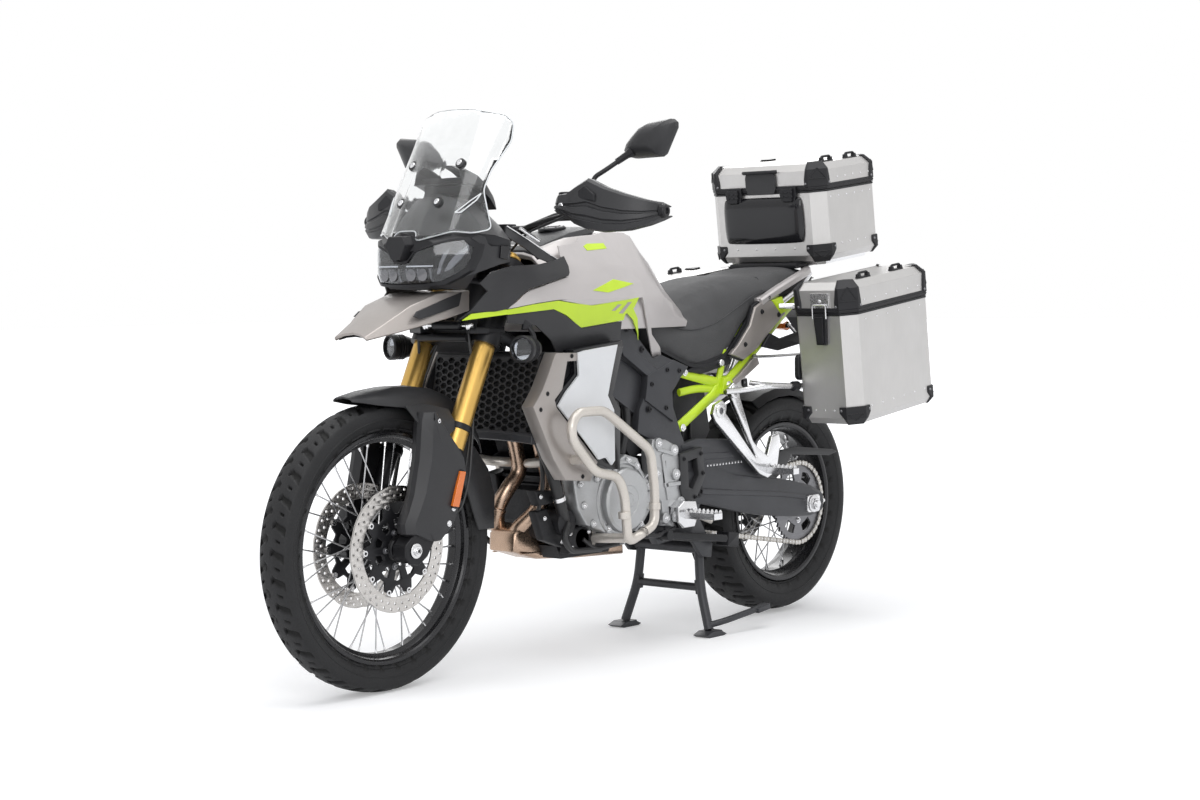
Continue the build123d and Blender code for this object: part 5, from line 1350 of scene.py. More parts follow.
def shrouds():
    """The frames beside the radiator, their windows and louvres, and the white panels behind them."""
    piece("shroud_frames", both(plate(SHROUD, 184, 226, 3.5)), "champagne_paint", "radiator_shrouds")
    piece("shroud_windows", both(plate(SHROUD_WINDOW, 182, 206, 1)), "black_plastic")
    louvres = [prism([(330 + 9 * k, 784 - 16 * k), (352 + 10 * k, 784 - 16 * k), (352 + 10 * k, 779 - 16 * k),
                      (330 + 9 * k, 779 - 16 * k)], 206, 212) for k in range(4)]
    piece("shroud_louvres", both(*louvres), "fine_plastic", bevel=0.8)
    piece("white_panel_backs", both(plate(WHITE_BACK, 186, 222, 2.5)), "gloss_black", "shroud_panels")

    def bulge(x, z):
        return 229 + 5 * exp(-(((x - 262) / 90) ** 2 + ((z - 620) / 110) ** 2))

    rim = [(x + 4 * (1 if x < 260 else -1), z) for x, z in WHITE]
    piece("white_panels", both(skin([WHITE], bulge, 6, 14)), "white_panel", bevel=2.6, steps=3)
    lip = pipe([(x, bulge(x, z) + 0.4, z) for x, z in rim[4:10]], 1.1, 8, 6)
    heads = side_bolts(226, ((336, 796), (428, 706), (300, 492), (454, 668)), 4, 3)
    piece("panel_lips", both(lip), "white_panel")
    piece("shroud_screws", both(*heads), "black_metal", bevel=0.4)


radiator()
shrouds()


# ---------------------------------------------------------------- crash bars and headers
LOOP = [(124, 334), (178, 316), (190, 440), (215, 488), (303, 505), (388, 590), (392, 630), (365, 658),
        (267, 658), (84, 545), (68, 440), (70, 352), (124, 334)]
LOOP_Y, BAR_TUBE = 270, 12.5


def crash_bars():
    """A closed tube loop on each side, with its foot, strut, flange, clamps and screws."""
    start = (110.5, 338.5)
    loop = pipe([(x, LOOP_Y, z) for x, z in [start, *LOOP[1:-1], LOOP[0], start]], BAR_TUBE, 26, 16, steps=6)
    foot = pipe([(150, LOOP_Y - 6, 325), (150, 112, 314)], BAR_TUBE, 1, 16)
    strut = pipe([(340, LOOP_Y - 6, 541), (325, 70, 520), (296, 36, 516), (240, 36, 514)], BAR_TUBE, 16, 16)
    piece("crash_bar_tubes", both(loop, foot, strut), "bar_paint", "crash_bars")
    flange = turned([(TIP, 0), (26, 0), (26, 7), (20, 9), (TIP, 9)], (150, 112, 314), LEFT, 24)
    clamp = [turned([(14, -9), (15.4, -8), (15.4, 8), (14, 9)], (x, LOOP_Y, z), axis, 20)
             for x, z, axis in ((192, 388, (0.1, 0, 1)), (69, 400, (0, 0, 1)))]
    screws = [bolt((150 + 18 * cos(t), 121, 314 + 18 * sin(t)), LEFT, 3.4, 4) for t in (0.5, 2.6, 4.7)]
    piece("crash_bar_flanges", both(flange, *clamp), "bar_paint", bevel=0.8)
    piece("crash_bar_screws", both(*screws), "bright_steel", bevel=0.4)


HEADERS = (
    [(256, 85, 618), (312, 85, 606), (292, 85, 540), (262, 80, 470), (276, 52, 395), (312, 8, 345),
     (296, -20, 318)],
    [(256, -15, 618), (300, -15, 606), (280, -15, 540), (268, -16, 490), (312, -25, 445), (334, -42, 395),
     (312, -58, 345), (296, -45, 318)],
)
COLLECTOR = [(330, 300), (328, 330), (300, 348), (258, 340), (205, 300), (-80, 296), (-84, 254), (90, 262),
             (246, 275)]


def exhaust():
    """Header pipes, collector and link pipe, with rings, flanges, a sensor and its lead."""
    pipes = [pipe(points, 20.5, 34, 20, steps=7) for points in HEADERS]
    box = plate(COLLECTOR, -66, 30, 12)
    link = pipe([(-70, -30, 274), (-110, -70, 262), (-176, -172, 262), (-300, -202, 300), (-440, -212, 350),
                 (-610, -225, 401)], 23, 50, 20)
    piece("header_pipes", join(*pipes, box, link), "hot_steel", "exhaust_pipes", angle=50)
    rings = [turned([(21, -4), (24.5, -3), (24.5, 3), (21, 4)], place, axis, 24)
             for place, axis in (((292, 85, 612), (1, 0, -0.2)), ((284, -15, 612), (1, 0, -0.2)),
                      ((276, 53, 396), (0.3, -0.55, -0.75)), ((332, -40, 398), (0.25, -0.3, -0.9)))]
    edge = [(-78, 272), (322, 282), (322, 285), (-78, 275)]
    seam = [prism(edge, 26, 33), prism(edge, -69, -62)]
    piece("header_rings", join(*rings, *seam), "hot_steel", bevel=0.8)
    studs = [bolt((x, y + dy, z + dz), (1, 0, -0.25), 4, 9)
             for x, y, z in ((270, 85, 616), (262, -15, 616)) for dy, dz in ((30, 12), (-30, -12))]
    flanges = [turned([(22, 0), (36, 0), (36, 8), (22, 8)], (x, y, z), (1, 0, -0.25), 24)
               for x, y, z in ((262, 85, 618), (254, -15, 618))]
    sensor = [turned([(TIP, 0), (9, 0), (9, 14), (6, 16), (6, 40), (TIP, 40)], (200, 30, 290), (-0.3, 1, 0.2),
                     12)]
    piece("header_fittings", join(*studs, *flanges, *sensor), "bright_steel", bevel=0.5)
    lead = pipe([(188, 68, 298), (150, 100, 310), (90, 108, 330), (40, 112, 320)], 3, 20, 8)
    piece("sensor_lead", lead, "hose_rubber")


crash_bars()
exhaust()


# ---------------------------------------------------------------- engine
# outlines in (x, z) and places (x, z)
CASING = [(252, 475), (246, 443), (236, 401), (206, 361), (138, 336), (66, 324), (-8, 334), (-44, 374),
          (-50, 438), (-10, 482), (4, 510), (48, 522), (92, 500), (136, 478), (207, 482)]
CASING_BOLTS = ((236, 464), (222, 408), (186, 358), (128, 340), (62, 328), (-4, 342), (-40, 384), (-42, 436),
                (8, 494), (44, 512), (98, 488), (170, 474))
DISC_AT = (66, 410)
GEARBOX = [(-60, 556), (-110, 552), (-149, 536), (-164, 501), (-190, 373), (-196, 345), (-150, 322),
           (-104, 330), (-96, 392), (-60, 432), (-50, 520)]
GEARBOX_BOLTS = ((-149, 461), (-168, 384), (-76, 548), (-142, 526), (-104, 346), (-160, 344), (-66, 470))


def engine_covers():
    """The clutch-side and gearbox covers, with their ribs, bosses, webs and bolts."""
    cover = plate(CASING, 112, 160, 6)
    step = lathe([(104, 150), (104, 162), (99, 165), (95, 165), (93, 158), (86, 158), (84, 176), (78, 182),
                  (40, 184), (38, 182), (TIP, 182)], DISC_AT, 72, closed=False)
    ribs = []
    for k in range(7):
        turn = radians(150 + 24 * k)
        a, b = polar(DISC_AT, 100, turn), polar(DISC_AT, 118, turn)
        nx, nz = -sin(turn) * 2.4, cos(turn) * 2.4
        ribs.append(prism([(a[0] + nx, a[1] + nz), (b[0] + nx, b[1] + nz), (b[0] - nx, b[1] - nz),
                           (a[0] - nx, a[1] - nz)], 150, 166, taper=0.1))
    bosses = [lathe([(TIP, 112), (11, 112), (11, 163), (9.5, 165), (TIP, 165)], at, 16, closed=False)
              for at in CASING_BOLTS]
    cap = lathe([(TIP, 182), (19, 182), (19, 186), (16, 188), (12, 188), (11, 186), (TIP, 186)], DISC_AT, 28,
                closed=False)
    gearbox = plate(GEARBOX, 130, 166, 5)
    webs = [plate([(-70, 540), (-140, 520), (-142, 512), (-72, 530)], 160, 171, 1.5),
            plate([(-100, 440), (-168, 440), (-170, 432), (-102, 430)], 160, 171, 1.5),
            plate([(-96, 520), (-120, 400), (-112, 396), (-88, 516)], 160, 171, 1.5)]
    rings = [lathe([(8, 160), (16, 160), (16, 171), (13, 173), (8, 173)], at, 20) for at in GEARBOX_BOLTS]
    left = join(cover, step, *ribs, *bosses, cap)
    piece("engine_left_cover", left, "cast_aluminium", "engine_covers", bevel=1.2)
    piece("engine_right_cover", mirrored(left), "engine_black", bevel=1.2)
    piece("gearbox_cover", join(gearbox, *webs, *rings), "cast_aluminium", bevel=1.0)
    dark = [plate([(-92, 500), (-106, 500), (-112, 440), (-100, 436)], 164, 168, 0.6),
            plate([(-120, 376), (-150, 372), (-152, 352), (-124, 350)], 164, 168, 0.6)]
    piece("gearbox_slots", join(*dark), "black_metal")
    heads = side_bolts(165, CASING_BOLTS, 4.4, 5) + side_bolts(171, GEARBOX_BOLTS, 5.5, 6)
    heads += side_bolts(-165, CASING_BOLTS, 4.4, 5)
    piece("engine_cover_bolts", join(*heads), "bright_steel", bevel=0.4)


def engine_castings():
    """Ledges, ribs, spark plug wells, side caps, oil filter and pump housings, with their screws."""
    case = [plate([(-196, 404), (236, 404), (236, 392), (-196, 392)], -121, 121, 2)]
    case += [plate([(x, 322), (x + 7, 322), (x + 7, 494), (x, 494)], -122, 122, 1.5)
             for x in (-176, -150, -124, 172, 192, 212)]
    case += [plate([(90, 700), (258, 692), (262, 682), (84, 690)], -106, 106, 2),
             plate([(56, 588), (262, 516), (266, 526), (60, 598)], -118, 118, 2)]
    case += [turned([(TIP, 0), (24, 0), (24, 10), (18, 14), (18, 24), (TIP, 24)], (x, y, 700), (-0.05, 0, 1),
                    20) for x in (140, 222) for y in (-48, 48)]
    case += [lathe([(TIP, y0), (34, y0), (34, y1), (26, y1 + 4), (TIP, y1 + 4)], at, 32, closed=False)
             for at, y0, y1 in (((262, 366), 84, 138), ((196, 318), 96, 128), ((-34, 548), 90, 118))]
    case += [turned([(30, 0), (33, 4), (33, 44), (30, 50), (12, 52), (TIP, 52)], (244, 46, 366), (1, 0, -0.3),
                    30)]
    case += [plate([(252, 346), (160, 344), (158, 296), (176, 284), (246, 288)], 100, 132, 4),
             plate([(358, 398), (330, 330), (262, 306), (250, 330), (296, 352), (320, 402)], 94, 122, 4),
             plate([(366, 452), (286, 446), (280, 424), (350, 420)], 96, 128, 4)]
    piece("engine_castings", join(*case), "engine_black", bevel=1.0)
    on_case = ((-184, 450), (-140, 486), (-70, 500), (150, 486), (226, 440), (226, 372), (-180, 356))
    on_barrels = ((70, 600), (120, 580), (180, 556), (240, 534), (262, 600), (100, 636), (180, 634))
    on_pumps = ((242, 336), (170, 334), (170, 300), (236, 298), (340, 384), (276, 318), (354, 440),
                (292, 436))
    screws = []
    for side in SIDES:
        screws += side_bolts(side * 116, on_case, 4.2, 5) + side_bolts(side * 112, on_barrels, 4.2, 5)
    screws += side_bolts(132, on_pumps, 4, 4)
    screws += [bolt((x, y, 698), (-0.05, 0, 1), 4, 6) for x in (104, 176, 246) for y in (-90, 0, 90)]
    piece("engine_screws", join(*screws), "bright_steel", bevel=0.4)


def engine_fittings():
    """Oil and coolant lines, and the throttle bodies with the airbox and the battery behind them."""
    lines = [pipe([(262, 142, 366), (290, 150, 330), (250, 140, 292), (120, 128, 284)], 8, 24, 10),
             pipe([(196, 132, 318), (150, 134, 286), (40, 126, 290)], 6, 20, 10),
             pipe([(10, 110, 526), (-10, 118, 610), (4, 112, 700), (40, 80, 770)], 12, 30, 12),
             pipe([(-30, 106, 540), (-52, 112, 640), (-40, 100, 760)], 7, 30, 10),
             pipe([(60, 100, 560), (30, 118, 640), (60, 110, 730), (110, 90, 790)], 9, 30, 10),
             pipe([(340, 110, 400), (330, 120, 470), (350, 130, 560)], 6, 30, 8)]
    piece("engine_hoses", both(*lines), "hose_rubber")
    throttle = [turned([(22, 0), (26, 2), (26, 30), (22, 34), (22, 60), (28, 62), (28, 78)], (112, y, 700),
                       (-0.42, 0, 0.9), 24) for y in (-52, 52)]
    box = plate([(-70, 764), (150, 764), (172, 800), (150, 846), (-60, 846)], -92, 92, 8)
    battery = plate([(-150, 560), (-40, 600), (-50, 740), (-140, 740)], -96, 96, 6)
    piece("throttles_and_airbox", join(*throttle, box, battery), "black_plastic", bevel=1)


# ---------------------------------------------------------------- frame
FORK_OFFSET = 25.0
SIDE_PIVOT, SIDE_LEAN = Vector((-110, 160, 300)), radians(18)
SIDE_AXIS = Vector((0, cos(SIDE_LEAN), sin(SIDE_LEAN)))
# outlines in (x, z)
PLATE_TOP = [(54, 853), (37, 884), (-17, 830), (-80, 771), (-115, 780), (-163, 765), (-58, 731), (39, 788),
             (59, 821)]
PLATE_MID = [(-58, 728), (-167, 765), (-225, 746), (-197, 723), (-157, 683), (-160, 606), (-48, 666),
             (-57, 709)]
PLATE_LOW = [(-48, 668), (-160, 655), (-204, 560), (-262, 452), (-296, 392), (-234, 286), (-130, 298),
             (-138, 440), (-150, 500), (-111, 546), (-21, 582), (-30, 640)]
PLATE_HOLE = [(-176, 470), (-214, 470), (-240, 430), (-214, 372), (-176, 372)]
WINDOW_PLATE = [(-168, 512), (-261, 524), (-273, 448), (-226, 380), (-178, 392), (-168, 420)]
WINDOW_HOLE = [(-194, 494), (-240, 502), (-249, 450), (-220, 412), (-200, 420)]


def frame_members():
    """Side plates, spars, head tube and cross tubes, with the guards, bolts and the stand's pivot pin."""
    top = plate(PLATE_TOP, 128, 150, 3)
    mid = plate(PLATE_MID, 126, 152, 3)
    low = flat([PLATE_LOW, PLATE_HOLE], 121, 146, "y", 3)
    inner = plate([(15, 785), (-78, 727), (-77, 670), (-42, 623), (63, 682), (36, 767)], 112, 128, 2)
    spar = pipe([(steer_x(930) - 28, 20, 930), (280, 95, 880), (40, 128, 812), (-90, 132, 740)], 20, 60,
                section=[(-20, -9), (-9, -24), (9, -24), (20, -9), (20, 9), (9, 24), (-9, 24), (-20, 9)])
    down = pipe([(steer_x(880) - 26, 18, 880), (310, 60, 800), (275, 100, 700)], 16, 40, 16)
    ear = plate([(-226, 304), (-250, 282), (-306, 222), (-346, 216), (-352, 250), (-336, 264), (-290, 332)],
                121, 134, 2)
    head = turned([(28, 0), (36, 0), (38, 6), (34, 12), (34, 118), (38, 124), (38, 132), (28, 132)],
                  (steer_x(858), 0, 858), (-0.43, 0, 0.9), 32)
    cross = [pipe([(-205, -124, 560), (-205, 124, 560)], 17, 1, 16),
             pipe([(-150, -118, 700), (-150, 118, 700)], 14, 1, 16)]
    lug = plate([(-84, 300), (-104, 276), (-160, 282), (-160, 330), (-96, 326)], 118, 142, 2)
    piece("frame_members", join(both(top, mid, low, inner, spar, down, ear), head, *cross, lug),
          "frame_paint", "main_frame", bevel=1.2)
    window = flat([WINDOW_PLATE, WINDOW_HOLE], 152, 172, "y", 3)
    piece("pivot_guards", both(window), "fine_plastic", bevel=1)
    on_plates = ((30, 856), (-30, 800), (-70, 706), (-136, 742), (-188, 738), (-130, 640), (-60, 640))
    on_guards = ((-180, 500), (-254, 510), (-226, 394), (-262, 456))
    heads = side_bolts(150, on_plates, 6.5, 6) + side_bolts(172, on_guards, 4.5, 5)
    heads += side_bolts(158, [(-262, 405)], 12, 8)
    piece("frame_bolts", both(*heads), "black_metal", bevel=0.5)
    piece("swingarm_pivot_pin", pivot_pin(), "bright_steel", bevel=0.5)


def pivot_pin():
    """The side stand's pivot, which leans out of the level."""
    return turned([(TIP, -24), (6, -24), (6, 15), (10, 15), (10, 20), (TIP, 20)], SIDE_PIVOT, SIDE_AXIS, 16)


def steer_x(z):
    """Where the steering axis stands at a height, behind the fork."""
    return fork_x(z) - FORK_OFFSET / cos(RAKE)


engine_covers()
engine_castings()
engine_fittings()
frame_members()


# ---------------------------------------------------------------- cases
TILT = radians(7)
SEAM, WALL, LID_CHAMFER, FOOT_CHAMFER = 1.5, 3.0, 20.0, 14.0
CORNER = 0.41  # how much a bevelled corner's cut changes with each mm of inset
TOP_CASE_AT = (-808, 0, 1030)


def on_case(origin):
    """A matrix from a case's own axes, u forwards, v to the left and h up, to the row frame in mm."""
    across = Vector(LEFT)
    along, up = Vector((cos(TILT), 0, -sin(TILT))), Vector((sin(TILT), 0, cos(TILT)))
    return Matrix.Translation(origin) @ Matrix((along, across, up)).transposed().to_4x4()


def outwards(corner, corners):
    """The signs of u and v that point out of a case at one of its corners."""
    us, vs = [c[0] for c in corners], [c[1] for c in corners]
    mid_u, mid_v = (min(us) + max(us)) / 2, (min(vs) + max(vs)) / 2
    return (1 if corner[0] > mid_u else -1), (1 if corner[1] > mid_v else -1)


def plan(corners, inset):
    """A case's plan: corners are (u, v, bevel), anticlockwise from the front inner one; inset shrinks it."""
    points = []
    for u, v, bevel in corners:
        su, sv = outwards((u, v), corners)
        cut = bevel + CORNER * inset
        near, far = (u - su * inset, v - sv * cut), (u - su * cut, v - sv * inset)
        points += [near, far] if su * sv > 0 else [far, near]
    return points


def rings(corners, rows, closed=False):
    """A loft of plans: rows are (inset, h)."""
    made = loft([[(u, v, h) for u, v in plan(corners, inset)] for inset, h in rows], caps=not closed)
    if closed:
        n = len(made[0]) // len(rows)
        last = (len(rows) - 1) * n
        made[1].extend([(last + i, last + (i + 1) % n, (i + 1) % n, i) for i in range(n)])
    return made


def guard_for(corner, corners, out, reach, levels):
    """A corner protector: four points round the corner at each level (h, share of the reach, inset)."""
    u, v, bevel = corner
    su, sv = outwards(corner, corners)
    rows = []
    for h, share, inset in levels:
        o = out - inset
        near, far = bevel - CORNER * o, bevel + reach * share - CORNER * o
        a, b = (u + su * o, v - sv * far), (u + su * o, v - sv * near)
        c, d = (u - su * near, v + sv * o), (u - su * far, v + sv * o)
        if share < 0.05:
            mid = ((b[0] + c[0]) / 2, (b[1] + c[1]) / 2)
            a = b = (mid[0] + (b[0] - mid[0]) * 0.3, mid[1] + (b[1] - mid[1]) * 0.3)
            c = d = (mid[0] + (c[0] - mid[0]) * 0.3, mid[1] + (c[1] - mid[1]) * 0.3)
        rows.append([(p[0], p[1], h) for p in (a, b, c, d)])
    inner = [[(p[0] - su * 5, p[1] - sv * 5, p[2]) for p in row] for row in rows]
    return loft([row + list(reversed(back)) for row, back in zip(rows, inner)])


def triangle_on(corner, corners, low, high, out):
    """A triangular rib on a corner protector's slanted face."""
    u, v, bevel = corner
    su, sv = outwards(corner, corners)
    b, c = Vector((u + su * out, v - sv * bevel * 0.92, 0)), Vector((u - su * bevel * 0.92, v + sv * out, 0))
    mid = (b + c) / 2
    points = [Vector((*(b * 0.9 + mid * 0.1).xy, low)), Vector((*(c * 0.9 + mid * 0.1).xy, low)),
              Vector((*mid.xy, high))]
    return pipe(points + points[:1], 1.8, 3, 6)


def case_parts(corners, tall, lid, hinge_mid, hinge_span):
    """The parts of a case in its own axes: {name: (part, finish, bevel, rides with the lid)}."""
    inner, outer = min(c[1] for c in corners), max(c[1] for c in corners)
    length = max(c[0] for c in corners) - min(c[0] for c in corners)
    top = tall + lid
    shell = rings(corners, [(FOOT_CHAMFER, 0), (0, FOOT_CHAMFER + 4), (0, tall), (WALL, tall),
                            (WALL, FOOT_CHAMFER + 4), (FOOT_CHAMFER, WALL)])
    cover = rings(corners, [(LID_CHAMFER, top - WALL), (WALL, top - LID_CHAMFER), (WALL, tall + SEAM),
                            (0, tall + SEAM), (0, top - LID_CHAMFER), (LID_CHAMFER, top)])
    low_band = rings(corners, [(-2, tall - 6), (-2, tall), (0.5, tall), (0.5, tall - 6)], True)
    high_band = rings(corners, [(-3, tall + SEAM), (-3, tall + 15), (0.5, tall + 17), (0.5, tall + SEAM)],
                      True)
    rib = rings(corners, [(-4.4, tall + 6), (-4.4, tall + 10), (-2.5, tall + 10.5), (-2.5, tall + 5.5)], True)
    lid_guards, feet, screws, lid_screws = [], [], [], []
    # levels of the corner protectors: (h, share of the reach, inset)
    lid_levels = [(tall + 12, 1, 0), (tall + 32, 1, 0), (top - LID_CHAMFER + 4, 0.55, 0),
                  (top + 5, 0.3, LID_CHAMFER + 2), (top + 4, 0.0, LID_CHAMFER + 26)]
    foot_levels = [(50, 0.9, 0), (46, 1, 0), (32, 1, 0), (16, 0.35, 0), (-2, 0.05, FOOT_CHAMFER + 2)]
    for corner in corners:
        lid_guards.append(guard_for(corner, corners, 5, 13, lid_levels))
        feet.append(guard_for(corner, corners, 4.5, 22, foot_levels))
        if corner[2] > 12:
            lid_guards.append(triangle_on(corner, corners, tall + 34, top - LID_CHAMFER + 8, 5))
            feet.append(triangle_on(corner, corners, 30, 10, 4))
        su = 1 if corner[0] > -length / 2 else -1
        sv = 1 if corner[1] > sum(c[1] for c in corners) / 4 else -1
        u, v, bevel = corner
        for h, share, bag in ((40, 15, screws), (tall + 20, 8, lid_screws)):
            bag.append(dome((u + su * 4.6, v - sv * (bevel + share), h), (su, 0, 0), 4, 3))
            bag.append(dome((u - su * (bevel + share), v + sv * 4.6, h), (0, sv, 0), 4, 3))
    rivets, lid_rivets = [], []
    for k in range(6):
        u = -length * (0.17 + 0.132 * k)
        for v, side in ((outer, 1), (inner, -1)):
            rivets += [dome((u, v, h), (0, side, 0), 3.2, 1.6) for h in (tall - 22, 46)]
            lid_rivets.append(dome((u, v, tall + 32), (0, side, 0), 3.0, 1.5))
    for k in range(4):
        v = inner + (outer - inner) * (0.24 + 0.17 * k)
        for u, side in ((0, 1), (-length, -1)):
            rivets.append(dome((u, v, 40), (side, 0, 0), 3.2, 1.6))
    handles = []
    for share in (0.30, 0.70):
        u, v = -length * share, outer - 36
        handles.append(prism([(u - 26, v - 9), (u + 26, v - 9), (u + 30, v), (u + 26, v + 9), (u - 26, v + 9),
                              (u - 30, v)], top, top + 3.5, "z"))
        handles.append(pipe([(u - 24, v, top), (u - 22, v, top + 15), (u + 22, v, top + 15),
                             (u + 24, v, top)], 3.6, 9, 8))
        handles += [prism([(u + s * 22 - 6, v - 7), (u + s * 22 + 6, v - 7), (u + s * 22 + 6, v + 7),
                           (u + s * 22 - 6, v + 7)], top, top + 12, "z", 0.2) for s in (-1, 1)]
    barrel = [(TIP, 0), (5, 0), (5, 1), (5, hinge_span * 2 / 3 - 2), (TIP, hinge_span * 2 / 3 - 2)]
    third = hinge_span / 3
    knuckles = [turned(barrel, (-length - 6, hinge_mid + start, tall + SEAM / 2), LEFT, 16)
                for start in (-hinge_span, third + 1)]
    lid_knuckle = [turned(barrel, (-length - 6, hinge_mid - third + 1, tall + SEAM / 2), LEFT, 16)]
    leaf = [(-length - 4, hinge_mid - hinge_span), (-length - 4, hinge_mid + hinge_span),
            (-length, hinge_mid + hinge_span), (-length, hinge_mid - hinge_span)]
    knuckles.append(prism(leaf, tall - 20, tall - 5, "z"))
    lid_knuckle.append(prism(leaf, tall + 6, tall + 21, "z"))
    return {
        "shell": (shell, "case_aluminium", 2.2, False), "lid": (cover, "case_aluminium", 2.2, True),
        "seam_band": (low_band, "black_plastic", 0.6, False),
        "lid_band": (join(high_band, rib), "black_plastic", 0.8, True),
        "lid_corners": (join(*lid_guards), "black_plastic", 1.2, True),
        "corner_feet": (join(*feet), "black_plastic", 1.2, False),
        "corner_screws": (join(*screws), "dark_steel", 0, False),
        "lid_screws": (join(*lid_screws), "dark_steel", 0, True),
        "rivets": (join(*rivets), "bright_steel", 0, False),
        "lid_rivets": (join(*lid_rivets), "bright_steel", 0, True),
        "tie_down_loops": (join(*handles), "black_plastic", 0.8, True),
        "hinge": (join(*knuckles), "black_metal", 0.5, False),
        "lid_hinge": (join(*lid_knuckle), "black_metal", 0.5, True),
    }


def latch(v, tall, wide, drop, face=0.0):
    """A draw latch at the front of a case: its body and its lever."""
    half = wide / 2
    body = [(v - half, tall + 8), (v + half, tall + 8), (v + half, tall - 14), (v + 0.78 * half, tall - drop),
            (v - 0.78 * half, tall - drop), (v - half, tall - 14)]
    lever = [(v - 0.7 * half, tall + 2), (v + 0.7 * half, tall + 2), (v + 0.56 * half, tall - drop + 6),
             (v - 0.56 * half, tall - drop + 6)]
    return prism(body, face + 1, face + 11, "x"), prism(lever, face + 11, face + 17, "x")


def add_case(label, parts, place, flip=join):
    """Adds a case's parts; its shell and its lid stand for the CAD nodes of the case and its lid."""
    nodes = {"shell": label, "lid": f"{label}_lid"}
    for name, (part, finish, soft, on_lid) in parts.items():
        piece(f"{label}_{'lid_shell' if name == 'lid' else name}", flip(moved(part, place)),
              finish, nodes.get(name, ()), body=f"{label}_lid" if on_lid else "chassis", bevel=soft)


def side_cases():
    """The two side cases, each with a draw latch at its front."""
    length, tall, lid, wide, bevel = 424.0, 312.0, 86.0, 186.0, 37.0
    corners = [(0, 0, 8), (0, wide, bevel), (-length, wide, bevel), (-length, 0, 8)]
    parts = case_parts(corners, tall, lid, wide / 2, 60)
    v = 88
    body, lever = latch(v, tall - 8, 40, 78)
    hook = [(v - 30, tall + 58), (v + 30, tall + 58), (v + 30, tall + 17), (v - 30, tall + 17)]
    bail = [(11, v - 22, tall - 12), (9, v - 22, tall + 26), (9, v + 22, tall + 26), (11, v + 22, tall - 12)]
    parts["latch_body"] = (join(body, lever), "black_plastic", 1.5, False)
    parts["hook_plate"] = (join(prism(hook, 1, 5, "x"), bolt((5, v, tall + 36), (1, 0, 0), 4, 3)),
                           "polished_aluminium", 0.8, True)
    parts["latch_bail"] = (pipe(bail, 2.0, 6, 8), "bright_steel", 0, False)
    place = on_case((-627, 252, 573))
    add_case("left_case", parts, place)
    add_case("right_case", parts, place, mirrored)


def top_case():
    """The top case with two latches, its handle, the plate under it and the backrest pad."""
    length, tall, lid, wide, bevel = 312.0, 207.0, 77.0, 408.0, 37.0
    half = wide / 2
    corners = [(0, -half, bevel), (0, half, bevel), (-length, half, bevel), (-length, -half, bevel)]
    parts = case_parts(corners, tall, lid, 0, 90)
    bodies, ribs = [], []
    for v in (-98, 98):
        bodies += latch(v, tall + 8, 58, 42, 1)
        ribs += [prism([(v + dv - 6, tall + h), (v + dv + 6, tall + h), (v + dv + 6, tall + h - 6),
                        (v + dv - 6, tall + h - 6)], 17, 20, "x") for dv in (-16, 0, 16) for h in (2, -10)]
    holder = [(-50, tall + 56), (50, tall + 56), (54, tall + 44), (54, tall + 10), (46, tall - 6),
              (-46, tall - 6), (-54, tall + 10), (-54, tall + 44)]
    parts["latches"] = (join(*bodies, *ribs), "black_plastic", 1.5, False)
    parts["handle_plate"] = (prism(holder, 2, 8, "x"), "fine_plastic", 2.0, True)
    grip = pipe([(4, -60, tall + 60), (16, -50, tall + 60), (16, 50, tall + 60), (4, 60, tall + 60)], 5.5, 10,
                10)
    parts["handle"] = (grip, "black_plastic", 0, True)
    place = on_case(TOP_CASE_AT)
    add_case("top_case", parts, place)
    base = rings(corners, [(34, -12), (30, 2)])
    piece("top_case_base_plate", moved(base, place), "bright_steel", bevel=1)
    # backrest pad: crowned, with a rounded edge
    across, up, rows = 24, 12, []
    for k in range(across + 1):
        s = -1 + 2 * k / across
        row = []
        for i in range(up + 1):
            t = -1 + 2 * i / up
            edge = (1 - abs(s) ** 6) * (1 - abs(t) ** 4)
            shrink = 1 - 0.05 * (abs(s) * abs(t)) ** 3
            row.append((2 + 13 * edge**0.4, 143 * s * shrink, 124 + 68 * t * shrink))
        rows.append(row)
    pad = loft(rows, ring=False)
    piece("backrest_pad", moved(pad, place), "gloss_black", "backrest", thick=2, subdivide=1)


side_cases()
top_case()


# ---------------------------------------------------------------- seat
# rows of (x, z of its low edge, of its crease and of its ridge, half width at the crease and of its flat top)
SEAT = (
    (-75, 872, 886, 902, 128, 46), (-110, 806, 880, 914, 136, 56), (-150, 790, 868, 922, 138, 64),
    (-200, 770, 852, 922, 140, 74), (-250, 752, 846, 932, 141, 84), (-300, 746, 848, 952, 141, 94),
    (-350, 748, 858, 966, 141, 102), (-400, 766, 874, 977, 142, 106), (-450, 800, 896, 986, 142, 108),
    (-500, 852, 918, 991, 142, 110), (-545, 892, 938, 992, 142, 112), (-600, 914, 948, 991, 141, 114),
    (-640, 918, 954, 996, 140, 116), (-680, 926, 966, 1009, 138, 116), (-740, 940, 976, 1015, 132, 110),
    (-800, 950, 980, 1017, 124, 102), (-860, 960, 984, 1011, 110, 90), (-910, 968, 984, 1002, 92, 74),
    (-935, 974, 984, 994, 76, 58),
)


def seat_row(x, low, crease, ridge, half, top, out):
    """One section of the seat in Y and Z, made larger by a distance."""
    half += out
    points = [(0, ridge + out), (0.5 * top, ridge + out - 1), (top, ridge + out - 6),
              (top + 0.55 * (half - top), ridge - 0.42 * (ridge - crease)), (half, crease),
              (half - 2, crease - 0.4 * (crease - low)), (half - 6, low), (half - 22, low - 2)]
    return full_row(x, points)


# metres: the remeshed cushion's voxels, and how far the cloth may carry a point
VOXEL, CAP = 0.0055, 0.006
CLOTH_STEPS = 12


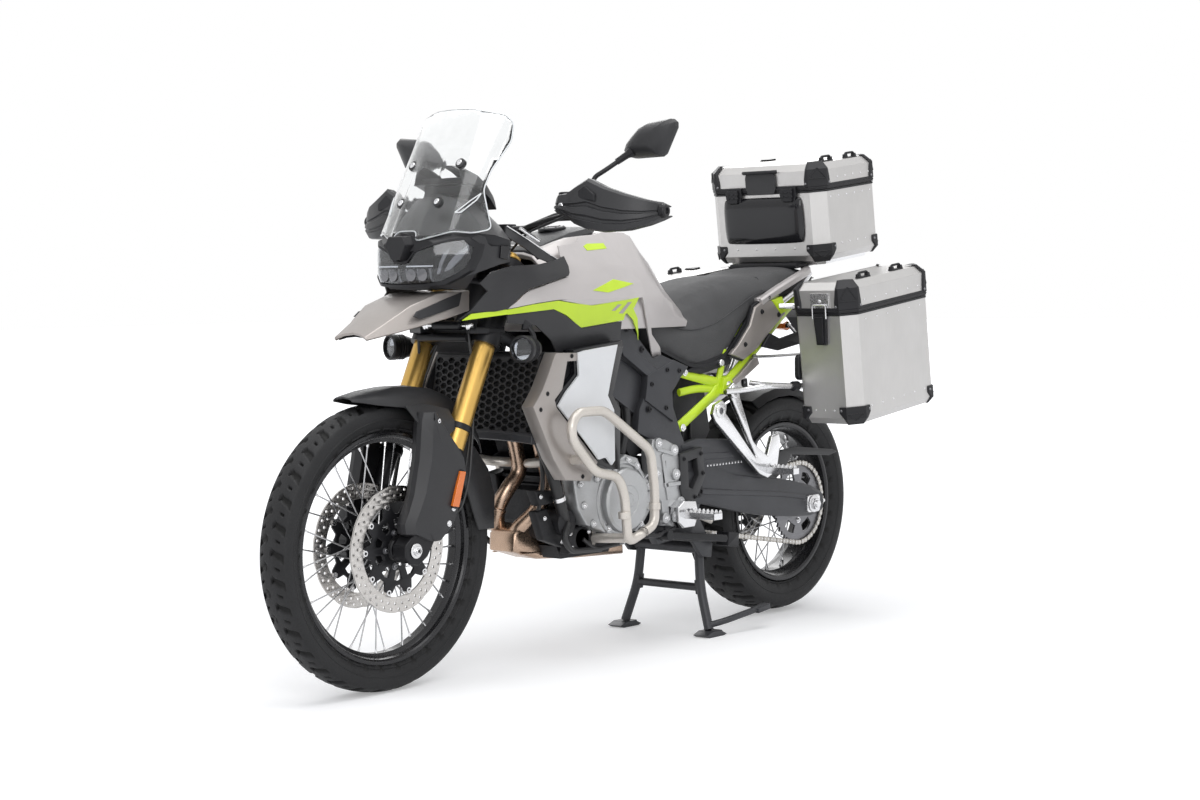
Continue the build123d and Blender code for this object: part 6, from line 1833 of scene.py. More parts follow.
def stuffed(made):
    """Swells a closed form as foam under a cover: cloth with pressure, then held near its first shape."""
    bpy.ops.object.select_all(action="DESELECT")
    made.select_set(True)
    bpy.context.view_layer.objects.active = made
    made.data.remesh_voxel_size = VOXEL
    made.data.remesh_voxel_adaptivity = 0
    bpy.ops.object.voxel_remesh()
    first = np.empty(3 * len(made.data.vertices))
    made.data.vertices.foreach_get("co", first)
    cloth = made.modifiers.new("stuffing", "CLOTH")
    settings = cloth.settings
    settings.use_pressure, settings.uniform_pressure_force = True, 4.0
    settings.tension_stiffness = settings.compression_stiffness = settings.shear_stiffness = 40
    settings.bending_stiffness = 4
    settings.effector_weights.gravity = 0
    settings.quality = 4
    for frame_number in range(1, CLOTH_STEPS + 1):
        bpy.context.scene.frame_set(frame_number)
    baked = bpy.data.meshes.new_from_object(made.evaluated_get(bpy.context.evaluated_depsgraph_get()))
    made.modifiers.clear()
    now = np.empty(3 * len(baked.vertices))
    baked.vertices.foreach_get("co", now)
    shift = (now - first).reshape(-1, 3)
    far = np.linalg.norm(shift, axis=1, keepdims=True)
    shift *= np.minimum(1, CAP / np.maximum(far, 1e-9))
    made.data.vertices.foreach_set("co", (first.reshape(-1, 3) + shift).ravel())
    bpy.data.meshes.remove(baked)
    bpy.context.scene.frame_set(1)
    made.data.update()
    for polygon in made.data.polygons:
        polygon.use_smooth = True
    smooth = made.modifiers.new("even", "SMOOTH")
    smooth.factor, smooth.iterations = 0.5, 6


def seat():
    """The cushion, its piping along the crease and across, and the edge of its base."""
    cushion = piece("seat_cushion", loft([seat_row(*row, -3) for row in SEAT]), "seat_cover", "seat")
    stuffed(cushion)
    crease = [(x, half - 1, z) for x, _, z, _, half, _ in SEAT[1:-1]]
    low = [(x, half - 5, z - 1) for x, z, _, _, half, _ in SEAT[1:-1]]
    piping = [both(pipe(crease, 1.7, 20, 8))]
    _, _, z_crease, ridge, half, top = next(row for row in SEAT if row[0] == -600)
    x = -604
    for side in SIDES:
        seam = [(x, 0, ridge + 1), (x, side * 0.5 * top, ridge), (x, side * top, ridge - 5),
                (x + 4, side * 0.82 * half, ridge - 24), (x + 14, side * half, z_crease)]
        piping.append(pipe(seam, 1.7, 12, 8))
    piece("seat_piping", join(*piping), "seat_cover_side")
    piece("seat_base_edges", both(pipe(low, 4, 20, 8, section=[(-4, -5), (4, -5), (4, 5), (-4, 5)])),
          "black_plastic", bevel=0.8)


seat()


# ---------------------------------------------------------------- rear frame, pegs and swingarm
def rear_frame():
    """The lime tubes under the seat with their bolts, the trays between them and the seat's lock."""
    low = pipe([(-190, 130, 572), (-413, 132, 688), (-582, 128, 796), (-760, 108, 905), (-880, 92, 950)], 12,
               60, section=oval(9, 15))
    upper = pipe([(-228, 122, 731), (-330, 126, 708), (-420, 132, 690)], 12, 40, section=oval(9, 14))
    strut = pipe([(-226, 120, 676), (-300, 122, 684), (-372, 128, 680)], 9, 30, section=oval(7, 11))
    brace = pipe([(-300, 130, 628), (-372, 132, 672), (-400, 130, 722), (-418, 128, 788)], 9, 30,
                 section=oval(8, 11))
    seat_bar = pipe([(-150, 95, 795), (-420, 100, 800), (-600, 105, 870), (-880, 92, 950)], 11, 60, 14)
    tab = plate([(-388, 668), (-420, 664), (-436, 690), (-420, 712), (-394, 706)], 122, 150, 3)
    cross = [pipe([(x, -y, z), (x, y, z)], 11, 1, 14)
             for x, y, z in ((-760, 108, 905), (-420, 128, 788), (-880, 92, 950))]
    piece("rear_frame_tubes", join(both(low, upper, strut, brace, seat_bar, tab), *cross), "lime_paint",
          "rear_subframe", bevel=0.8)
    heads = [bolt(place, LEFT, 7, 6) for place in ((-412, 150, 690), (-210, 146, 582), (-236, 134, 731))]
    piece("rear_frame_bolts", both(*heads), "bright_steel", bevel=0.5)
    under = [plate([(-293, 751), (-368, 766), (-437, 778), (-437, 750), (-308, 727), (-250, 735)],
                   96, 138, 4),
             plate([(-240, 560), (-330, 600), (-350, 740), (-240, 740)], 40, 92, 5),
             plate([(-380, 790), (-560, 800), (-760, 895), (-900, 935), (-900, 950), (-740, 930), (-560, 850),
                    (-380, 805)], 10, 96, 4)]
    piece("under_seat_trays", both(*under), "black_plastic", bevel=1)
    knob = turned([(TIP, 0), (9, 0), (10, 3), (10, 10), (8, 13), (TIP, 13)], (-384, 138, 752), LEFT, 20)
    piece("seat_lock", knob, "bright_steel", bevel=0.5)


# outlines in (x, z)
Y_BRACKET = [(-403, 692), (-420, 684), (-428, 652), (-486, 530), (-500, 516), (-560, 478), (-584, 533),
             (-612, 540), (-618, 520), (-600, 440), (-560, 424), (-524, 437), (-322, 596), (-312, 614),
             (-322, 636), (-350, 646), (-366, 634), (-362, 612), (-500, 478), (-512, 482), (-394, 660),
             (-386, 682)]
BRACKET_EYES = ((-402, 672), (-336, 622))
TOOTH = 7.0


def peg(start, length, wide):
    """A toothed foot peg that points outwards from its pivot."""
    x, y, z = start
    base = prism([(x + wide, z - 13), (x + wide, z + 6), (x - wide, z + 6), (x - wide, z - 13)], y,
                 y + length, taper=0.12)
    teeth = []
    for side in (-1, 1):
        for k in range(int(length / (2 * TOOTH))):
            middle, low = x + side * wide, y + 4 + 2 * TOOTH * k
            rows = [placed([(middle - half, z + up), (middle + half, z + up)], low + ahead, "y")
                    for half, up, ahead in ((4, 5, 0), (2.5, 13, TOOTH / 2), (4, 5, TOOTH))]
            teeth.append(loft(rows, ring=False))
    return base, join(*teeth)


def pegs():
    """The passenger's brackets and pegs, the rider's pegs, the foot levers and the silencer's hanger."""
    bracket = plate(Y_BRACKET, 160, 176, 4)
    web = plate([(-520, 470), (-572, 470), (-590, 520), (-604, 520), (-590, 446), (-548, 432)], 152, 166, 2)
    rings = [lathe([(9, 170), (19, 170), (19, 180), (15, 183), (9, 183)], at, 28) for at in BRACKET_EYES]
    piece("passenger_brackets", both(bracket, web, *rings), "polished_aluminium", "footpegs", bevel=1.2)
    studs = side_bolts(178, BRACKET_EYES, 8, 6)
    base, teeth = peg((-567, 176, 446), 92, 15)
    piece("passenger_pegs", both(base, teeth), "bright_steel", bevel=0.6)
    rider, bites = peg((-168, 196, 356), 100, 20)
    block = plate([(-128, 338), (-150, 322), (-190, 322), (-206, 350), (-196, 382), (-150, 386), (-128, 372)],
                  160, 198, 5)
    piece("rider_pegs", both(rider, bites, block), "bright_steel", bevel=0.8)
    studs += [bolt((-164, 198, 356), LEFT, 9, 7), bolt((-567, 176, 446), LEFT, 7, 5)]
    piece("peg_bolts", both(*studs), "dark_steel", bevel=0.5)
    spring = [turned([(5.2, 0), (6.6, 1.4), (5.2, 2.8)], (-206 - 4 * k, 206, 342 - 1.4 * k), (-1, 0, -0.35),
                     12) for k in range(12)]
    piece("peg_springs", both(*spring), "chain_steel")
    levers = [pipe([(-130, 176, 318), (-40, 190, 306), (40, 196, 318)], 6, 30, 10),
              turned([(TIP, 0), (9, 0), (9, 44), (7, 47), (TIP, 47)], (40, 176, 318), LEFT, 16),
              pipe([(-86, 190, 303), (-230, 196, 286), (-330, 198, 272)], 9, 30, 10, section=oval(6, 10)),
              rod(14, 0, 22, (-86, 176, 303), LEFT, 20)]
    piece("foot_levers", join(*levers), "black_metal", bevel=0.6)
    brake = [pipe([(-130, -176, 330), (-40, -196, 306), (46, -200, 300)], 7, 30, 10),
             plate([(36, 292), (70, 294), (72, 304), (38, 306)], -226, -186, 2),
             turned([(TIP, 0), (12, 0), (12, 70), (9, 76), (TIP, 76)], (-190, -172, 372), (-0.2, 0, 1), 18)]
    piece("brake_pedal", join(*brake), "black_metal", bevel=0.6)
    hanger = [plate([(-590, 450), (-640, 470), (-650, 440), (-600, 420)], -182, -168, 2),
              rod(14, 0, 30, (-628, -180, 448), (0, -1, 0), 20)]
    piece("exhaust_hanger", join(*hanger), "black_metal", bevel=0.6)


SHOCK_AXIS = (0.146, 0, 0.99)
COIL_TURNS, COIL_STEPS = 7, 20
# swingarm: rows of (x, z of its bottom, z of its top, y inside, y outside)
ARM = ((-222, 372, 470, 121, 152), (-300, 366, 482, 121, 160), (-420, 338, 440, 126, 164),
       (-560, 312, 420, 128, 164), (-700, 296, 402, 128, 162), (-800, 290, 380, 130, 160),
       (-858, 300, 356, 130, 158))
CHAIN_GUARD = [(-531, 413), (-600, 456), (-693, 487), (-759, 492), (-947, 472), (-964, 466), (-930, 459),
               (-734, 474), (-700, 430), (-640, 402)]


def swingarm():
    """The arm's beams with their bridges and axle, the chain's guards and the axle blocks."""
    rows = []
    for x, low, high, inside, outside in ARM:
        cut = 0.16 * (high - low)
        rows.append([(x, inside, low + cut), (x, inside + 6, low), (x, outside - 8, low),
                     (x, outside, low + cut), (x, outside, high - cut), (x, outside - 8, high),
                     (x, inside + 6, high), (x, inside, high - cut)])
    arm = loft(rows)
    hump = plate([(-228, 470), (-204, 534), (-270, 545), (-413, 534), (-443, 513), (-520, 452), (-640, 410),
                  (-400, 420), (-300, 440)], 126, 148, 4)
    shelf = plate([(-232, 508), (-420, 500), (-430, 488), (-240, 492)], 100, 150, 3)
    brace = prism([(-238, 440), (-300, 452), (-432, 430), (-432, 392), (-244, 380)], -122, 122)
    axle = rod(11, -172, 172, (REAR["x"], 0, REAR["z"]), LEFT, 20)
    bands = plate([(-270, 410), (-640, 372), (-760, 352), (-760, 344), (-640, 362), (-270, 398)], 158, 167, 2)
    piece("swingarm_beams", join(both(arm, bands), hump, shelf, brace, axle), "frame_paint", "swingarm",
          bevel=1.8)
    slider = join(*[prism([(-300 - 14 * k, 470), (-306 - 14 * k, 470), (-303 - 14 * k, 476)], 122, 158)
                    for k in range(12)])
    piece("chain_slider", slider, "bright_steel")
    guard = plate(CHAIN_GUARD, 124, 132, 2)
    shield = prism([(-560, 466), (-700, 488), (-950, 468), (-950, 464), (-700, 482), (-560, 460)], 92, 130)
    piece("chain_guard", join(guard, shield), "fine_plastic", bevel=1.2)
    blocks = plate(rounded_box(-826, -768, 304, 350, 8), 156, 168, 2)
    nut = turned([(TIP, 0), (19, 0), (19, 4), (16, 5), (16, 14), (11, 15), (11, 22), (TIP, 22)],
                 (REAR["x"], 166, REAR["z"]), LEFT, 6)
    piece("axle_blocks", both(blocks, bolt((-866, 145, 328), (-1, 0, 0), 6, 14)), "polished_aluminium",
          bevel=0.8)
    piece("axle_nuts", both(nut), "bright_steel", bevel=0.8)


def rear_shock():
    """The shock's body with its spring between two caps, and its gold reservoir."""
    strut = turned([(TIP, -6), (40, -6), (46, 0), (46, 6), (TIP, 6)], (-322, 0, 526), SHOCK_AXIS, 28)
    coil = []
    for k in range(COIL_TURNS * COIL_STEPS):
        turn, up = 2 * pi * k / COIL_STEPS, 500 + 210 * k / (COIL_TURNS * COIL_STEPS - 1)
        x = -330 + 40 * (up - 470) / 270
        coil.append((x + 38 * cos(turn), 38 * sin(turn), up))
    spring = pipe(coil, 6, 0.1, 8, steps=1)
    body = turned([(TIP, 0), (20, 0), (22, 6), (22, 120), (12, 124), (12, 230), (24, 232), (24, 262),
                   (TIP, 268)], (-331, 0, 470), SHOCK_AXIS, 28)
    caps = [turned([(20, -6), (48, -5), (48, 4), (20, 6)], (-326 + 40 * (z - 500) / 270, 0, z), SHOCK_AXIS,
                   32) for z in (496, 716)]
    piece("shock_body", join(body, strut, *caps), "black_metal", "rear_shock", bevel=0.8)
    piece("shock_spring", spring, "bar_paint")
    tank = turned([(TIP, 0), (22, 2), (24, 6), (24, 92), (22, 98), (TIP, 100)], (-250, -112, 620),
                  (-0.3, 0, 1), 26)
    piece("shock_reservoir", tank, "gold_anodised", bevel=0.6)


def rear_caliper():
    """The caliper over the rear disc, with its bolts and its hose along the arm."""
    cal = plate([(-694, 446), (-640, 402), (-596, 450), (-610, 478), (-652, 496), (-690, 478)], -128, -104, 4)
    inner = plate([(-690, 444), (-642, 406), (-602, 450), (-650, 488)], -90, -80, 2)
    bridge = plate([(-640, 500), (-596, 474), (-590, 440), (-608, 446), (-614, 470), (-646, 490)], -124, -82,
                   2)
    piece("rear_caliper_body", join(cal, inner, bridge), "black_metal", "rear_caliper", bevel=0.8)
    screws = side_bolts(-128, ((-672, 452), (-626, 430), (-640, 474)), 5, 6)
    piece("rear_caliper_bolts", join(*screws), "bright_steel", bevel=0.4)
    hose = pipe([(-620, -128, 470), (-560, -150, 480), (-420, -166, 440), (-260, -168, 430),
                 (-200, -166, 400)], 4, 40, 8)
    piece("rear_brake_hose", hose, "hose_rubber")


rear_frame()
pegs()
swingarm()
rear_shock()
rear_caliper()


# ---------------------------------------------------------------- tail, racks and stands
# outlines in (x, z)
TAIL = [(-424, 776), (-455, 798), (-510, 850), (-534, 900), (-560, 912), (-614, 918), (-662, 904),
        (-670, 884), (-629, 857), (-541, 793), (-477, 762)]
TAIL_EDGE = [(-420, 770), (-449, 800), (-504, 852), (-528, 906), (-560, 920), (-614, 925), (-668, 910),
             (-677, 884), (-632, 850), (-543, 786), (-477, 755)]
TAIL_LOW = [(-411, 684), (-473, 719), (-544, 767), (-556, 744), (-504, 717), (-449, 692)]
TAIL_CAP = [(-612, 920), (-656, 929), (-676, 890), (-652, 884)]
GRAB = [(-560, 148, 916), (-636, 150, 948), (-740, 148, 984), (-820, 132, 1004), (-850, 104, 1010)]


def tail():
    """The tail's covers and edges, its lime caps, and the grab rails."""
    piece("tail_edges", both(plate(TAIL_EDGE, 138, 150, 2)), "black_plastic", bevel=1)
    piece("tail_covers", both(plate(TAIL, 142, 158, 4)), "champagne_paint", "tail_panels", bevel=1)
    piece("tail_low_covers", both(plate(TAIL_LOW, 134, 150, 3)), "champagne_paint", bevel=1)
    piece("tail_caps", both(plate(TAIL_CAP, 143, 160, 2)), "lime_paint", bevel=0.8)
    rail = pipe(GRAB, 11, 40, section=[(-13, -6), (-8, -11), (8, -11), (13, -6), (13, 6), (8, 11),
                                       (-8, 11), (-13, 6)])
    foot = plate([(-556, 926), (-600, 938), (-640, 950), (-652, 936), (-600, 912), (-566, 900)], 134, 150, 3)
    piece("grab_rails", both(rail, foot), "silver_paint", bevel=1)
    studs = side_bolts(158, ((-592, 930), (-480, 800), (-640, 880), (-560, 890)), 5, 5)
    piece("tail_screws", both(*studs), "black_metal", bevel=0.4)


# rows of (x, z, half width, thickness)
HANGER = ((-870, 912, 84, 22), (-940, 906, 80, 22), (-1000, 886, 72, 20), (-1060, 812, 62, 14),
          (-1100, 750, 62, 12), (-1128, 650, 66, 10), (-1138, 566, 70, 8))
# an indicator's section, as (x, z) from its middle
INDICATOR = ((-20, -10), (-20, 10), (-6, 15), (16, 8), (16, -8), (-6, -15))


def plate_hanger():
    """The rear mudguard that carries the blank plate, with the tail lamp and the indicators."""
    hanger = []
    for x, z, wide, thick in HANGER:
        low_x = x + thick * 0.3
        hanger.append([(x, -wide, z), (low_x, -wide * 0.94, z - thick), (low_x, wide * 0.94, z - thick),
                       (x, wide, z), (x - 3, wide * 0.9, z + 5), (x - 3, -wide * 0.9, z + 5)])
    ribs = [prism([(-1040, 832), (-1128, 648), (-1124, 646), (-1036, 828)], y - 2, y + 2)
            for y in (-40, -14, 14, 40)]
    piece("plate_hanger", join(loft(hanger), *ribs), "black_plastic", "rear_mudguard", bevel=2)
    piece("blank_plate", flat([[(-88, 566), (88, 566), (88, 690), (-88, 690)]], -1131, -1128, "x", 0.8),
          "champagne_paint")
    lens = [(-1004, 902), (-1040, 900), (-1044, 884), (-1036, 868), (-1018, 872)]
    piece("tail_lamp_lens", plate(lens, -58, 58, 4), "red_lens", "tail_lamp", bevel=1)
    lines = [prism([(-1043, z), (-1046, z), (-1046, z + 3), (-1043, z + 3)], -54, 54)
             for z in (876, 882, 888, 894)]
    piece("tail_lamp_rows", join(*lines), "red_lens")
    piece("tail_lamp_hood", plate([(-990, 912), (-1040, 908), (-1044, 902), (-1000, 902)], -64, 64, 2),
          "black_plastic", bevel=0.8)
    stalks, lights = [], []
    for side in SIDES:
        stalks.append(pipe([(-1030, side * 50, 838), (-1034, side * 96, 838)], 6, 1, 10))
        rows = [[(-1034 + a * (1 - 0.3 * t), side * (96 + 66 * t), 838 + b * (1 - 0.35 * t))
                 for a, b in INDICATOR] for t in (0, 0.3, 0.7, 1)]
        lights.append(loft(rows))
    piece("indicator_stalks", join(*stalks), "black_plastic")
    piece("rear_indicators", join(*lights), "amber_lens", bevel=2)


RACK_Y = 242


def racks():
    """The side racks with their rods, stays and locks, and the deck under the top case."""
    low = pipe([(-348, 186, 674), (-420, 200, 676), (-470, 236, 686), (-679, RACK_Y, 677),
                (-930, RACK_Y, 690), (-972, RACK_Y, 760), (-950, RACK_Y, 890), (-900, RACK_Y, 930),
                (-700, RACK_Y, 905), (-640, 160, 905)], 8, 30, 12)
    brace = pipe([(-694, 150, 855), (-785, 152, 786), (-770, 154, 764), (-620, 152, 762),
                  (-524, 150, 764)], 4.5, 26, 10)
    stay = pipe([(-640, 150, 905), (-760, 148, 956), (-860, 112, 996)], 9, 50, 12)
    links = [pipe([(x, RACK_Y, z), (x, 176, z), (x + 24, 130, z + 6)], 7, 20, 10)
             for x, z in ((-900, 928), (-560, 684))]
    piece("rack_tubes", both(low, brace, stay, *links), "bright_steel", "luggage_racks")
    strap = plate([(-564, 793), (-597, 825), (-645, 809), (-735, 826), (-743, 797), (-636, 781)], 150, 162, 3)
    lock = plate(rounded_box(-700, -608, 700, 765, 12), 236, 253, 4)
    clamp = [turned([(9, -12), (14, -11), (14, 11), (9, 12)], (x, RACK_Y, z), (1, 0, 0), 18)
             for x, z in ((-600, 680), (-760, 680), (-860, 684))]
    piece("rack_locks", both(strap, lock, *clamp), "black_plastic", bevel=1)
    key = turned([(TIP, 0), (15, 0), (15, 3), (12, 5), (TIP, 5)], (-640, 253, 732), LEFT, 26)
    piece("rack_lock_barrels", both(key), "bright_steel", bevel=0.5)
    tilted = Matrix.Translation(TOP_CASE_AT) @ Matrix.Rotation(TILT, 4, "Y")
    deck = flat([[(26, 116), (-256, 116), (-256, -116), (26, -116)],
                 [(-44, 44), (-184, 44), (-184, -44), (-44, -44)]], -16, -1, "z", 3)
    slots = [flat([[(x, y - 8), (x - 60, y - 8), (x - 60, y + 8), (x, y + 8)]], -19, -15, "z", 1)
             for x in (10, -170) for y in (-80, 80)]
    piece("top_rack_deck", moved(join(deck, *slots), tilted), "black_metal", bevel=1)


def stands():
    """The centre stand with its feet and tang, and the side stand's leg."""
    foot_x = -312
    legs = pipe([(-330, 102, 240), (-324, 112, 130), (foot_x, 150, 17)], 13, 40, 16)
    pad = plate([(foot_x - 42, 4), (foot_x - 30, 0.4), (foot_x + 30, 0.4), (foot_x + 42, 6),
                 (foot_x + 20, 14), (foot_x - 20, 14)], 128, 178, 1.5)
    grips = [prism([(foot_x - 30 + 12 * k, 12), (foot_x - 26 + 12 * k, 12), (foot_x - 26 + 12 * k, 15.4),
                    (foot_x - 30 + 12 * k, 15.4)], 132, 174) for k in range(5)]
    gusset = plate([(-338, 150), (-312, 150), (-318, 112), (-332, 112)], 100, 108, 1)
    barrel = rod(17, -118, 118, (-330, 0, 240), LEFT, 24)
    tie = pipe([(-324, -114, 130), (-324, 114, 130)], 11, 1, 14)
    tang = pipe([(foot_x, 150, 30), (foot_x - 40, 178, 40), (foot_x - 190, 196, 62)], 9, 30, 12)
    foot = plate([(foot_x - 212, 56), (foot_x - 160, 50), (foot_x - 158, 60), (foot_x - 210, 68)], 176, 206,
                 2)
    piece("centre_stand_legs", join(both(legs, pad, gusset, *grips), barrel, tie, tang, foot), "frame_paint",
          "centre_stand", body="centre_stand", bevel=1)
    nuts = both(bolt((-330, 118, 240), LEFT, 9, 7))
    piece("centre_stand_pivots", nuts, "bright_steel", body="centre_stand", bevel=0.5)
    px, py, pz = SIDE_PIVOT
    boss = turned([(6.5, -14), (14, -14), (14, 14), (6.5, 14)], SIDE_PIVOT, SIDE_AXIS, 24)
    boss = loft_ring(boss, 24, 4)
    leg = pipe([(px - 12, py, pz - 2), (px - 120, py + 4, pz - 18), (px - 275, py + 4, pz - 34)], 12, 60, 14,
               radii=(1.05, 0.85))
    end = plate([(px - 289, pz - 58), (px - 245, pz - 50), (px - 249, pz - 16), (px - 293, pz - 22)], py - 16,
                py + 28, 2)
    piece("side_stand_leg", join(boss, leg, end), "black_metal", "side_stand", body="side_stand", bevel=1)


def loft_ring(part, sides, rows):
    """Closes a turned part along its bore, from its last row to its first, without its end caps."""
    points, faces = part
    keep = [f for f in faces if len(f) == 4]
    keep += [((rows - 1) * sides + i, (rows - 1) * sides + (i + 1) % sides, (i + 1) % sides, i)
             for i in range(sides)]
    return points, keep


tail()
plate_hanger()
racks()
stands()


# ---------------------------------------------------------------- lamps, instruments and inner guards
RIVETS = 10  # round the silencer's cap


def fog_lamps():
    """Round lamps on arms beside the radiator, with their leads."""
    back, front = Vector((452, 210, 818)), Vector((521, 228, 819))
    axis = (front - back).normalized()
    shell = turned([(TIP, 0), (16, 0), (21, 6), (27, 22), (30, 34), (31, 56), (33.5, 60), (33.5, 74),
                    (30.5, 77), (27, 77), (26, 66)], back, axis, 48)
    ribs = [turned([(29, k), (32.5, k + 1), (32.5, k + 3), (29, k + 4)], back, axis, 48)
            for k in (36, 43, 50)]
    piece("fog_lamp_shells", both(shell, *ribs), "black_metal", "fog_lamps", bevel=0.6)
    bowl = turned([(26, 66), (22, 58), (12, 52), (TIP, 50)], back, axis, 40)
    piece("fog_lamp_bowls", both(bowl), "lamp_chrome")
    eye = turned([(TIP, 52), (10, 52), (11, 56), (9, 62), (5, 65), (TIP, 66)], back, axis, 28)
    piece("fog_lamp_eyes", both(eye), "lamp_glass")
    glass = turned([(TIP, 73.5), (14, 73), (26, 70.5), (26.6, 69), (TIP, 71)], back, axis, 40)
    piece("fog_lamp_glasses", both(glass), "lamp_glass")
    arm = [pipe([(450, 176, 880), (440, 196, 850), tuple(back + axis * 14)], 6, 16, 10),
           plate([(436, 866), (468, 866), (462, 892), (440, 890)], 178, 186, 1.5)]
    lead = pipe([tuple(back), (430, 196, 822), (420, 170, 850), (410, 150, 880)], 3.2, 16, 8)
    piece("fog_lamp_arms", both(*arm), "black_metal", bevel=0.6)
    piece("fog_lamp_leads", both(lead), "hose_rubber")


def instruments():
    """The dashboard: its hood, screen and case, with the stays below."""
    rows = []
    for x, top, wide in ((455, 1205, 84), (486, 1232, 92), (520, 1254, 94), (552, 1266, 90), (572, 1266, 80)):
        half = [(0, top + 3), (0.6 * wide, top + 1), (0.92 * wide, top - 10), (wide, top - 26),
                (wide + 4, top - 44)]
        rows.append(full_row(x, half))
    piece("instrument_hood", loft(rows, ring=False), "fine_plastic", thick=3, bevel=1)
    face = plate(rounded_box(-52, 52, -34, 34, 8), -6, 6, 1.5)
    turn = Matrix.Translation((474, 0, 1196)) @ Matrix.Rotation(pi / 2, 4, "Z")
    piece("instrument_screen", moved(face, turn @ Matrix.Rotation(radians(-28), 4, "X")), "gloss_black")
    back = prism([(468, 1160), (540, 1196), (548, 1240), (486, 1226)], -76, 76)
    piece("instrument_case", back, "black_plastic", bevel=3)
    stay = pipe([(437, 150, 1114), (414, 156, 1100), (387, 168, 1082)], 4.5, 14, 10)
    piece("cowl_stays", both(stay), "bright_steel")


def inner_guards():
    """The hugger over the rear tyre and the inner walls beside it."""
    hugger = []
    for k in range(8):
        turn = radians(64 + 9.5 * k)
        x, z = polar(axle_of(REAR), 340, turn)
        half = 82 - 1.5 * abs(k - 6)
        curve = ((-half, -26), (-0.8 * half, -4), (0, 3), (0.8 * half, -4), (half, -26))
        hugger.append([(x + u * cos(turn), y, z + u * sin(turn)) for y, u in curve])
    piece("rear_hugger", loft(hugger, ring=False), "black_plastic", thick=3, bevel=1)
    walls = plate([(-150, 520), (-240, 500), (-400, 500), (-440, 560), (-410, 700), (-240, 742), (-150, 760)],
                  52, 60, 2)
    piece("inner_walls", both(walls), "black_plastic", bevel=0.8)
    ribs = [plate([(-200 - 36 * k, 520), (-206 - 36 * k, 520), (-206 - 36 * k, 700), (-200 - 36 * k, 700)],
                  58, 66, 1) for k in range(5)]
    piece("inner_wall_ribs", both(*ribs), "fine_plastic")


def steering_damper():
    """The damper across the lower yoke with its rod and ends, its bridge and the upper brake hoses."""
    body = turned([(TIP, 0), (10, 0), (12, 3), (12, 92), (10, 95), (TIP, 95)], (556, -36, 876), LEFT, 24)
    stem = rod(4.5, 0, 28, (556, 59, 876), LEFT, 16)
    ends = [turned([(TIP, 0), (9, 0), (11, 4), (11, 12), (9, 15), (TIP, 15)], (556, y, 866), (0, 0, 1), 20)
            for y in (-62, 88)]
    ends.append(rod(6, 0, 24, (556, -60, 876), LEFT, 16))
    bridge = flat([[(500, 60), (470, 112), (486, 134), (540, 134), (566, 120), (566, 100), (530, 60),
                    (530, -60), (566, -72), (566, -72), (540, -134), (486, -134), (470, -112), (500, -60)]],
                  856, 872, "z", 3)
    piece("steering_damper_body", join(body, bridge), "black_metal", body="steering", bevel=0.6)
    piece("steering_damper_rod", join(stem, *ends), "bright_steel", body="steering", bevel=0.6)
    hose = [(530, 60, 900), (560, 84, 862), (556, 92, 800), (fork_x(740) - 36, 96, 740),
            (fork_x(700) - 30, 98, 700)]
    hoses = [pipe([(x, side * y, z) for x, y, z in hose], 4, 30, 10) for side in SIDES]
    piece("brake_hoses_upper", join(*hoses), "hose_rubber", body="steering")


def silencer_dress():
    """What the CAD silencer wears: straps, an end cap and its rivets."""
    tail, head = Vector((-960, -232, 478)), Vector((-600, -225, 398))
    axis = (tail - head).normalized()
    rings = [turned([(r, at), (r + 3, at), (r + 3, at + 16), (r, at + 16)], head, axis, 48)
             for r, at in ((53.5, 40), (54.5, 300))]
    piece("silencer_straps", join(*rings), "black_metal", bevel=0.8)
    cap = turned([(55, 342), (57, 346), (57, 364), (52, 374), (24, 380), (20, 376), (20, 352)], head, axis,
                 48)
    piece("silencer_cap", cap, "black_plastic", bevel=0.8)
    around = [across(axis, k) for k in range(RIVETS)]
    rivets = [dome(tuple(head + axis * 352 + out * 56.5), tuple(out), 3, 2) for out in around]
    piece("silencer_rivets", join(*rivets), "bright_steel")


def across(axis, k):
    """A direction across an axis, towards one of the rivets round it."""
    side = axis.cross(Vector((0, 0, 1))).normalized()
    return (Matrix.Rotation(2 * pi * k / RIVETS, 3, axis) @ side).normalized()


fog_lamps()
steering_damper()
silencer_dress()
instruments()
inner_guards()


# ---------------------------------------------------------------- room
FLOOR_TONE = 0.80
FLOOR_GLOW, FLOOR_FAR_GLOW = 0.30, 0.85
FLOOR_FADE = (1.8, 7.0)  # metres from the middle between which the floor's own light rises


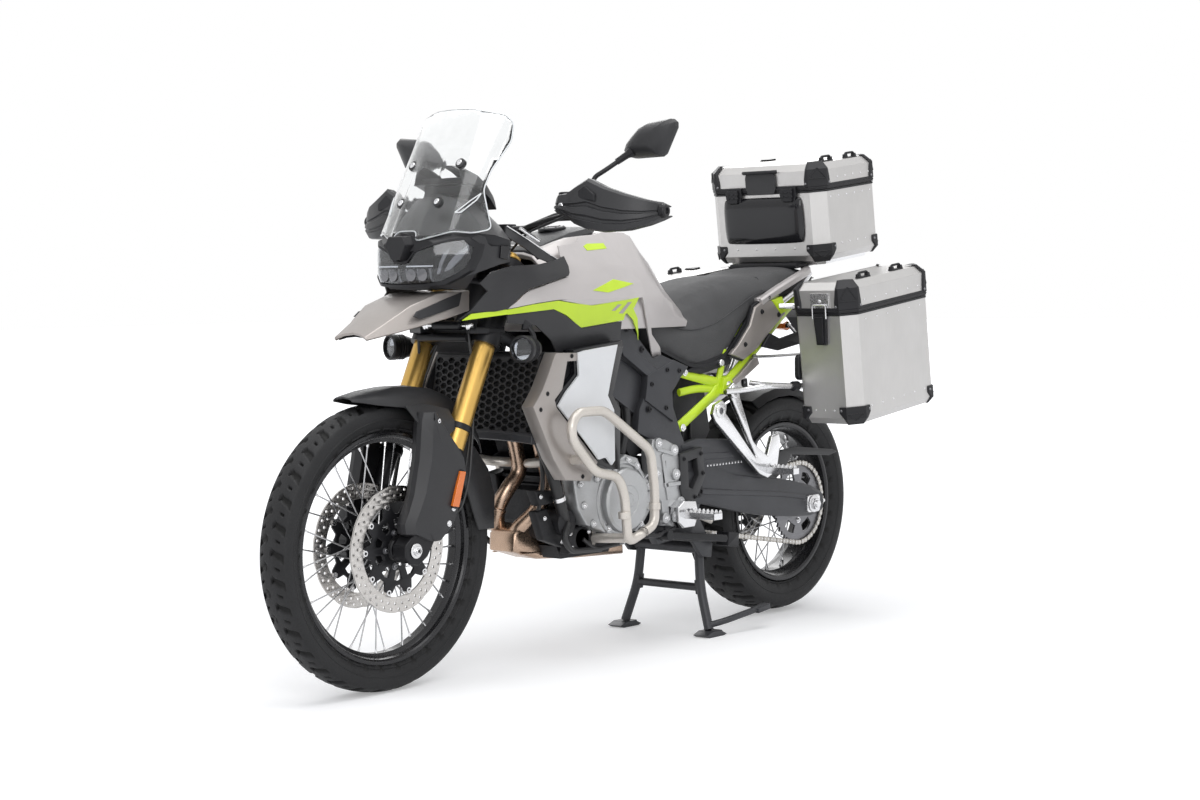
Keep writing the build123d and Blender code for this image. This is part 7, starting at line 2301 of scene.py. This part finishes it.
def add_room():
    """A bright floor that fades into a white world, both seen as white and lighting softly."""
    bpy.ops.mesh.primitive_plane_add(size=80, location=(0, 0, 0))
    floor = bpy.context.object
    floor.name = "floor"
    paint, tree, shader = new_material("floor")
    grain = noise(tree, 6, detail=2)
    tree.links.new(mixed(tree, grain, rgba((FLOOR_TONE,) * 3, 0.99), rgba((FLOOR_TONE,) * 3, 1.01)),
                   shader.inputs["Base Color"])
    shader.inputs["Roughness"].default_value = 0.9
    shader.inputs["Specular IOR Level"].default_value = 0.1
    shader.inputs["Emission Color"].default_value = (1, 1, 1, 1)
    path = tree.nodes.new("ShaderNodeLightPath")
    place = tree.nodes.new("ShaderNodeTexCoord")
    away = node_of(tree, "ShaderNodeVectorMath", in0=place.outputs["Object"])
    away.operation = "LENGTH"
    glow = node_of(tree, "ShaderNodeMapRange", Value=away.outputs["Value"])
    for socket, value in zip(glow.inputs[1:5], (*FLOOR_FADE, FLOOR_GLOW, FLOOR_FAR_GLOW)):
        socket.default_value = value
    tree.links.new(seen_directly(tree, path, glow.outputs[0]), shader.inputs["Emission Strength"])
    floor.data.materials.append(paint)

    world = bpy.data.worlds.new("room")
    bpy.context.scene.world = world
    world.use_nodes = True
    tree = world.node_tree
    path = tree.nodes.new("ShaderNodeLightPath")
    near = node_of(tree, "ShaderNodeBackground", Color=(1, 1, 1, 1), Strength=1.0)
    light = node_of(tree, "ShaderNodeBackground", Color=(0.93, 0.95, 1.0, 1), Strength=0.62)
    pick = tree.nodes.new("ShaderNodeMixShader")
    tree.links.new(seen_directly(tree, path, 1.0), pick.inputs[0])
    tree.links.new(light.outputs[0], pick.inputs[1])
    tree.links.new(near.outputs[0], pick.inputs[2])
    tree.links.new(pick.outputs[0], tree.nodes["World Output"].inputs["Surface"])


def seen_directly(tree, path, strength):
    """The strength for rays that come from the camera, a mirror or clear glass, and 0 for the rest."""
    glossy = node_of(tree, "ShaderNodeMath", in0=path.outputs["Is Camera Ray"],
                     in1=path.outputs["Is Glossy Ray"])
    glossy.operation = "MAXIMUM"
    through = node_of(tree, "ShaderNodeMath", in0=glossy.outputs[0], in1=path.outputs["Is Transmission Ray"])
    through.operation = "MAXIMUM"
    scaled = node_of(tree, "ShaderNodeMath", in0=through.outputs[0], in1=strength)
    scaled.operation = "MULTIPLY"
    return scaled.outputs[0]


def add_lamp(name, place, target, size, power):
    """A rectangular lamp aimed at a point."""
    data = bpy.data.lights.new(name, "AREA")
    data.shape, data.size, data.size_y, data.energy = "RECTANGLE", size[0], size[1], power
    lamp = bpy.data.objects.new(name, data)
    bpy.context.collection.objects.link(lamp)
    lamp.location = place
    lamp.rotation_euler = (Vector(target) - Vector(place)).to_track_quat("-Z", "Y").to_euler()


add_room()
# name, place, point aimed at, size, watts
LAMPS = (
    ("over", (0.4, 0.6, 4.2), (0, 0, 0.4), (4.5, 3.2), 105),
    ("front_left", (3.6, 3.4, 2.6), (0.1, 0, 0.7), (2.2, 2.6), 64),
    ("back_right", (-3.4, -3.0, 3.0), (0, 0, 0.7), (2.5, 2.5), 50),
)
for lamp in LAMPS:
    add_lamp(*lamp)

bpy.context.scene.view_settings.view_transform = "Standard"
